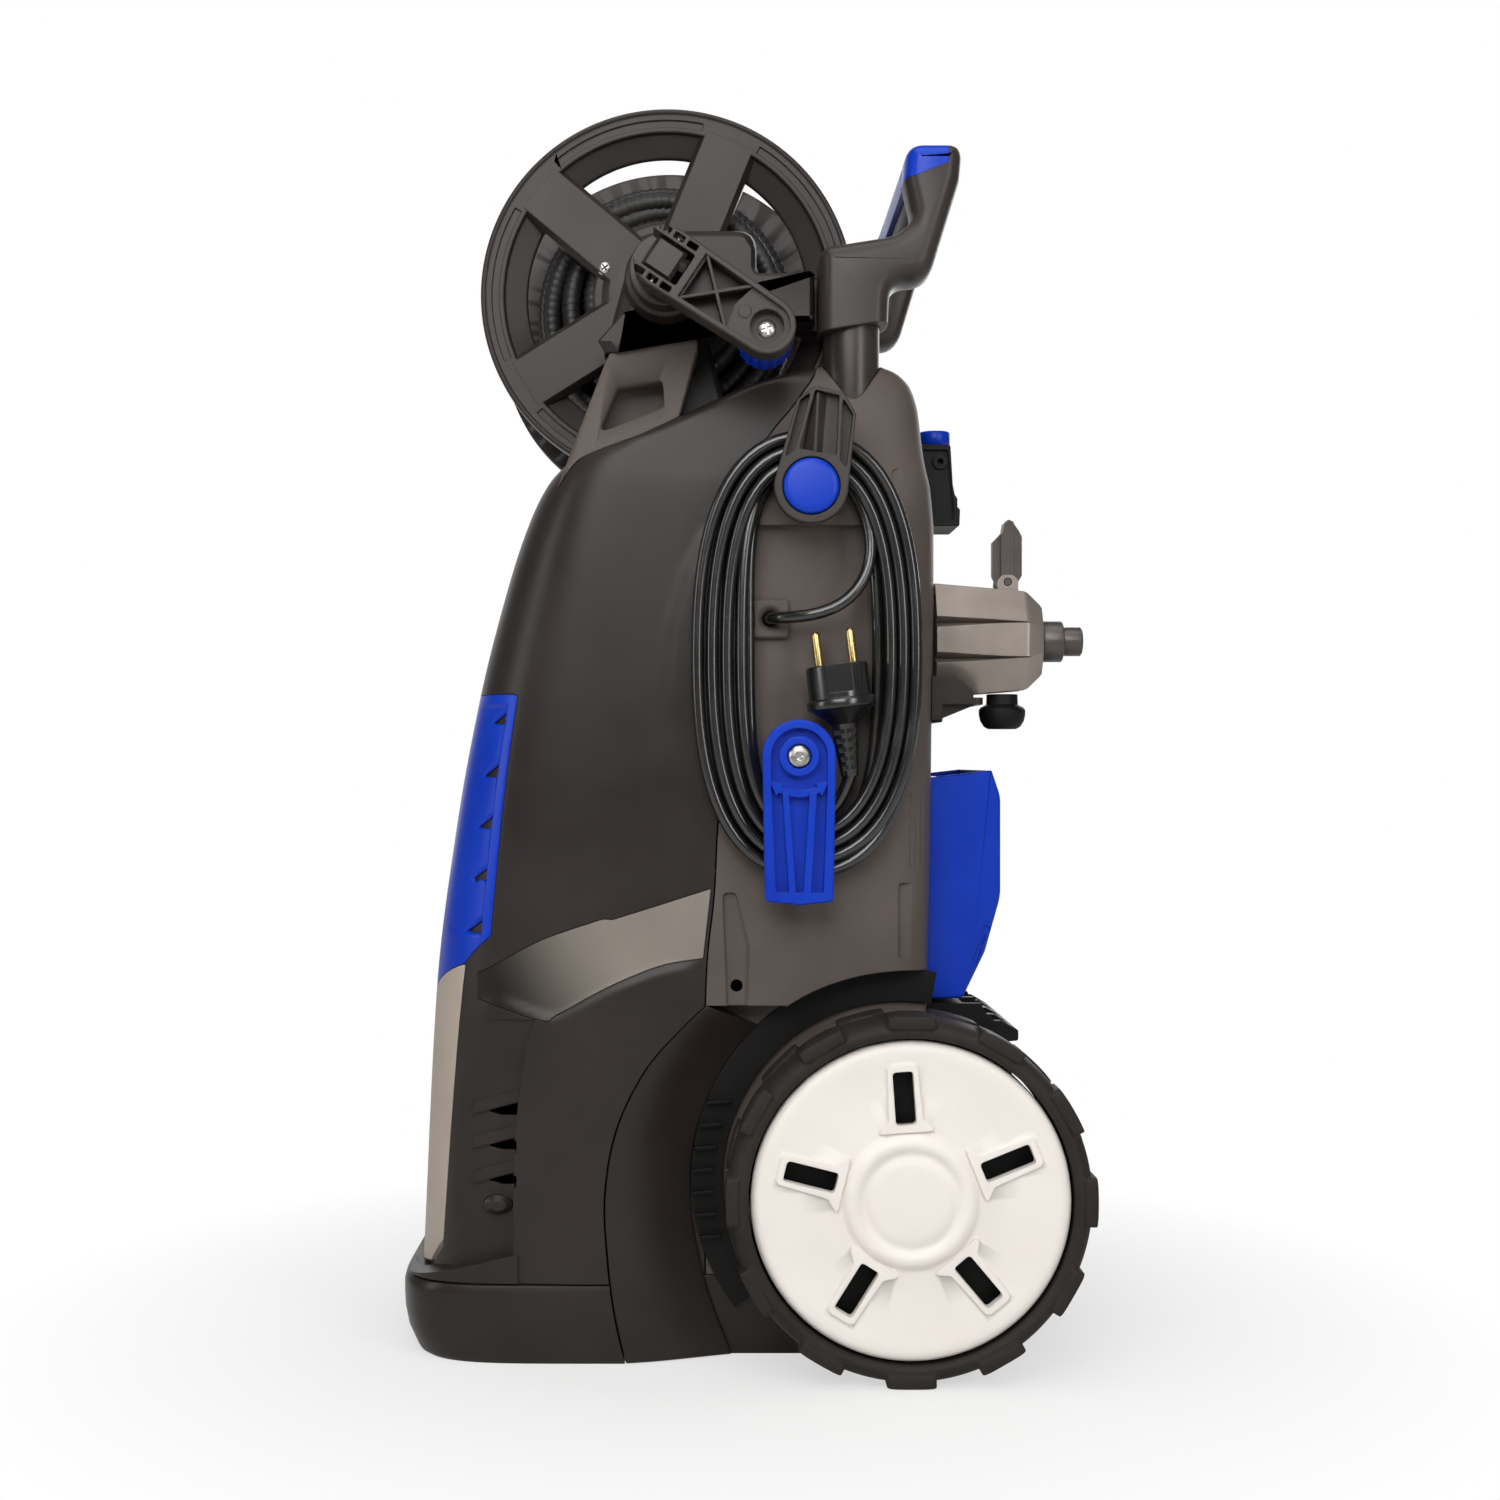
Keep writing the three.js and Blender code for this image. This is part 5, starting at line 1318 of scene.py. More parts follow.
# %% Running a tree and keeping its mesh
def run_tree(name, tree, **inputs):
    """Runs a node tree and keeps its result as plain mesh."""
    piece = placed(name, bpy.data.meshes.new(name))
    step = piece.modifiers.new("tree", "NODES")
    step.node_group = tree
    for item in tree.interface.items_tree:
        if item.in_out == "INPUT" and item.name in inputs:
            step[item.identifier] = inputs[item.name]
    return bake(piece)


def ring_of(name, shape, count, centre, axis, material, first=0.0, span=360.0):
    """Copies of a shape made about the origin, set round an axis through a centre."""
    way = Vector({"X": (1, 0, 0), "Y": (0, -1, 0), "Z": (0, 0, 1)}[axis])
    ring = run_tree(
        name, RING, Shape=shape, Count=count, Centre=Vector(centre) * MM,
        Turn=way * math.radians(span), First=way * math.radians(first), Finish=material,
    )
    bpy.data.objects.remove(shape)
    return ring


# %% [markdown]
# ## Wheels
# Each wheel is a moulded rim with a tyre and a pressed-in cover. The tyre is turned and carries two rows of
# rounded lugs that lap over its shoulders, offset by half a step. The cover is a turned dish with a low ring
# round its middle. The ring tree sets five raised frames round it, and a slot through each shows the dark
# rim.

# %% Tyre
LUG_PAIRS = 12
LUG_FOOT, LUG_TOP = 92.6, 99.9
TYRE = [
    (87.6, -164), (88.6, -166.6), (91.2, -167.4), (94.2, -166.4), (96.8, -163), (98.0, -159), (98.6, -152),
    (98.8, -145), (98.6, -138), (98.0, -131), (96.8, -126.6), (94.2, -124.4), (90.4, -123.6), (87.6, -124),
]
tyre = turned("left_tyre_skin", TYRE, "Y", WHEEL_CENTRE, 160)
near_lug = prism("lug", rounded([
    (-13.4, -168), (13.4, -168), (13.4, -146), (6, -140), (-6, -140), (-13.4, -146),
], 3), "Z", LUG_FOOT, LUG_TOP)
far_lug = prism("lug", rounded([
    (-13.4, -122.4), (13.4, -122.4), (13.4, -138), (6, -144), (-6, -144), (-13.4, -138),
], 3), "Z", LUG_FOOT, LUG_TOP)
for lug in (near_lug, far_lug):
    soften(lug, 1.2, 2, 40)
hub_place = (WHEEL_X, 0, WHEEL_Z)
near_lugs = ring_of("lugs", near_lug, LUG_PAIRS, hub_place, "Y", TYRE_RUBBER)
far_lugs = ring_of("lugs", far_lug, LUG_PAIRS, hub_place, "Y", TYRE_RUBBER, first=180 / LUG_PAIRS)
tread = turned("tread", [
    (80, -167.9), (LUG_TOP, -167.9), (LUG_TOP, -122.1), (80, -122.1),
], "Y", WHEEL_CENTRE, 160)
lugs = carve(fuse(near_lugs, far_lugs), tread, how="INTERSECT")
smoothed(fuse(tyre, lugs), 34)
print("tyre", faces(tyre), "faces,", 2 * LUG_PAIRS, "lugs")

# %% Rim
RIM = [
    (8.6, -98.5), (18, -98.5), (20, -104), (24, -136), (40, -141), (78, -143.5), (81, -142), (82.6, -128.6),
    (86, -128), (86.6, -129), (86.6, -156), (82, -157), (81, -150), (8.6, -150),
]
rim = soften(turned("left_rim_skin", RIM, "Y", WHEEL_CENTRE, 128), 0, angle=26)
print("rim", faces(rim))

# %% Wheel cover
COVER = [
    (0, -166.2), (19, -166.4), (22.4, -166.0), (24, -164.9), (25.6, -164.6), (27, -165.4), (29, -166.9),
    (31, -167.3), (33, -166.9), (35.4, -165.4), (36.6, -163.8), (39, -163.4), (60, -164.0), (76, -165.0),
    (80.5, -165.8), (83.4, -165.2), (85.2, -163.6), (86.2, -161), (86.4, -158.4), (0, -158.4),
]
cover = turned("left_cover_skin", COVER, "Y", WHEEL_CENTRE, 180)
COVER_SLOTS = 5
FIRST_SLOT = 94  # degrees above the horizontal
frame_outline = rounded([
    (37, -17), (44, -9.4), (71.6, -8.4), (73.6, -6.4), (73.6, 6.4), (71.6, 8.4), (44, 9.4), (37, 17),
], 2.4)
raised_frame = prism("frame", frame_outline, "Y", -165.3, -163)
soften(raised_frame, 1.1, 3, 40)
frames = ring_of("frames", raised_frame, COVER_SLOTS, hub_place, "Y", WHITE_ABS, first=FIRST_SLOT)
slot_shape = prism("slot", box_outline(41.5, 70, -5.6, 5.6, 2.2), "Y", -170, -140)
slots = ring_of("slots", slot_shape, COVER_SLOTS, hub_place, "Y", WHITE_ABS, first=FIRST_SLOT)
fuse(cover, frames)
carve(cover, slots)
smoothed(cover, 30)
print("wheel cover", faces(cover))

# %% Fit the wheels
for skin_piece, material, frame_node in (
    (tyre, TYRE_RUBBER, "wheel_tyre"), (rim, DEEP_BLACK, "wheel_rim"), (cover, WHITE_ABS, "wheel_hubcap"),
):
    other = mirrored(skin_piece, skin_piece.name.replace("left", "right"))
    dress(skin_piece, material, "left_wheel", "left_" + frame_node)
    dress(other, material, "right_wheel", "right_" + frame_node)
print("wheel", [faces(p) for p in (tyre, rim, cover)])

# %% [markdown]
# ## Reel frame
# Two posts stand on the housing's shoulders, and a heavy bracket on each carries the reel's shaft. Both are
# solid mouldings, so each is a rounded outline with some depth. The bracket overhangs its post like a hood,
# and a domed lug behind the hub ties it to the handle's foot.

# %% Posts
leg = prism("left_post_skin", rounded([
    (-108, 485, 0), (-78.5, 562, 3), (-60, 600, 2), (-30, 600, 2), (-26, 570, 5), (-40, 515, 10),
    (-46, 485, 0),
], 2), "Y", -104, -79.5)
soften(leg, 2.0, 3, 30)
window = prism("window", rounded([(-83, 521), (-72, 548), (-46, 552), (-45, 536)], 3.5), "Y", -120, -84)
hood_room = prism("room", rounded([
    (-82, 562), (-63.4, 582.6), (-56, 587), (-33, 593), (6, 584), (40, 584), (40, 613), (7, 613), (7, 637),
    (-64, 637),
], 1), "Y", -120, -70)
leg = carve(leg, window, rod("barrel", 24, -120, -70, "Y", REEL_CENTRE, 64))
print("post", faces(leg))


# %% Brackets
BRACKET = rounded([
    (-81, 562, 2), (-63, 582, 6), (-56, 586.5, 4), (-33, 593, 14), (6, 584, 3), (40, 584, 0.4),
    (40, 613, 0.4), (7, 613, 3), (7, 637, 13), (-50, 637, 9), (-64, 624, 8),
], 2, 4)
chamfers = [8.5 if x < -60 else 5.0 if z > 630 else 3.2 for x, z in BRACKET]
half_chamfers = [amount * 0.32 for amount in chamfers]
plate = stepped("left_bracket_skin", "Y", [
    (-78.5, inset(BRACKET, 0.8)), (-79.4, BRACKET), (-99, BRACKET), (-103.4, inset(BRACKET, half_chamfers)),
    (-107, inset(BRACKET, chamfers)),
])
BARREL = [
    (0, -100), (24.2, -100), (23.4, -108), (23, -119.5), (22.2, -122.2), (20.4, -123.6), (17, -124),
    (0, -124),
]
plate = fuse(plate, turned("barrel", BARREL, "Y", REEL_CENTRE, 96))
plate = carve(plate, rod("bore", 8.5, -130, -70, "Y", REEL_CENTRE, 48))
soften(plate, 0.5, 2, 24)
carve(leg, hood_room, housing_form(45, 561))
soften(leg, 0, angle=30)
dress(leg, GRAINED_BLACK, "machine", "left_reel_post")
dress(mirrored(leg, "right_post_skin"), GRAINED_BLACK, "machine", "right_reel_post")
dress(plate, SATIN_BLACK, "machine", "left_reel_bracket")
dress(mirrored(plate, "right_bracket_skin"), SATIN_BLACK, "machine", "right_reel_bracket")
print("bracket", faces(plate))

# %% [markdown]
# ## Hose reel
# Each flange is one moulding: a lipped rim with shallow arc grooves, a sloping ring inside it, five flat
# spokes with chamfered sides and a hub. The rim and hub are turned, the spokes and grooves are set round by
# the ring tree. The windows stay open, so the wound hose shows.

# %% Flange
SPOKES = 5
FIRST_SPOKE = 68  # degrees above the horizontal
reel_place = (REEL_X, 0, REEL_Z)
RIM_PROFILE = [
    (108, -73.4), (107.6, -74.5), (106.6, -75), (105.6, -74.8), (105, -74.2), (104.4, -74), (95.2, -74),
    (94.5, -73.6), (94.2, -72.8), (94.2, -70.6), (93.2, -69.8), (82.6, -66.2), (81.6, -65.2), (81.4, -62),
    (107, -62), (108, -63),
]
flange = turned("left_flange_skin", RIM_PROFILE, "Y", REEL_CENTRE, 180)
HUB_PROFILE = [
    (8.6, -74.8), (30, -74.8), (34, -74), (36.4, -72), (38, -70.4), (42, -70), (43.4, -68.8), (43.6, -62),
    (8.6, -62),
]
flange = fuse(flange, turned("hub", HUB_PROFILE, "Y", REEL_CENTRE, 120))
SPOKE_FACE = [(28, -14.4), (97, -14.4), (97, 14.4), (28, 14.4)]
SPOKE_FOOT = [(28, -17.2), (97, -17.2), (97, 17.2), (28, 17.2)]
spoke = stepped("spoke", "Y", [(-74.1, SPOKE_FACE), (-69.6, SPOKE_FOOT), (-63, SPOKE_FOOT)])
spokes = ring_of("spokes", spoke, SPOKES, reel_place, "Y", SATIN_BLACK, first=FIRST_SPOKE)
flange = fuse(flange, spokes)
groove_outline = [*arc((0, 0), 101.6, -26, 26, 24), *arc((0, 0), 97.2, 26, -26, 24)]
groove = prism("groove", groove_outline, "Y", -76, -72.6)
grooves = ring_of("grooves", groove, SPOKES, reel_place, "Y", SATIN_BLACK, first=FIRST_SPOKE + 36)
flange = carve(flange, grooves)
soften(flange, 0.35, 2, 28)
dress(flange, SATIN_BLACK, "reel", "left_reel_flange")
dress(mirrored(flange, "right_flange_skin"), SATIN_BLACK, "reel", "right_reel_flange")
print("flange", faces(flange))

# %% Drum
DRUM = [(8.6, -61.4), (36.8, -61.4), (38, -60.2), (38, 60.2), (36.8, 61.4), (8.6, 61.4)]
drum = soften(turned("reel_drum_skin", DRUM, "Y", REEL_CENTRE, 96), 0, angle=30)
dress(drum, SATIN_BLACK, "reel", "reel_drum")
print("flange", faces(flange))

# %% [markdown]
# ## Wound hose
# About ten metres of ribbed high-pressure hose lie on the drum in three layers. A curve carries the winding;
# a node tree sweeps a ring along it that swells once for every rib.

# %% Winding route
HOSE = 12.0
LAYER_RADII = (44.6, 56.4, 68.2)
LAYER_TURNS = 9.4
LAYER_WIDTH = 109.2
TURN_STOPS = 40
SAG = 2.6  # how far each layer hangs below the one inside it
hose_points = []
for layer, radius in enumerate(LAYER_RADII):
    for k in range(int(LAYER_TURNS * TURN_STOPS)):
        share = k / (LAYER_TURNS * TURN_STOPS)
        along = (-LAYER_WIDTH / 2 + LAYER_WIDTH * share) * (1 if layer % 2 == 0 else -1)
        turn = 2 * math.pi * (LAYER_TURNS * share + layer * LAYER_TURNS)
        loose = layer * (1.1 * math.sin(turn * 0.5 + 1.0) + 0.6 * math.sin(turn * 0.31))
        sag = SAG * layer
        hose_points.append(Vector((
            REEL_X + (radius + loose) * math.cos(turn) - sag * 0.3,
            along + 1.2 * math.sin(turn * 1.7),
            REEL_Z + (radius + loose) * math.sin(turn) - sag,
        )))
HOSE_LENGTH = sum((b - a).length for a, b in zip(hose_points, hose_points[1:]))
print("hose", round(HOSE_LENGTH / 1000, 2), "m")


# %% Ribbed sweep
def ribbed_tree():
    """A ring swept along a curve, swelling once for every rib."""
    tree = bpy.data.node_groups.new("ribbed_hose", "GeometryNodeTree")
    face = tree.interface
    face.new_socket("Geometry", in_out="OUTPUT", socket_type="NodeSocketGeometry")
    for title, kind in (
        ("Path", "NodeSocketObject"), ("Radius", "NodeSocketFloat"), ("Rib Pitch", "NodeSocketFloat"),
        ("Depth", "NodeSocketFloat"), ("Step", "NodeSocketFloat"), ("Finish", "NodeSocketMaterial"),
    ):
        face.new_socket(title, in_out="INPUT", socket_type=kind)
    given = node(tree, "NodeGroupInput").outputs
    carrier = node(tree, "GeometryNodeObjectInfo", {"Object": given["Path"]})
    spaced = node(
        tree, "GeometryNodeResampleCurve", {"Curve": carrier.outputs["Geometry"], "Length": given["Step"]},
        mode="LENGTH",
    )
    ring = node(tree, "GeometryNodeCurvePrimitiveCircle", {"Radius": given["Radius"]}, {"Resolution": 10})
    travelled = node(tree, "GeometryNodeSplineParameter")
    ribs = node(
        tree, "ShaderNodeMath", {0: travelled.outputs["Length"], 1: given["Rib Pitch"]}, operation="DIVIDE",
    )
    turn = node(tree, "ShaderNodeMath", {0: ribs.outputs[0]}, {1: 2 * math.pi}, operation="MULTIPLY")
    wave = node(tree, "ShaderNodeMath", {0: turn.outputs[0]}, operation="SINE")
    swell = node(
        tree, "ShaderNodeMath", {0: wave.outputs[0], 1: given["Depth"]}, {2: 1.0}, operation="MULTIPLY_ADD",
    )
    swept = node(
        tree, "GeometryNodeCurveToMesh",
        {"Curve": spaced.outputs[0], "Profile Curve": ring.outputs[0], "Scale": swell.outputs[0]},
        {"Fill Caps": True},
    )
    smooth = node(tree, "GeometryNodeSetShadeSmooth", {"Geometry": swept.outputs[0]})
    real = node(tree, "GeometryNodeRealizeInstances", {"Geometry": smooth.outputs[0]})
    painted = node(
        tree, "GeometryNodeSetMaterial", {"Geometry": real.outputs[0], "Material": given["Finish"]},
    )
    node(tree, "NodeGroupOutput", {"Geometry": painted.outputs[0]})
    return tree


def path_curve(points):
    """A bare curve through points in millimetres."""
    data = bpy.data.curves.new("path", "CURVE")
    data.dimensions = "3D"
    run = data.splines.new("POLY")
    run.points.add(len(points) - 1)
    for mark, point in zip(run.points, points):
        mark.co = (*(point * MM), 1)
    carrier = placed("path", data)
    return carrier


# %% Sweep the hose
RIB_RISE = 0.07  # the share of the radius that a rib adds
HOSE_CORE = 0.94  # the share that is left between the ribs
RIBBED = ribbed_tree()
carrier = path_curve(hose_points)
hose = run_tree(
    "wound_hose", RIBBED, Path=carrier, Radius=HOSE / 2 * HOSE_CORE * MM, Depth=RIB_RISE, Finish=HOSE_RUBBER,
    **{"Rib Pitch": 4.4 * MM, "Step": 1.47 * MM},
)
bpy.data.objects.remove(carrier)
dress(hose, HOSE_RUBBER, "reel", "hose_winding")
print("hose", faces(hose))

# %% [markdown]
# ## Push handle
# Two lacquered steel tubes slide in the rear shell. A black moulding sits on each and swings back into an
# S-shaped arm, and a bar joins the arms at the top. The arm is one outline lofted sideways through a few
# insets, which gives it generous radii. A blue pad is let into the bar and laps over the ends of the arms,
# which a slanting prism cuts off.

# %% Arms
ARM = rounded([
    (42, 552, 10), (42, 626, 10), (84, 632.6, 12), (95.6, 641, 14), (90, 665, 12), (91.5, 684, 10),
    (123.4, 684, 10), (121.5, 664, 12), (111, 630, 22), (104, 607, 16), (82, 606, 12), (80.5, 552, 10),
], 3, 7)
ARM_ROUND = [
    (-115, 9), (-114.6, 6.6), (-113.6, 4.6), (-111.8, 2.8), (-109, 1.3), (-105.4, 0.4), (-101, 0), (-86, 0),
    (-82, 0.8), (-79, 2.4), (-77, 5),
]
arm = stepped("arm", "Y", [(across, inset(ARM, inwards)) for across, inwards in ARM_ROUND])
sleeve = rod("sleeve", 18.7, 560, 612, "Z", (61.2, -95.2), 96)
foot_cut = prism("foot", [(30, 540), (100, 540), (100, 586.5), (30, 575.5)], "Y", -130, -60)
moulding = carve(fuse(arm, sleeve), foot_cut)
bar = stepped("bar", "Y", [
    (-90, box_outline(94, 121.5, 656.5, 682, 10)), (90, box_outline(94, 121.5, 656.5, 682, 10)),
])
moulding.name = "handle_moulding_skin"
right_arm = mirrored(moulding, "right_arm")
moulding = fuse(moulding, right_arm, bar)
bores = [rod("bore", 16.4, 540, 620, "Z", (HANDLE_X, side * HANDLE_Y), 64) for side in (-1, 1)]
PAD = box_outline(91, 119.5, 657, 683.4, 9.5)
pad_reach = prism("reach", box_outline(80, 110, 664, 690, 4), "Y", -76.4, 76.4)
moulding = carve(moulding, *bores, pad_reach)
wrap = prism("wrap", [(70, 700), (115, 700), (114.2, 671.8), (97, 664.8), (70, 662)], "Y", -130, 130)
pad_ends = carve(twin(moulding, "pad_ends"), wrap, how="INTERSECT", keep=[wrap])
moulding = smoothed(carve(moulding, wrap), 30)
dress(moulding, HIGHLIT_BLACK, "handle", "handle_moulding")
print("handle moulding", faces(moulding))

# %% Grip pad and tubes
pad = prism("grip_pad_skin", PAD, "Y", -76, 76)
carve(pad, prism("reach", box_outline(80, 109.6, 664.4, 690, 4), "Y", -80, 80), how="INTERSECT")
pad = soften(fuse(pad, pad_ends), 0, angle=35)
dress(pad, BLUE_ABS, "handle", "handle_grip_pad")
for side, name in ((-1, "left"), (1, "right")):
    tube = turned(name + "_tube_skin", [
        (14.4, 330), (15.6, 330), (16, 330.6), (16, 619), (14.4, 619),
    ], "Z", (HANDLE_X, side * HANDLE_Y), 96)
    dress(smoothed(tube, 35), LACQUERED_STEEL, "handle", name + "_handle_tube")
print("handle", faces(moulding))

# %% [markdown]
# ## Folding crank
# The shaft ends in a dark disc and a square block. The arm's two ears straddle the block on a pin, so the
# crank folds. The arm is an open moulding: a wall all round, a bay crossed by two thin ribs, and a round
# well where the knob's screw sits. The knob behind it is fluted all round. Outlines are drawn along the
# crank and then turned to its angle.

# %% Crank arm
CRANK_ANGLE = math.radians(-33.5)
CRANK_REACH = 66.0
ARM_FACE, ARM_BACK = -168.0, -148.0
PIN_Y = -157.0


def on_crank(along, across=0.0):
    """A side-view point at a distance along the crank and across it."""
    c, s = math.cos(CRANK_ANGLE), math.sin(CRANK_ANGLE)
    return (REEL_X + along * c - across * s, REEL_Z + along * s + across * c)


def crank_prism(name, outline, low, high):
    """An outline drawn along the crank, given depth."""
    return prism(name, [on_crank(*point) for point in outline], "Y", low, high)


def arm_outline(inwards, start=0.0):
    """The arm's outline, moved inwards; it narrows towards the knob."""
    knob_end = arc((CRANK_REACH, 0), 15.5 - inwards, -86, 86, 20)
    if start:
        return [(start, -16.9 + inwards), *knob_end, (start, 16.9 - inwards)]
    return [*knob_end, *arc((0, 0), 17.0 - inwards, 88, 272, 20)]


def crank_steps(name, levels):
    """A loft through outlines drawn along the crank."""
    return stepped(name, "Y", [(y, [on_crank(*point) for point in outline]) for y, outline in levels])


ARM_EDGE = 0.7
crank_arm = crank_steps("crank_arm_skin", [
    (ARM_FACE, arm_outline(ARM_EDGE)), (ARM_FACE + ARM_EDGE, arm_outline(0)), (ARM_BACK, arm_outline(0)),
])
BAY_FLOOR = ARM_FACE + 15
WELL_FLOOR = ARM_FACE + 11
cuts = [
    crank_prism("fork", rounded([(-30, -9.8), (13.5, -9.8), (13.5, 9.8), (-30, 9.8)], 1.5), -200, -100),
    crank_prism("bay", rounded([
        (19, -13.6), (48, -12.6), (45, 0), (48, 12.6), (19, 13.6),
    ], 1.5), -170, BAY_FLOOR),
    crank_prism("apron", arm_outline(3.2, 17.5), -170, ARM_FACE + 3.4),
    rod("well", 9.2, -170, WELL_FLOOR, "Y", on_crank(CRANK_REACH), 64),
    rod("bore", 3.4, -170, -140, "Y", on_crank(CRANK_REACH), 32),
]
for way in (-1, 1):
    for along in (-7.6, 1.0, 9.4):
        near, far = way * 11.4, way * 15.0
        corners = [(along - 3.2, near), (along + 3.2, near), (along + 3.2, far), (along - 3.2, far)]
        cuts.append(crank_prism("window", rounded(corners, 0.8), -170, -156))
crank_arm = carve(crank_arm, *cuts)
print("hollowed arm", faces(crank_arm))

# %% Crank arm's ribs and bore
RIB_CORNERS = ((17, -14), (19.4, -14), (48.6, 13), (46.2, 13))
ribs = [
    crank_prism("rib", [(u, v * way) for u, v in RIB_CORNERS], ARM_FACE + 1.2, BAY_FLOOR + 1)
    for way in (-1, 1)
]
ribs.append(rod("mark", 3.6, ARM_FACE + 3.0, ARM_FACE + 4.4, "Y", on_crank(51.5), 32))
pin_way = Matrix.Translation(Vector((REEL_X, PIN_Y, REEL_Z)) * MM) @ Matrix.Rotation(-CRANK_ANGLE, 4, "Y")
pin_bore = rod("pin_bore", 2.9, -30, 30, "Z", (0, 0), 32)
pin_bore.data.transform(pin_way)
crank_arm = soften(carve(fuse(crank_arm, *ribs), pin_bore), 0.45, 2, 32)
dress(crank_arm, HIGHLIT_BLACK, "crank", "crank_arm")
print("crank arm", faces(crank_arm))

# %% Shaft end, block and pin
disc = turned("disc", [
    (0, -140), (18.6, -140), (19.8, -139.4), (20, -138.4), (20, -126.4), (19.4, -125.6), (0, -125.6),
], "Y", REEL_CENTRE, 96)
block = crank_steps("block", [
    (PIN_Y - 9, box_outline(-7.2, 7.2, -7.6, 7.6, 1)), (PIN_Y - 7, box_outline(-9.4, 9.4, -9.3, 9.3, 1)),
    (-139, box_outline(-9.4, 9.4, -9.3, 9.3, 1)),
])
lock_nut = loft("nut", [
    [place("Y", *on_crank(along, across), y) for y, across in hexagon(4.3, (PIN_Y - 4, 2.5))]
    for along in (8.5, 12.6)
])
shaft = fuse(rod("reel_shaft_skin", 8, -127, 112, "Y", REEL_CENTRE, 48), disc, block, lock_nut)
pin_room = rod("pin_room", 2.9, -30, 30, "Z", (0, 0), 32)
pin_room.data.transform(pin_way)
shaft = soften(carve(shaft, pin_room), 0.35, 2, 32)
dress(shaft, SHAFT_STEEL, "reel", "reel_shaft")
crank_pin = turned("crank_pin_skin", [
    (0, -14.5), (2.1, -14.5), (2.5, -14.1), (2.5, 14.1), (2.1, 14.5), (0, 14.5),
], "Z", (0, 0), 32)
crank_pin.data.transform(pin_way)
dress(soften(crank_pin, 0), ZINC_STEEL, "reel", "crank_pin")
print("shaft", faces(shaft))

# %% Fluted knob and its screw
FLUTES = 18
KNOB_CENTRE = on_crank(CRANK_REACH)
knob_place = (KNOB_CENTRE[0], 0, KNOB_CENTRE[1])
knob = turned("crank_knob_skin", [
    (3.4, -147), (13.4, -147), (15.2, -145.8), (15.5, -144), (15.5, -121), (14.8, -118), (12.8, -116.4),
    (8, -116), (3.4, -122),
], "Y", KNOB_CENTRE, 96)
flute = rod("flute", 1.8, -146, -110, "Y", (16.2, 0), 20)
knob = carve(knob, ring_of("flutes", flute, FLUTES, knob_place, "Y", BLUE_ABS))
dress(soften(knob, 0.25, 2, 34), BLUE_ABS, "knob", "crank_knob")


def cross_recess(name, place_xz, size, face, depth, turn=0.0):
    """A cross-shaped drive in a screw head, seen from the left side."""
    bars = []
    for quarter in (0, 90):
        a = math.radians(quarter + turn)
        corners = [(-size, -size * 0.2), (size, -size * 0.2), (size, size * 0.2), (-size, size * 0.2)]
        outline = [
            (place_xz[0] + u * math.cos(a) - v * math.sin(a), place_xz[1] + u * math.sin(a) + v * math.cos(a))
            for u, v in corners
        ]
        bars.append(prism(name, outline, "Y", face - 1, face + depth))
    return fuse(*bars)


knob_screw = turned("knob_screw_skin", [
    (0, -158.6), (3.0, -158.4), (5.0, -157.4), (5.9, -155.8), (6, -152.6), (3, -152.4), (3, -122), (0, -122),
], "Y", KNOB_CENTRE, 64)
knob_screw = carve(knob_screw, cross_recess("drive", KNOB_CENTRE, 3.2, -158.6, 1.8, 20))
dress(soften(knob_screw, 0.15, 2, 34), ZINC_STEEL, "crank", "knob_screw")
print("knob", faces(knob))

# %% [markdown]
# ## Small metal pieces on the reel
# One domed screw holds the flange on its drum, and the hose ends in a plated coupling with a six-sided nut.
# Both are turned from a profile, as on a lathe, and the cross in the screw's head is cut out afterwards.


# %% Flange screw
def on_reel(radius, degrees):
    """A side-view point at a distance and an angle from the reel's axis."""
    turn = math.radians(degrees)
    return (REEL_X + radius * math.cos(turn), REEL_Z + radius * math.sin(turn))


SCREW_PLACE = on_reel(39.5, 156)
flange_screw = turned("flange_screw", [
    (0, -74.6), (2.6, -74.4), (4.4, -73.2), (4.8, -71.8), (4.8, -70.2), (0, -70.2),
], "Y", SCREW_PLACE, 48)
flange_screw = carve(flange_screw, cross_recess("drive", SCREW_PLACE, 2.4, -74.6, 1.5, 35))
dress(soften(flange_screw, 0.15, 2, 34), ZINC_STEEL, "reel")
print("flange screw", faces(flange_screw))

# %% Hose end fitting
fitting_centre = on_reel(95, 216)
fitting = turned("hose_fitting_skin", [
    (0, 22), (4.8, 22), (5.2, 22.6), (5.2, 30), (4.6, 30.6), (4.6, 31.6), (5.2, 32.2), (5.2, 40.5),
    (3.6, 50), (3.6, 61), (3.2, 61.6), (0, 61.6),
], "Y", fitting_centre, 48)
fuse(fitting, prism("nut", hexagon(7, fitting_centre), "Y", 40, 50))
dress(soften(fitting, 0.3, 2, 34), ZINC_STEEL, "reel", "hose_fitting")
print("fitting", faces(fitting))

# %% [markdown]
# ## Cord store
# The upper hook is fixed: a paddle with thin walls and three bays, leaning a little forwards, with a blue
# cap pressed into its round end. The lower one is blue and turns on its screw, so that the cord slips off,
# and a two-headed arrow is moulded across it. Each is an outline with depth and with its bays cut out, which
# leaves even walls.

# %% Upper hook
HOOK_FACE = -150.0
HOOK_DEPTH = 9.0
UPPER_X, UPPER_Z = 35.5, 486.0
LEAN = math.radians(-11)


def on_hook(across, up):
    """A side-view point across and up the leaning paddle."""
    c, s = math.cos(LEAN), math.sin(LEAN)
    return (UPPER_X + across * c - up * s, UPPER_Z + across * s + up * c)


def hook_prism(name, outline, low, high):
    """An outline drawn on the paddle, given depth."""
    return prism(name, [on_hook(*point) for point in outline], "Y", low, high)


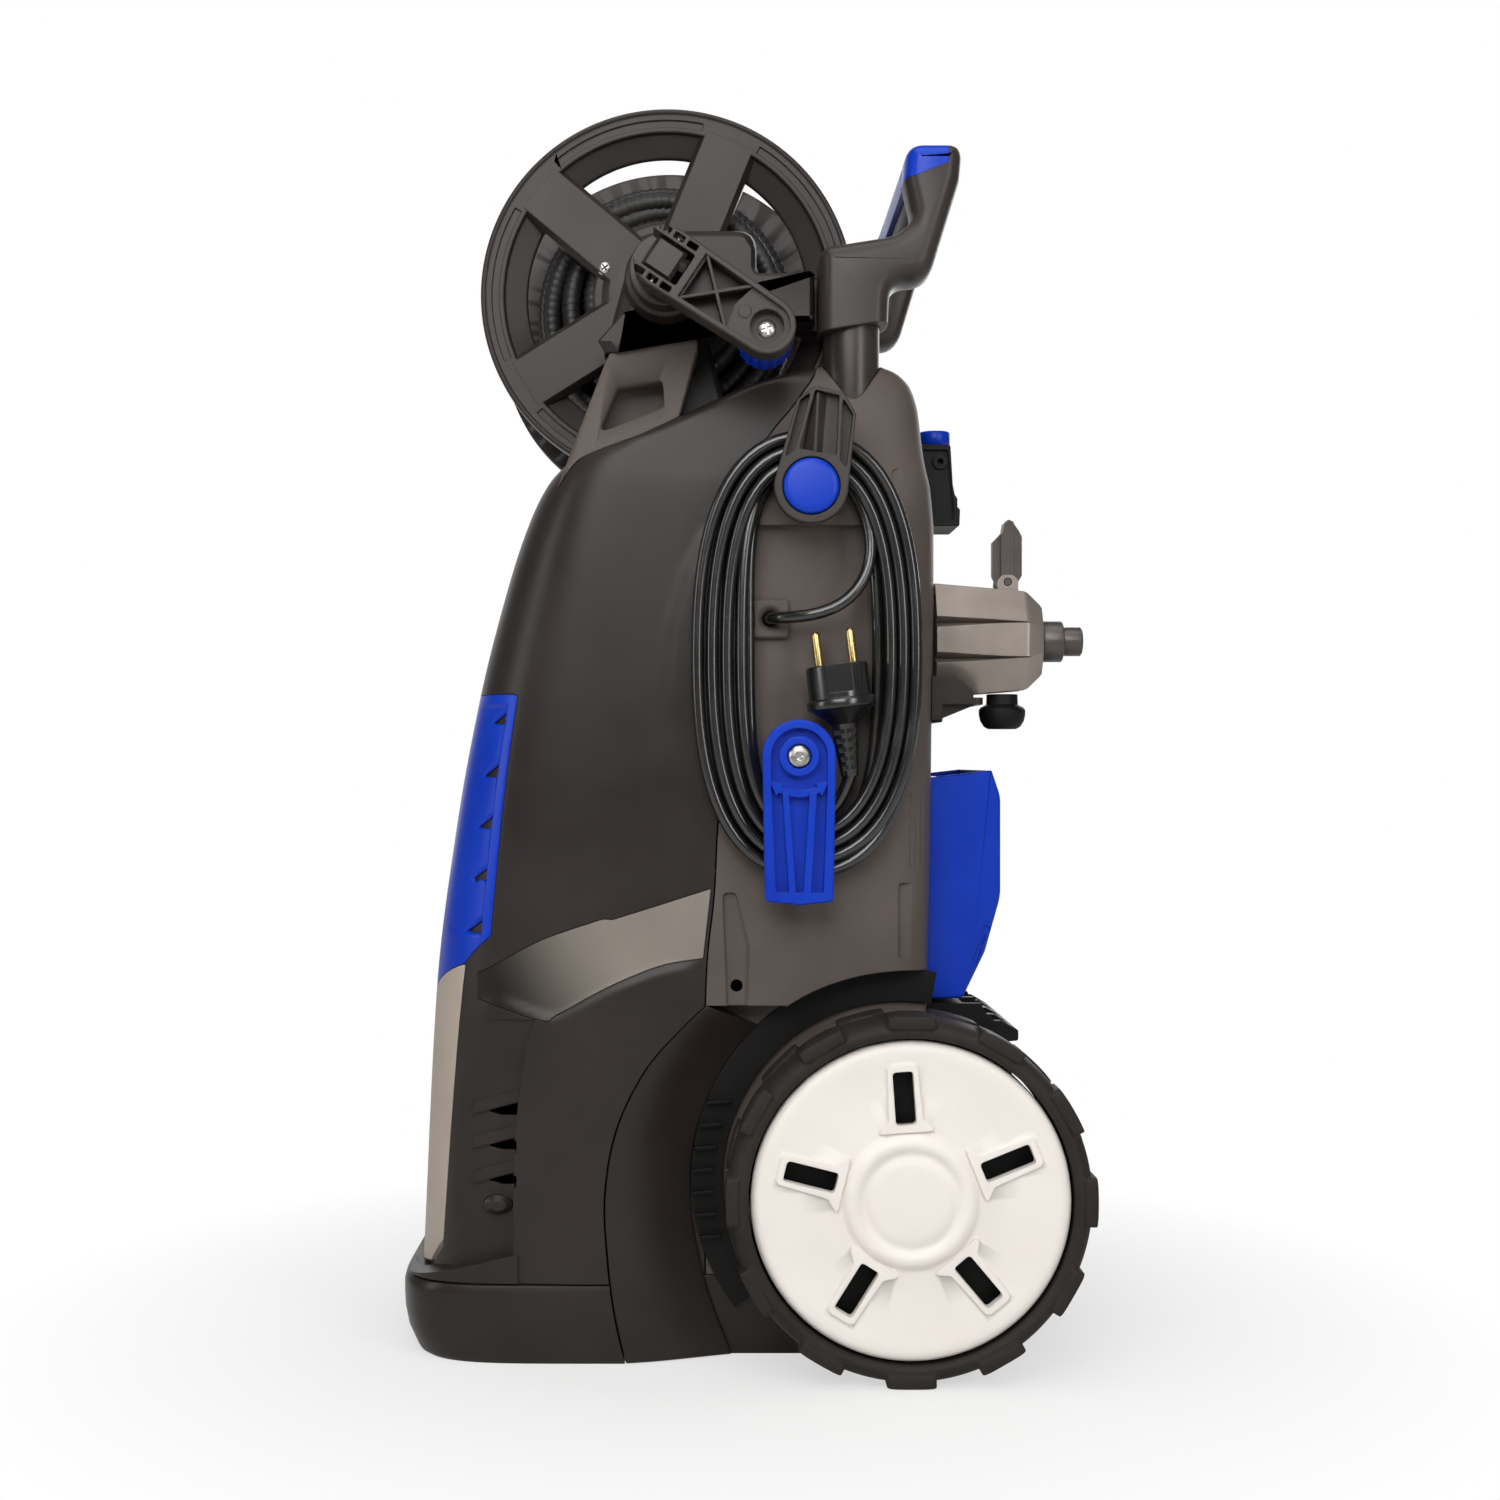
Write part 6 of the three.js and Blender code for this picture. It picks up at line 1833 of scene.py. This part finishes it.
def hook_steps(name, levels):
    """A loft through outlines drawn on the paddle."""
    return stepped(name, "Y", [(y, [on_hook(*point) for point in outline]) for y, outline in levels])


paddle_outline = [*arc((0, 0), 20.2, 180, 360, 32), *rounded([
    (20.2, 0, 0), (16.5, 43, 2.5), (8, 53, 2.5), (-8, 54, 2.5), (-16.5, 45, 2.5), (-20.2, 0, 0),
])[1:-1]]
PADDLE_EDGE = 0.6
paddle = hook_steps("upper_hook_skin", [
    (HOOK_FACE, inset(paddle_outline, PADDLE_EDGE)), (HOOK_FACE + PADDLE_EDGE, paddle_outline),
    (HOOK_FACE + HOOK_DEPTH, paddle_outline),
])
BAYS = (
    [(-17.0, 12.5), (-12.4, 17), (-9.9, 50.2), (-14.9, 44.6)],
    [(-10.4, 18.6), (10.4, 18.6), (5.6, 51.2), (-7.8, 51.6)],
    [(12.4, 17), (17.0, 12.5), (14.9, 42.6), (7.6, 50.4)],
)
bays = [hook_prism("bay", rounded(corners, 1.0), HOOK_FACE - 1, HOOK_FACE + 6.4) for corners in BAYS]
facet = hook_steps("facet", [
    (HOOK_FACE + 2.2, [(-2.2, 19), (-0.8, 19), (-5.4, 51), (-6.6, 51)]),
    (HOOK_FACE + 7, [(-9, 19), (3, 19), (-0.4, 51), (-8, 51)]),
])
post = rod("post", 12, HOOK_FACE + 8, -112, "Y", (UPPER_X, UPPER_Z), 64)
cap_seat = rod("seat", 15.9, HOOK_FACE - 1, HOOK_FACE + 4, "Y", (UPPER_X, UPPER_Z), 80)
paddle = fuse(carve(paddle, *bays), facet, post)
paddle = carve(paddle, cap_seat, housing_form(400, 561))
dress(soften(paddle, 0.35, 2, 32), HIGHLIT_BLACK, "machine", "upper_cord_hook")
cap = turned("upper_cap_skin", [
    (0, -152.0), (11.5, -152.0), (13.8, -151.7), (14.8, -150.8), (15.3, -149.2), (15.4, -146.4), (0, -146.4),
], "Y", (UPPER_X, UPPER_Z), 96)
dress(soften(cap, 0, angle=40), BLUE_ABS, "machine", "upper_hook_cap")

print("upper hook", faces(paddle))


# %% The lower hook's plate and bays
def below(points):
    """Side-view points measured from the lower hook's screw."""
    return [(LOWER_CENTRE[0] + point[0], LOWER_CENTRE[1] + point[1], *point[2:]) for point in points]


def hook_outline(inwards):
    """The lower hook's outline, moved inwards."""
    round_top = arc(LOWER_CENTRE, 20 - inwards, 0, 180, 40)
    foot = rounded(below([
        (-20 + inwards, 0, 0), (-18.6 + inwards, -79 + inwards, 3), (0, -81 + inwards, 20),
        (18.6 - inwards, -79 + inwards, 3), (20 - inwards, 0, 0),
    ]))
    return [*round_top, *foot[1:-1]]


PLATE_EDGE = 0.8
lower_hook = stepped("lower_hook_skin", "Y", [
    (HOOK_FACE, hook_outline(PLATE_EDGE)), (HOOK_FACE + PLATE_EDGE, hook_outline(0)),
    (HOOK_FACE + HOOK_DEPTH, hook_outline(0)),
])
HOOK_FLOOR = HOOK_FACE + 6.2
LOWER_BAYS = (
    [(-15.2, -19), (-9.3, -19), (-5.6, -74.3), (-12.8, -74.3)],
    [(-5.8, -19), (5.6, -19), (2.2, -74.3), (-1.8, -74.3)],
    [(9.5, -19), (15.2, -19), (13.2, -74.3), (6.4, -74.3)],
)
round_bay = [*arc(LOWER_CENTRE, 15.4, 0, 180, 32), *below([(-15.4, -20), (15.4, -20)])]
rooms = [
    prism("bay", outline, "Y", -152, HOOK_FLOOR)
    for outline in (round_bay, *[rounded(below(corners), 1.2) for corners in LOWER_BAYS])
]
lower_hook = carve(lower_hook, *rooms)
print("hollowed plate", faces(lower_hook))

# %% The lower hook's arrow, hub and screw
ARROW_TOP = [(-16.2, -13.6), (-8.9, -15.0), (-9.7, -16.8), (-5, -18.0), (0, -18.4)]
ARROW_FOOT = [(0, -22.4), (-5.6, -21.8), (-11.2, -19.8), (-12.4, -21.8)]
arrow = [
    *ARROW_TOP, *[(-x, z) for x, z in ARROW_TOP[-2::-1]],
    *[(-x, z) for x, z in ARROW_FOOT[::-1]], *ARROW_FOOT[1:],
]
raised = prism("arrow", below(arrow), "Y", HOOK_FACE + 1.2, HOOK_FLOOR + 1)
hub = turned("hub", [
    (6.6, HOOK_FACE + 0.6), (7.2, HOOK_FACE), (10.4, HOOK_FACE), (11, HOOK_FACE + 0.6), (11, HOOK_FLOOR + 1),
    (0, HOOK_FLOOR + 1), (0, HOOK_FACE + 3.4), (6.6, HOOK_FACE + 3.4),
], "Y", LOWER_CENTRE, 80)
stem = rod("stem", 11.5, HOOK_FACE + 8, -112.9, "Y", LOWER_CENTRE, 64)
lower_hook = fuse(lower_hook, raised, hub, stem)
lower_hook = carve(lower_hook, rod("bore", 3, -160, -100, "Y", LOWER_CENTRE, 32))
dress(soften(lower_hook, 0.4, 2, 32), BLUE_ABS, "cord_hook", "lower_cord_hook")
lower_screw = turned("lower_screw_skin", [
    (0, -150.9), (2.2, -150.9), (2.6, -151.4), (4.6, -151.2), (5.7, -150.2), (6, -148.8), (6, -147.6),
    (2.6, -147.4), (2.6, -104), (0, -104),
], "Y", LOWER_CENTRE, 64)
lower_screw = carve(lower_screw, cross_recess("drive", LOWER_CENTRE, 2.6, -151.4, 1.9, 32))
dress(soften(lower_screw, 0.2, 2, 34), ZINC_STEEL, "machine", "lower_hook_screw")
print("lower hook", faces(lower_hook))

# %% [markdown]
# ## Gland and plug
# The cord leaves the housing through a square gland with a flared mouth, and ends in a moulded plug. The
# plug's strain relief is a slim cone with slots cut in from both sides, each row facing the gaps of the
# next, so that it bends. The plug is turned upright and laid in place by one matrix.

# %% Cable gland
GLAND_X, GLAND_Z = GLAND_CENTRE
gland = stepped("cable_gland_skin", "Y", [
    (depth, box_outline(GLAND_X - half, GLAND_X + half, GLAND_Z - half, GLAND_Z + half, corner))
    for depth, half, corner in ((-117.4, 9.8, 2.4), (-116.4, 11, 2.8), (-112.9, 11, 2.8))
])
gland = fuse(gland, rod("neck", 5.4, -113.5, -107.5, "Y", GLAND_CENTRE, 48))
gland_mouth = turned("mouth", [
    (0, -105), (3.9, -105), (3.9, -112), (4.6, -114.4), (6.2, -116.2), (8.6, -117.6), (8.6, -119), (0, -119),
], "Y", GLAND_CENTRE, 64)
dress(soften(carve(gland, gland_mouth), 0.3, 2, 32), GRAINED_BLACK, "machine", "cable_gland")
print("gland", faces(gland))

# %% Mains plug
PLUG_PLACE = Matrix.Translation(Vector((57.8, -132, 328)) * MM) @ Matrix.Rotation(math.radians(-7), 4, "Y")
plug = turned("mains_plug_skin", [
    (0, 0), (4.5, 0), (4.9, 1), (7.4, 26), (7.8, 29), (9.4, 30.6), (13.6, 34.6), (17.4, 37.4), (18.8, 38.4),
    (19, 39.4), (19, 42), (18.4, 43), (17.4, 43.6), (17.2, 60.6), (16.4, 61.9), (0, 62),
], "Z", (0, 0), 80)
RELIEF_ROWS = 5
relief_slots = []
for k in range(RELIEF_ROWS):
    low = 3.5 + 5.0 * k
    for side in (0, 1):
        left, right = (-9, -0.7) if (k + side) % 2 else (0.7, 9)
        across = box_outline(left, right, low, low + 2.6, 0.6)
        for near, far in ((-9, -4.0), (4.0, 9)):
            relief_slots.append(prism("slot", across, "Y", near, far))
flats = [
    prism("flat", box_outline(-6.6, 6.6, 46.5, 64, 0.8), "Y", *reach) for reach in ((-20, -14.6), (14.6, 20))
]
earth_groove = prism("groove", box_outline(7.6, 10.4, 45.5, 64, 0.6), "Y", -20, -9.5)
plug = soften(carve(plug, *relief_slots, *flats, earth_groove), 0.3, 2, 34)
plug.data.transform(PLUG_PLACE)
dress(plug, CORD_PVC, "machine", "mains_plug")
PLUG_PIN = [(0, 62.4), (2.4, 62.4), (2.4, 79.4), (2.0, 80.8), (0.9, 81.4), (0, 81.4)]
for across, name in ((-9.5, "left"), (9.5, "right")):
    pin = turned(name + "_pin_skin", PLUG_PIN, "Z", (across, 0), 40)
    pin.data.transform(PLUG_PLACE)
    dress(soften(pin, 0, angle=50), BRASS, "machine", name + "_plug_pin")
print("plug", faces(plug))

# %% [markdown]
# ## Spray gun and its holder
# The gun hangs behind the machine with its nose in a holder. Its barrel is an eight-sided tapering loft in
# silver-grey plastic, with a long V groove between the facets; the upright lever has a dark inner strip.
# Lofts give clean flat facets, and the grooves are wedges cut out of them.

# %% Gun barrel
GUN_Y, GUN_Z = -66.0, 406.0
GUN_START, GUN_END = 110.6, 173.0
GUN_SHARES = [(-1, -0.36), (-0.5, -1), (0.5, -1), (1, -0.36), (1, 0.36), (0.5, 1), (-0.5, 1), (-1, 0.36)]


def gun_outline(wide, high):
    """The barrel's outline from half its width and half its height."""
    return rounded([(GUN_Y + a * wide, GUN_Z + b * high) for a, b in GUN_SHARES], 1.4, 3)


barrel = stepped("gun_body_skin", "X", [
    (GUN_START, gun_outline(24, 33)), (162, gun_outline(22.2, 28.7)), (164.4, gun_outline(21.4, 27.6)),
    (171.6, gun_outline(16.6, 21.0)), (GUN_END, gun_outline(15.2, 19.2)),
])
GROOVE_ENDS = ((GUN_START - 1, 6.4, 14.4, 12.5), (GUN_START + 54, 9.2, 10.6, 19.6))
wedges = []
for side in (-1, 1):
    for up in (-1, 1):
        levels = []
        for x, low_edge, high_edge, deep in GROOVE_ENDS:
            middle = (low_edge + high_edge) / 2
            corners = [(26, high_edge), (deep, middle), (26, low_edge)]
            levels.append((x, [(GUN_Y + side * out, GUN_Z + up * high) for out, high in corners]))
        wedges.append(stepped("wedge", "X", levels))
nose_hole = prism("nose_hole", box_outline(141, 163, GUN_Z - 34, GUN_Z - 27.4, 2), "Y", GUN_Y - 8, GUN_Y + 8)
lugs = [
    prism("lug", rounded([
        (147, GUN_Z + 20, 0), (147, GUN_Z + 35, 2.5), (150, GUN_Z + 38, 2.5), (156, GUN_Z + 38, 2.5),
        (159, GUN_Z + 35, 2.5), (159, GUN_Z + 20, 0),
    ]), "Y", GUN_Y + way * 8 - 2, GUN_Y + way * 8 + 2) for way in (-1, 1)
]
LEVER_PIVOT = (153, GUN_Z + 34)
lever_slot = prism(
    "lever_slot", box_outline(143.4, 162.6, GUN_Z + 24, GUN_Z + 42, 0.8), "Y", GUN_Y - 6, GUN_Y + 6,
)
pivot = rod("pivot", 2.4, GUN_Y - 12, GUN_Y + 12, "Y", LEVER_PIVOT, 24)
barrel = carve(fuse(barrel, *lugs), *wedges, lever_slot, pivot, nose_hole)
dress(soften(barrel, 0.4, 2, 26), SILVER_ABS, "gun", "gun_body")
print("barrel", faces(barrel))

# %% Gun spigot and inlet nut
spigot = turned("gun_spigot_skin", [
    (4, 174), (4, 197), (7.6, 197), (8.5, 196.2), (8.5, 187.6), (8.2, 186.6), (8.2, 185.6), (11.4, 185.6),
    (12, 185), (12, 174.6), (11.4, 173.4), (6, 173.4), (4, 175),
], "X", (GUN_Y, GUN_Z), 64)
dress(soften(spigot, 0, angle=30), LEVER_GREY, "gun", "gun_spigot")
inlet_nut = turned("gun_inlet_nut_skin", [
    (0, 355), (8.2, 355), (10.6, 356.4), (12.6, 359.6), (13.4, 363), (13.5, 366), (12.4, 367.6),
    (9.2, 369.2), (9, 375.2), (0, 375.2),
], "Z", (151, GUN_Y), 64)
grip_cuts = ring_of(
    "grip_cuts", prism("grip_cut", box_outline(164.2, 167, GUN_Y - 1.6, GUN_Y + 1.6, 0.8), "Z", 350, 372), 5,
    (151, GUN_Y, 0), "Z", DEEP_BLACK,
)
dress(soften(carve(inlet_nut, grip_cuts), 0.4, 2, 30), DEEP_BLACK, "gun", "gun_inlet_nut")
print("spigot", faces(spigot), "nut", faces(inlet_nut))

# %% Gun lever
LEVER_SIDE = [
    (149, 436), (157, 436), (162, 444), (162, 466.6), (160.4, 470), (156.4, 475.6), (153.8, 476.5),
    (151.6, 474.6), (150.6, 469.4), (145, 463.6), (145, 444),
]
lever = prism("gun_trigger_skin", rounded(LEVER_SIDE, 0.9, 3), "Y", GUN_Y - 5.6, GUN_Y + 5.6)
facets = [
    prism("facet", [(157.2, 430), (170, 430), (170, 480), (157.2, 480)], "Y", *reach)
    for reach in ((GUN_Y - 9, GUN_Y - 4.0), (GUN_Y + 4.0, GUN_Y + 9))
]
strips = [
    prism("strip", [(140, 441), (149.6, 441), (149.6, 480), (140, 480)], "Y", *reach)
    for reach in ((GUN_Y - 9, GUN_Y - 3.4), (GUN_Y + 3.4, GUN_Y + 9))
]
lever = carve(lever, *facets, *strips)
lever = fuse(lever, rod("hinge", 2, GUN_Y - 9.9, GUN_Y + 9.9, "Y", LEVER_PIVOT, 24))
dress(soften(lever, 0.5, 2, 28), LEVER_GREY, "trigger", "gun_trigger")
print("lever", faces(lever))

# %% Gun holder
SHELF = GUN_Z - 33.4  # the height of the shelf's top
wall = prism("gun_holder_skin", rounded([
    (GUN_Y - 29, SHELF, 0), (GUN_Y - 29, SHELF - 14, 4), (GUN_Y + 29, SHELF - 14, 4), (GUN_Y + 29, SHELF, 0),
]), "X", GUN_START - 6, GUN_START + 2.5)
shelf = prism("shelf", rounded([
    (GUN_START - 6, GUN_Y - 29, 0), (GUN_START + 26, GUN_Y - 29, 5), (GUN_START + 26, GUN_Y + 29, 5),
    (GUN_START - 6, GUN_Y + 29, 0),
]), "Z", SHELF - 4, SHELF)
lips = [
    prism("lip", rounded([
        (GUN_START - 6, SHELF - 2, 0), (GUN_START + 20, SHELF - 2, 0), (GUN_START + 20, SHELF + 4, 3),
        (GUN_START + 10, SHELF + 12, 3), (GUN_START - 6, SHELF + 12, 0),
    ]), "Y", low, low + 4) for low in (GUN_Y - 29, GUN_Y + 25)
]
gussets = [
    prism("gusset", [
        (GUN_START, SHELF - 13), (GUN_START + 22, SHELF - 4), (GUN_START, SHELF - 4),
    ], "Y", low, low + 2)
    for low in (GUN_Y - 24, GUN_Y - 1, GUN_Y + 22)
]
wall = carve(fuse(wall, shelf, *lips, *gussets), housing_form(300, 560))
dress(soften(wall, 0.4, 2, 32), SATIN_BLACK, "machine", "gun_holder")
print("gun holder", faces(wall))

# %% [markdown]
# ## Pieces on the back
# The detergent bin is a thin blue moulding, open at the top, with a keyhole pressed into each end. Above it
# a channel carries the spare nozzle; below it a stepped ledge takes the end of the lance. The bin is a plate
# with its room cut out, so its wall stays 3 mm.

# %% Detergent bin
BIN_SIDE = rounded([
    (100, 326, 0), (100, 199, 0), (127, 199, 4), (140, 226, 22), (149, 258, 34), (149, 316, 24),
    (144, 331, 1),
], steps=9)
BIN_ROOM = rounded([
    (112.6, 345, 0), (112.6, 202, 0), (125, 202, 3), (137, 227, 20), (146, 258.5, 32), (146, 316, 20),
    (140, 345, 0),
], steps=9)
tank = stepped("detergent_bin_skin", "Y", [
    (-74, inset(BIN_SIDE, 1.2)), (-72.8, BIN_SIDE), (72.8, BIN_SIDE), (74, inset(BIN_SIDE, 1.2)),
])
room = prism("room", BIN_ROOM, "Y", -71, 71)
KEYWAY = [(139.4, 239), (141.6, 239), (135.2, 219), (132.6, 220.4)]
keyholes = []
for way in (-1, 1):
    near, far = sorted((way * 73.1, way * 80))
    keyholes.append(rod("keyhole", 2.6, near, far, "Y", (140.5, 238.5), 32))
    keyholes.append(prism("keyway", KEYWAY, "Y", near, far))
tank = soften(carve(tank, room, *keyholes, housing_form(150, 400)), 0.4, 2, 30)
dress(tank, BLUE_ABS, "machine", "detergent_bin")
print("bin", faces(tank))

# %% Spare nozzle and its channel
channel = prism("accessory_holder_skin", rounded([
    (98, 478, 0), (131.4, 478, 1.2), (131.8, 488, 1.2), (130.2, 489.6, 1.2), (130.2, 494.6, 1.2),
    (128.6, 497, 1.4), (127.4, 503, 1.2), (126, 527, 1.6), (98, 528, 0),
]), "Y", -24, 24)
hole = rod("hole", 8.8, 492, 540, "Z", (119, 0), 48)
EYE_PLACE = (120, 517)
eyes = [rod("eye", 1.7, *reach, "Y", EYE_PLACE, 32) for reach in ((-30, -18), (18, 30))]
bosses = [rod("boss", 4.6, *reach, "Y", EYE_PLACE, 48) for reach in ((-24, -21.4), (21.4, 24))]
relieved = [
    prism("relief", rounded([(104, 482), (128.4, 482), (124.6, 524), (104, 524)], 2), "Y", *reach)
    for reach in ((-30, -21.8), (21.8, 30))
]
channel = fuse(carve(channel, *relieved), *bosses)
channel = carve(channel, hole, *eyes, housing_form(440, 561))
dress(soften(channel, 0.4, 2, 32), DEEP_BLACK, "machine", "accessory_holder")
nozzle = turned("spare_nozzle_skin", [
    (0, 492.4), (4.4, 492.4), (5.2, 493), (7.6, 497.4), (8, 498.6), (8, 528.6), (8.6, 529.6), (9.4, 530.6),
    (9.5, 537.2), (8.9, 538), (4.4, 538), (3.6, 537.2), (3, 534), (0, 534),
], "Z", (119, 0), 64)
nozzle = carve(nozzle, ring_of(
    "nozzle_cuts", rod("nozzle_cut", 0.7, 499, 527, "Z", (127.2, 0), 12), 16, (119, 0, 0), "Z", BLUE_ABS,
))
dress(soften(nozzle, 0, angle=30), BLUE_ABS, "nozzle", "spare_nozzle")
print("channel", faces(channel), "faces, nozzle", faces(nozzle))

# %% Lance ledge
step_side = rounded([
    (98, 168, 0), (128, 171, 1), (160, 174, 1.6), (160, 180, 1.6), (150, 185.6, 1.2), (146, 185.6, 0.8),
    (140, 191, 1.2), (138.6, 195.6, 1), (98, 196, 0),
])
ledge_block = prism("lance_rest_skin", step_side, "Y", -70, 70)
pockets = [
    prism("pocket", rounded([(128, low), (155, low), (155, low + 27), (128, low + 27)], 3), "Z", 177, 200)
    for low in (-66, -33, 6, 39)
]
ledge_block = carve(ledge_block, *pockets, housing_form(100, 300))
dress(soften(ledge_block, 0.5, 2, 30), DEEP_BLACK, "machine", "lance_rest")
print("lance ledge", faces(ledge_block))

# %% Water inlet
thread = [(10.4 - 0.8 * (k % 2), 148.6 - 1.1 * k) for k in range(14)]
inlet = turned("water_inlet_skin", [
    (6, 121), (6, 150), (9, 150), (10.4, 149.4), *thread, (10.4, 131), (10.5, 128.6), (12.4, 128),
    (13, 127.2), (13, 97), (12, 96), (0, 96), (0, 121),
], "X", (0, 140), 72)
inlet = carve(inlet, housing_form(60, 300))
dress(soften(inlet, 0, angle=30), PALE_ABS, "machine", "water_inlet")
print("water inlet", faces(inlet))

# %% [markdown]
# ## Power switch
# The switch on the front is a turned disc in a round dish, with a bar across it to grip. The bar narrows
# outwards, so it is a loft through three rounded rectangles, joined to the disc.

# %% Switch disc and bar
switch = turned("switch_knob_skin", [
    (0, -137.6), (13.4, -137.6), (15.6, -136.8), (16.6, -135.2), (17, -128.6), (16.4, -127.8), (4, -127.6),
    (4, -112), (0, -112),
], "X", SWITCH_CENTRE, 96)
grip_bar = stepped("bar", "X", [
    (x, box_outline(-w, w, SWITCH_CENTRE[1] - h, SWITCH_CENTRE[1] + h, 1.6))
    for x, w, h in ((-141, 2.8, 13.6), (-139.6, 3.8, 14.8), (-135, 4.4, 15.2))
])
dress(soften(fuse(switch, grip_bar), 0.3, 2, 32), BLUE_ABS, "switch", "switch_knob")
print("switch", faces(switch))

# %% [markdown]
# ## Inside and underneath
# The motor, its fan, the pump and the wheel axle keep the shapes of the frame, because they hardly show.
# They get the finish of the real thing: cast aluminium, moulded ABS, machined brass and zinc-plated steel.

# %% Frame nodes that keep their shape
KEPT_NODES = {"motor": CAST_ALUMINIUM, "motor_fan": BLUE_ABS, "pump": BRASS, "wheel_axle": ZINC_STEEL}
for name, material in KEPT_NODES.items():
    finish_node(name, material)
print("kept nodes", *KEPT_NODES)

dress(mains_cord, CORD_PVC, "machine", "mains_cord_hank", "mains_cord_lead", "mains_cord_tail")
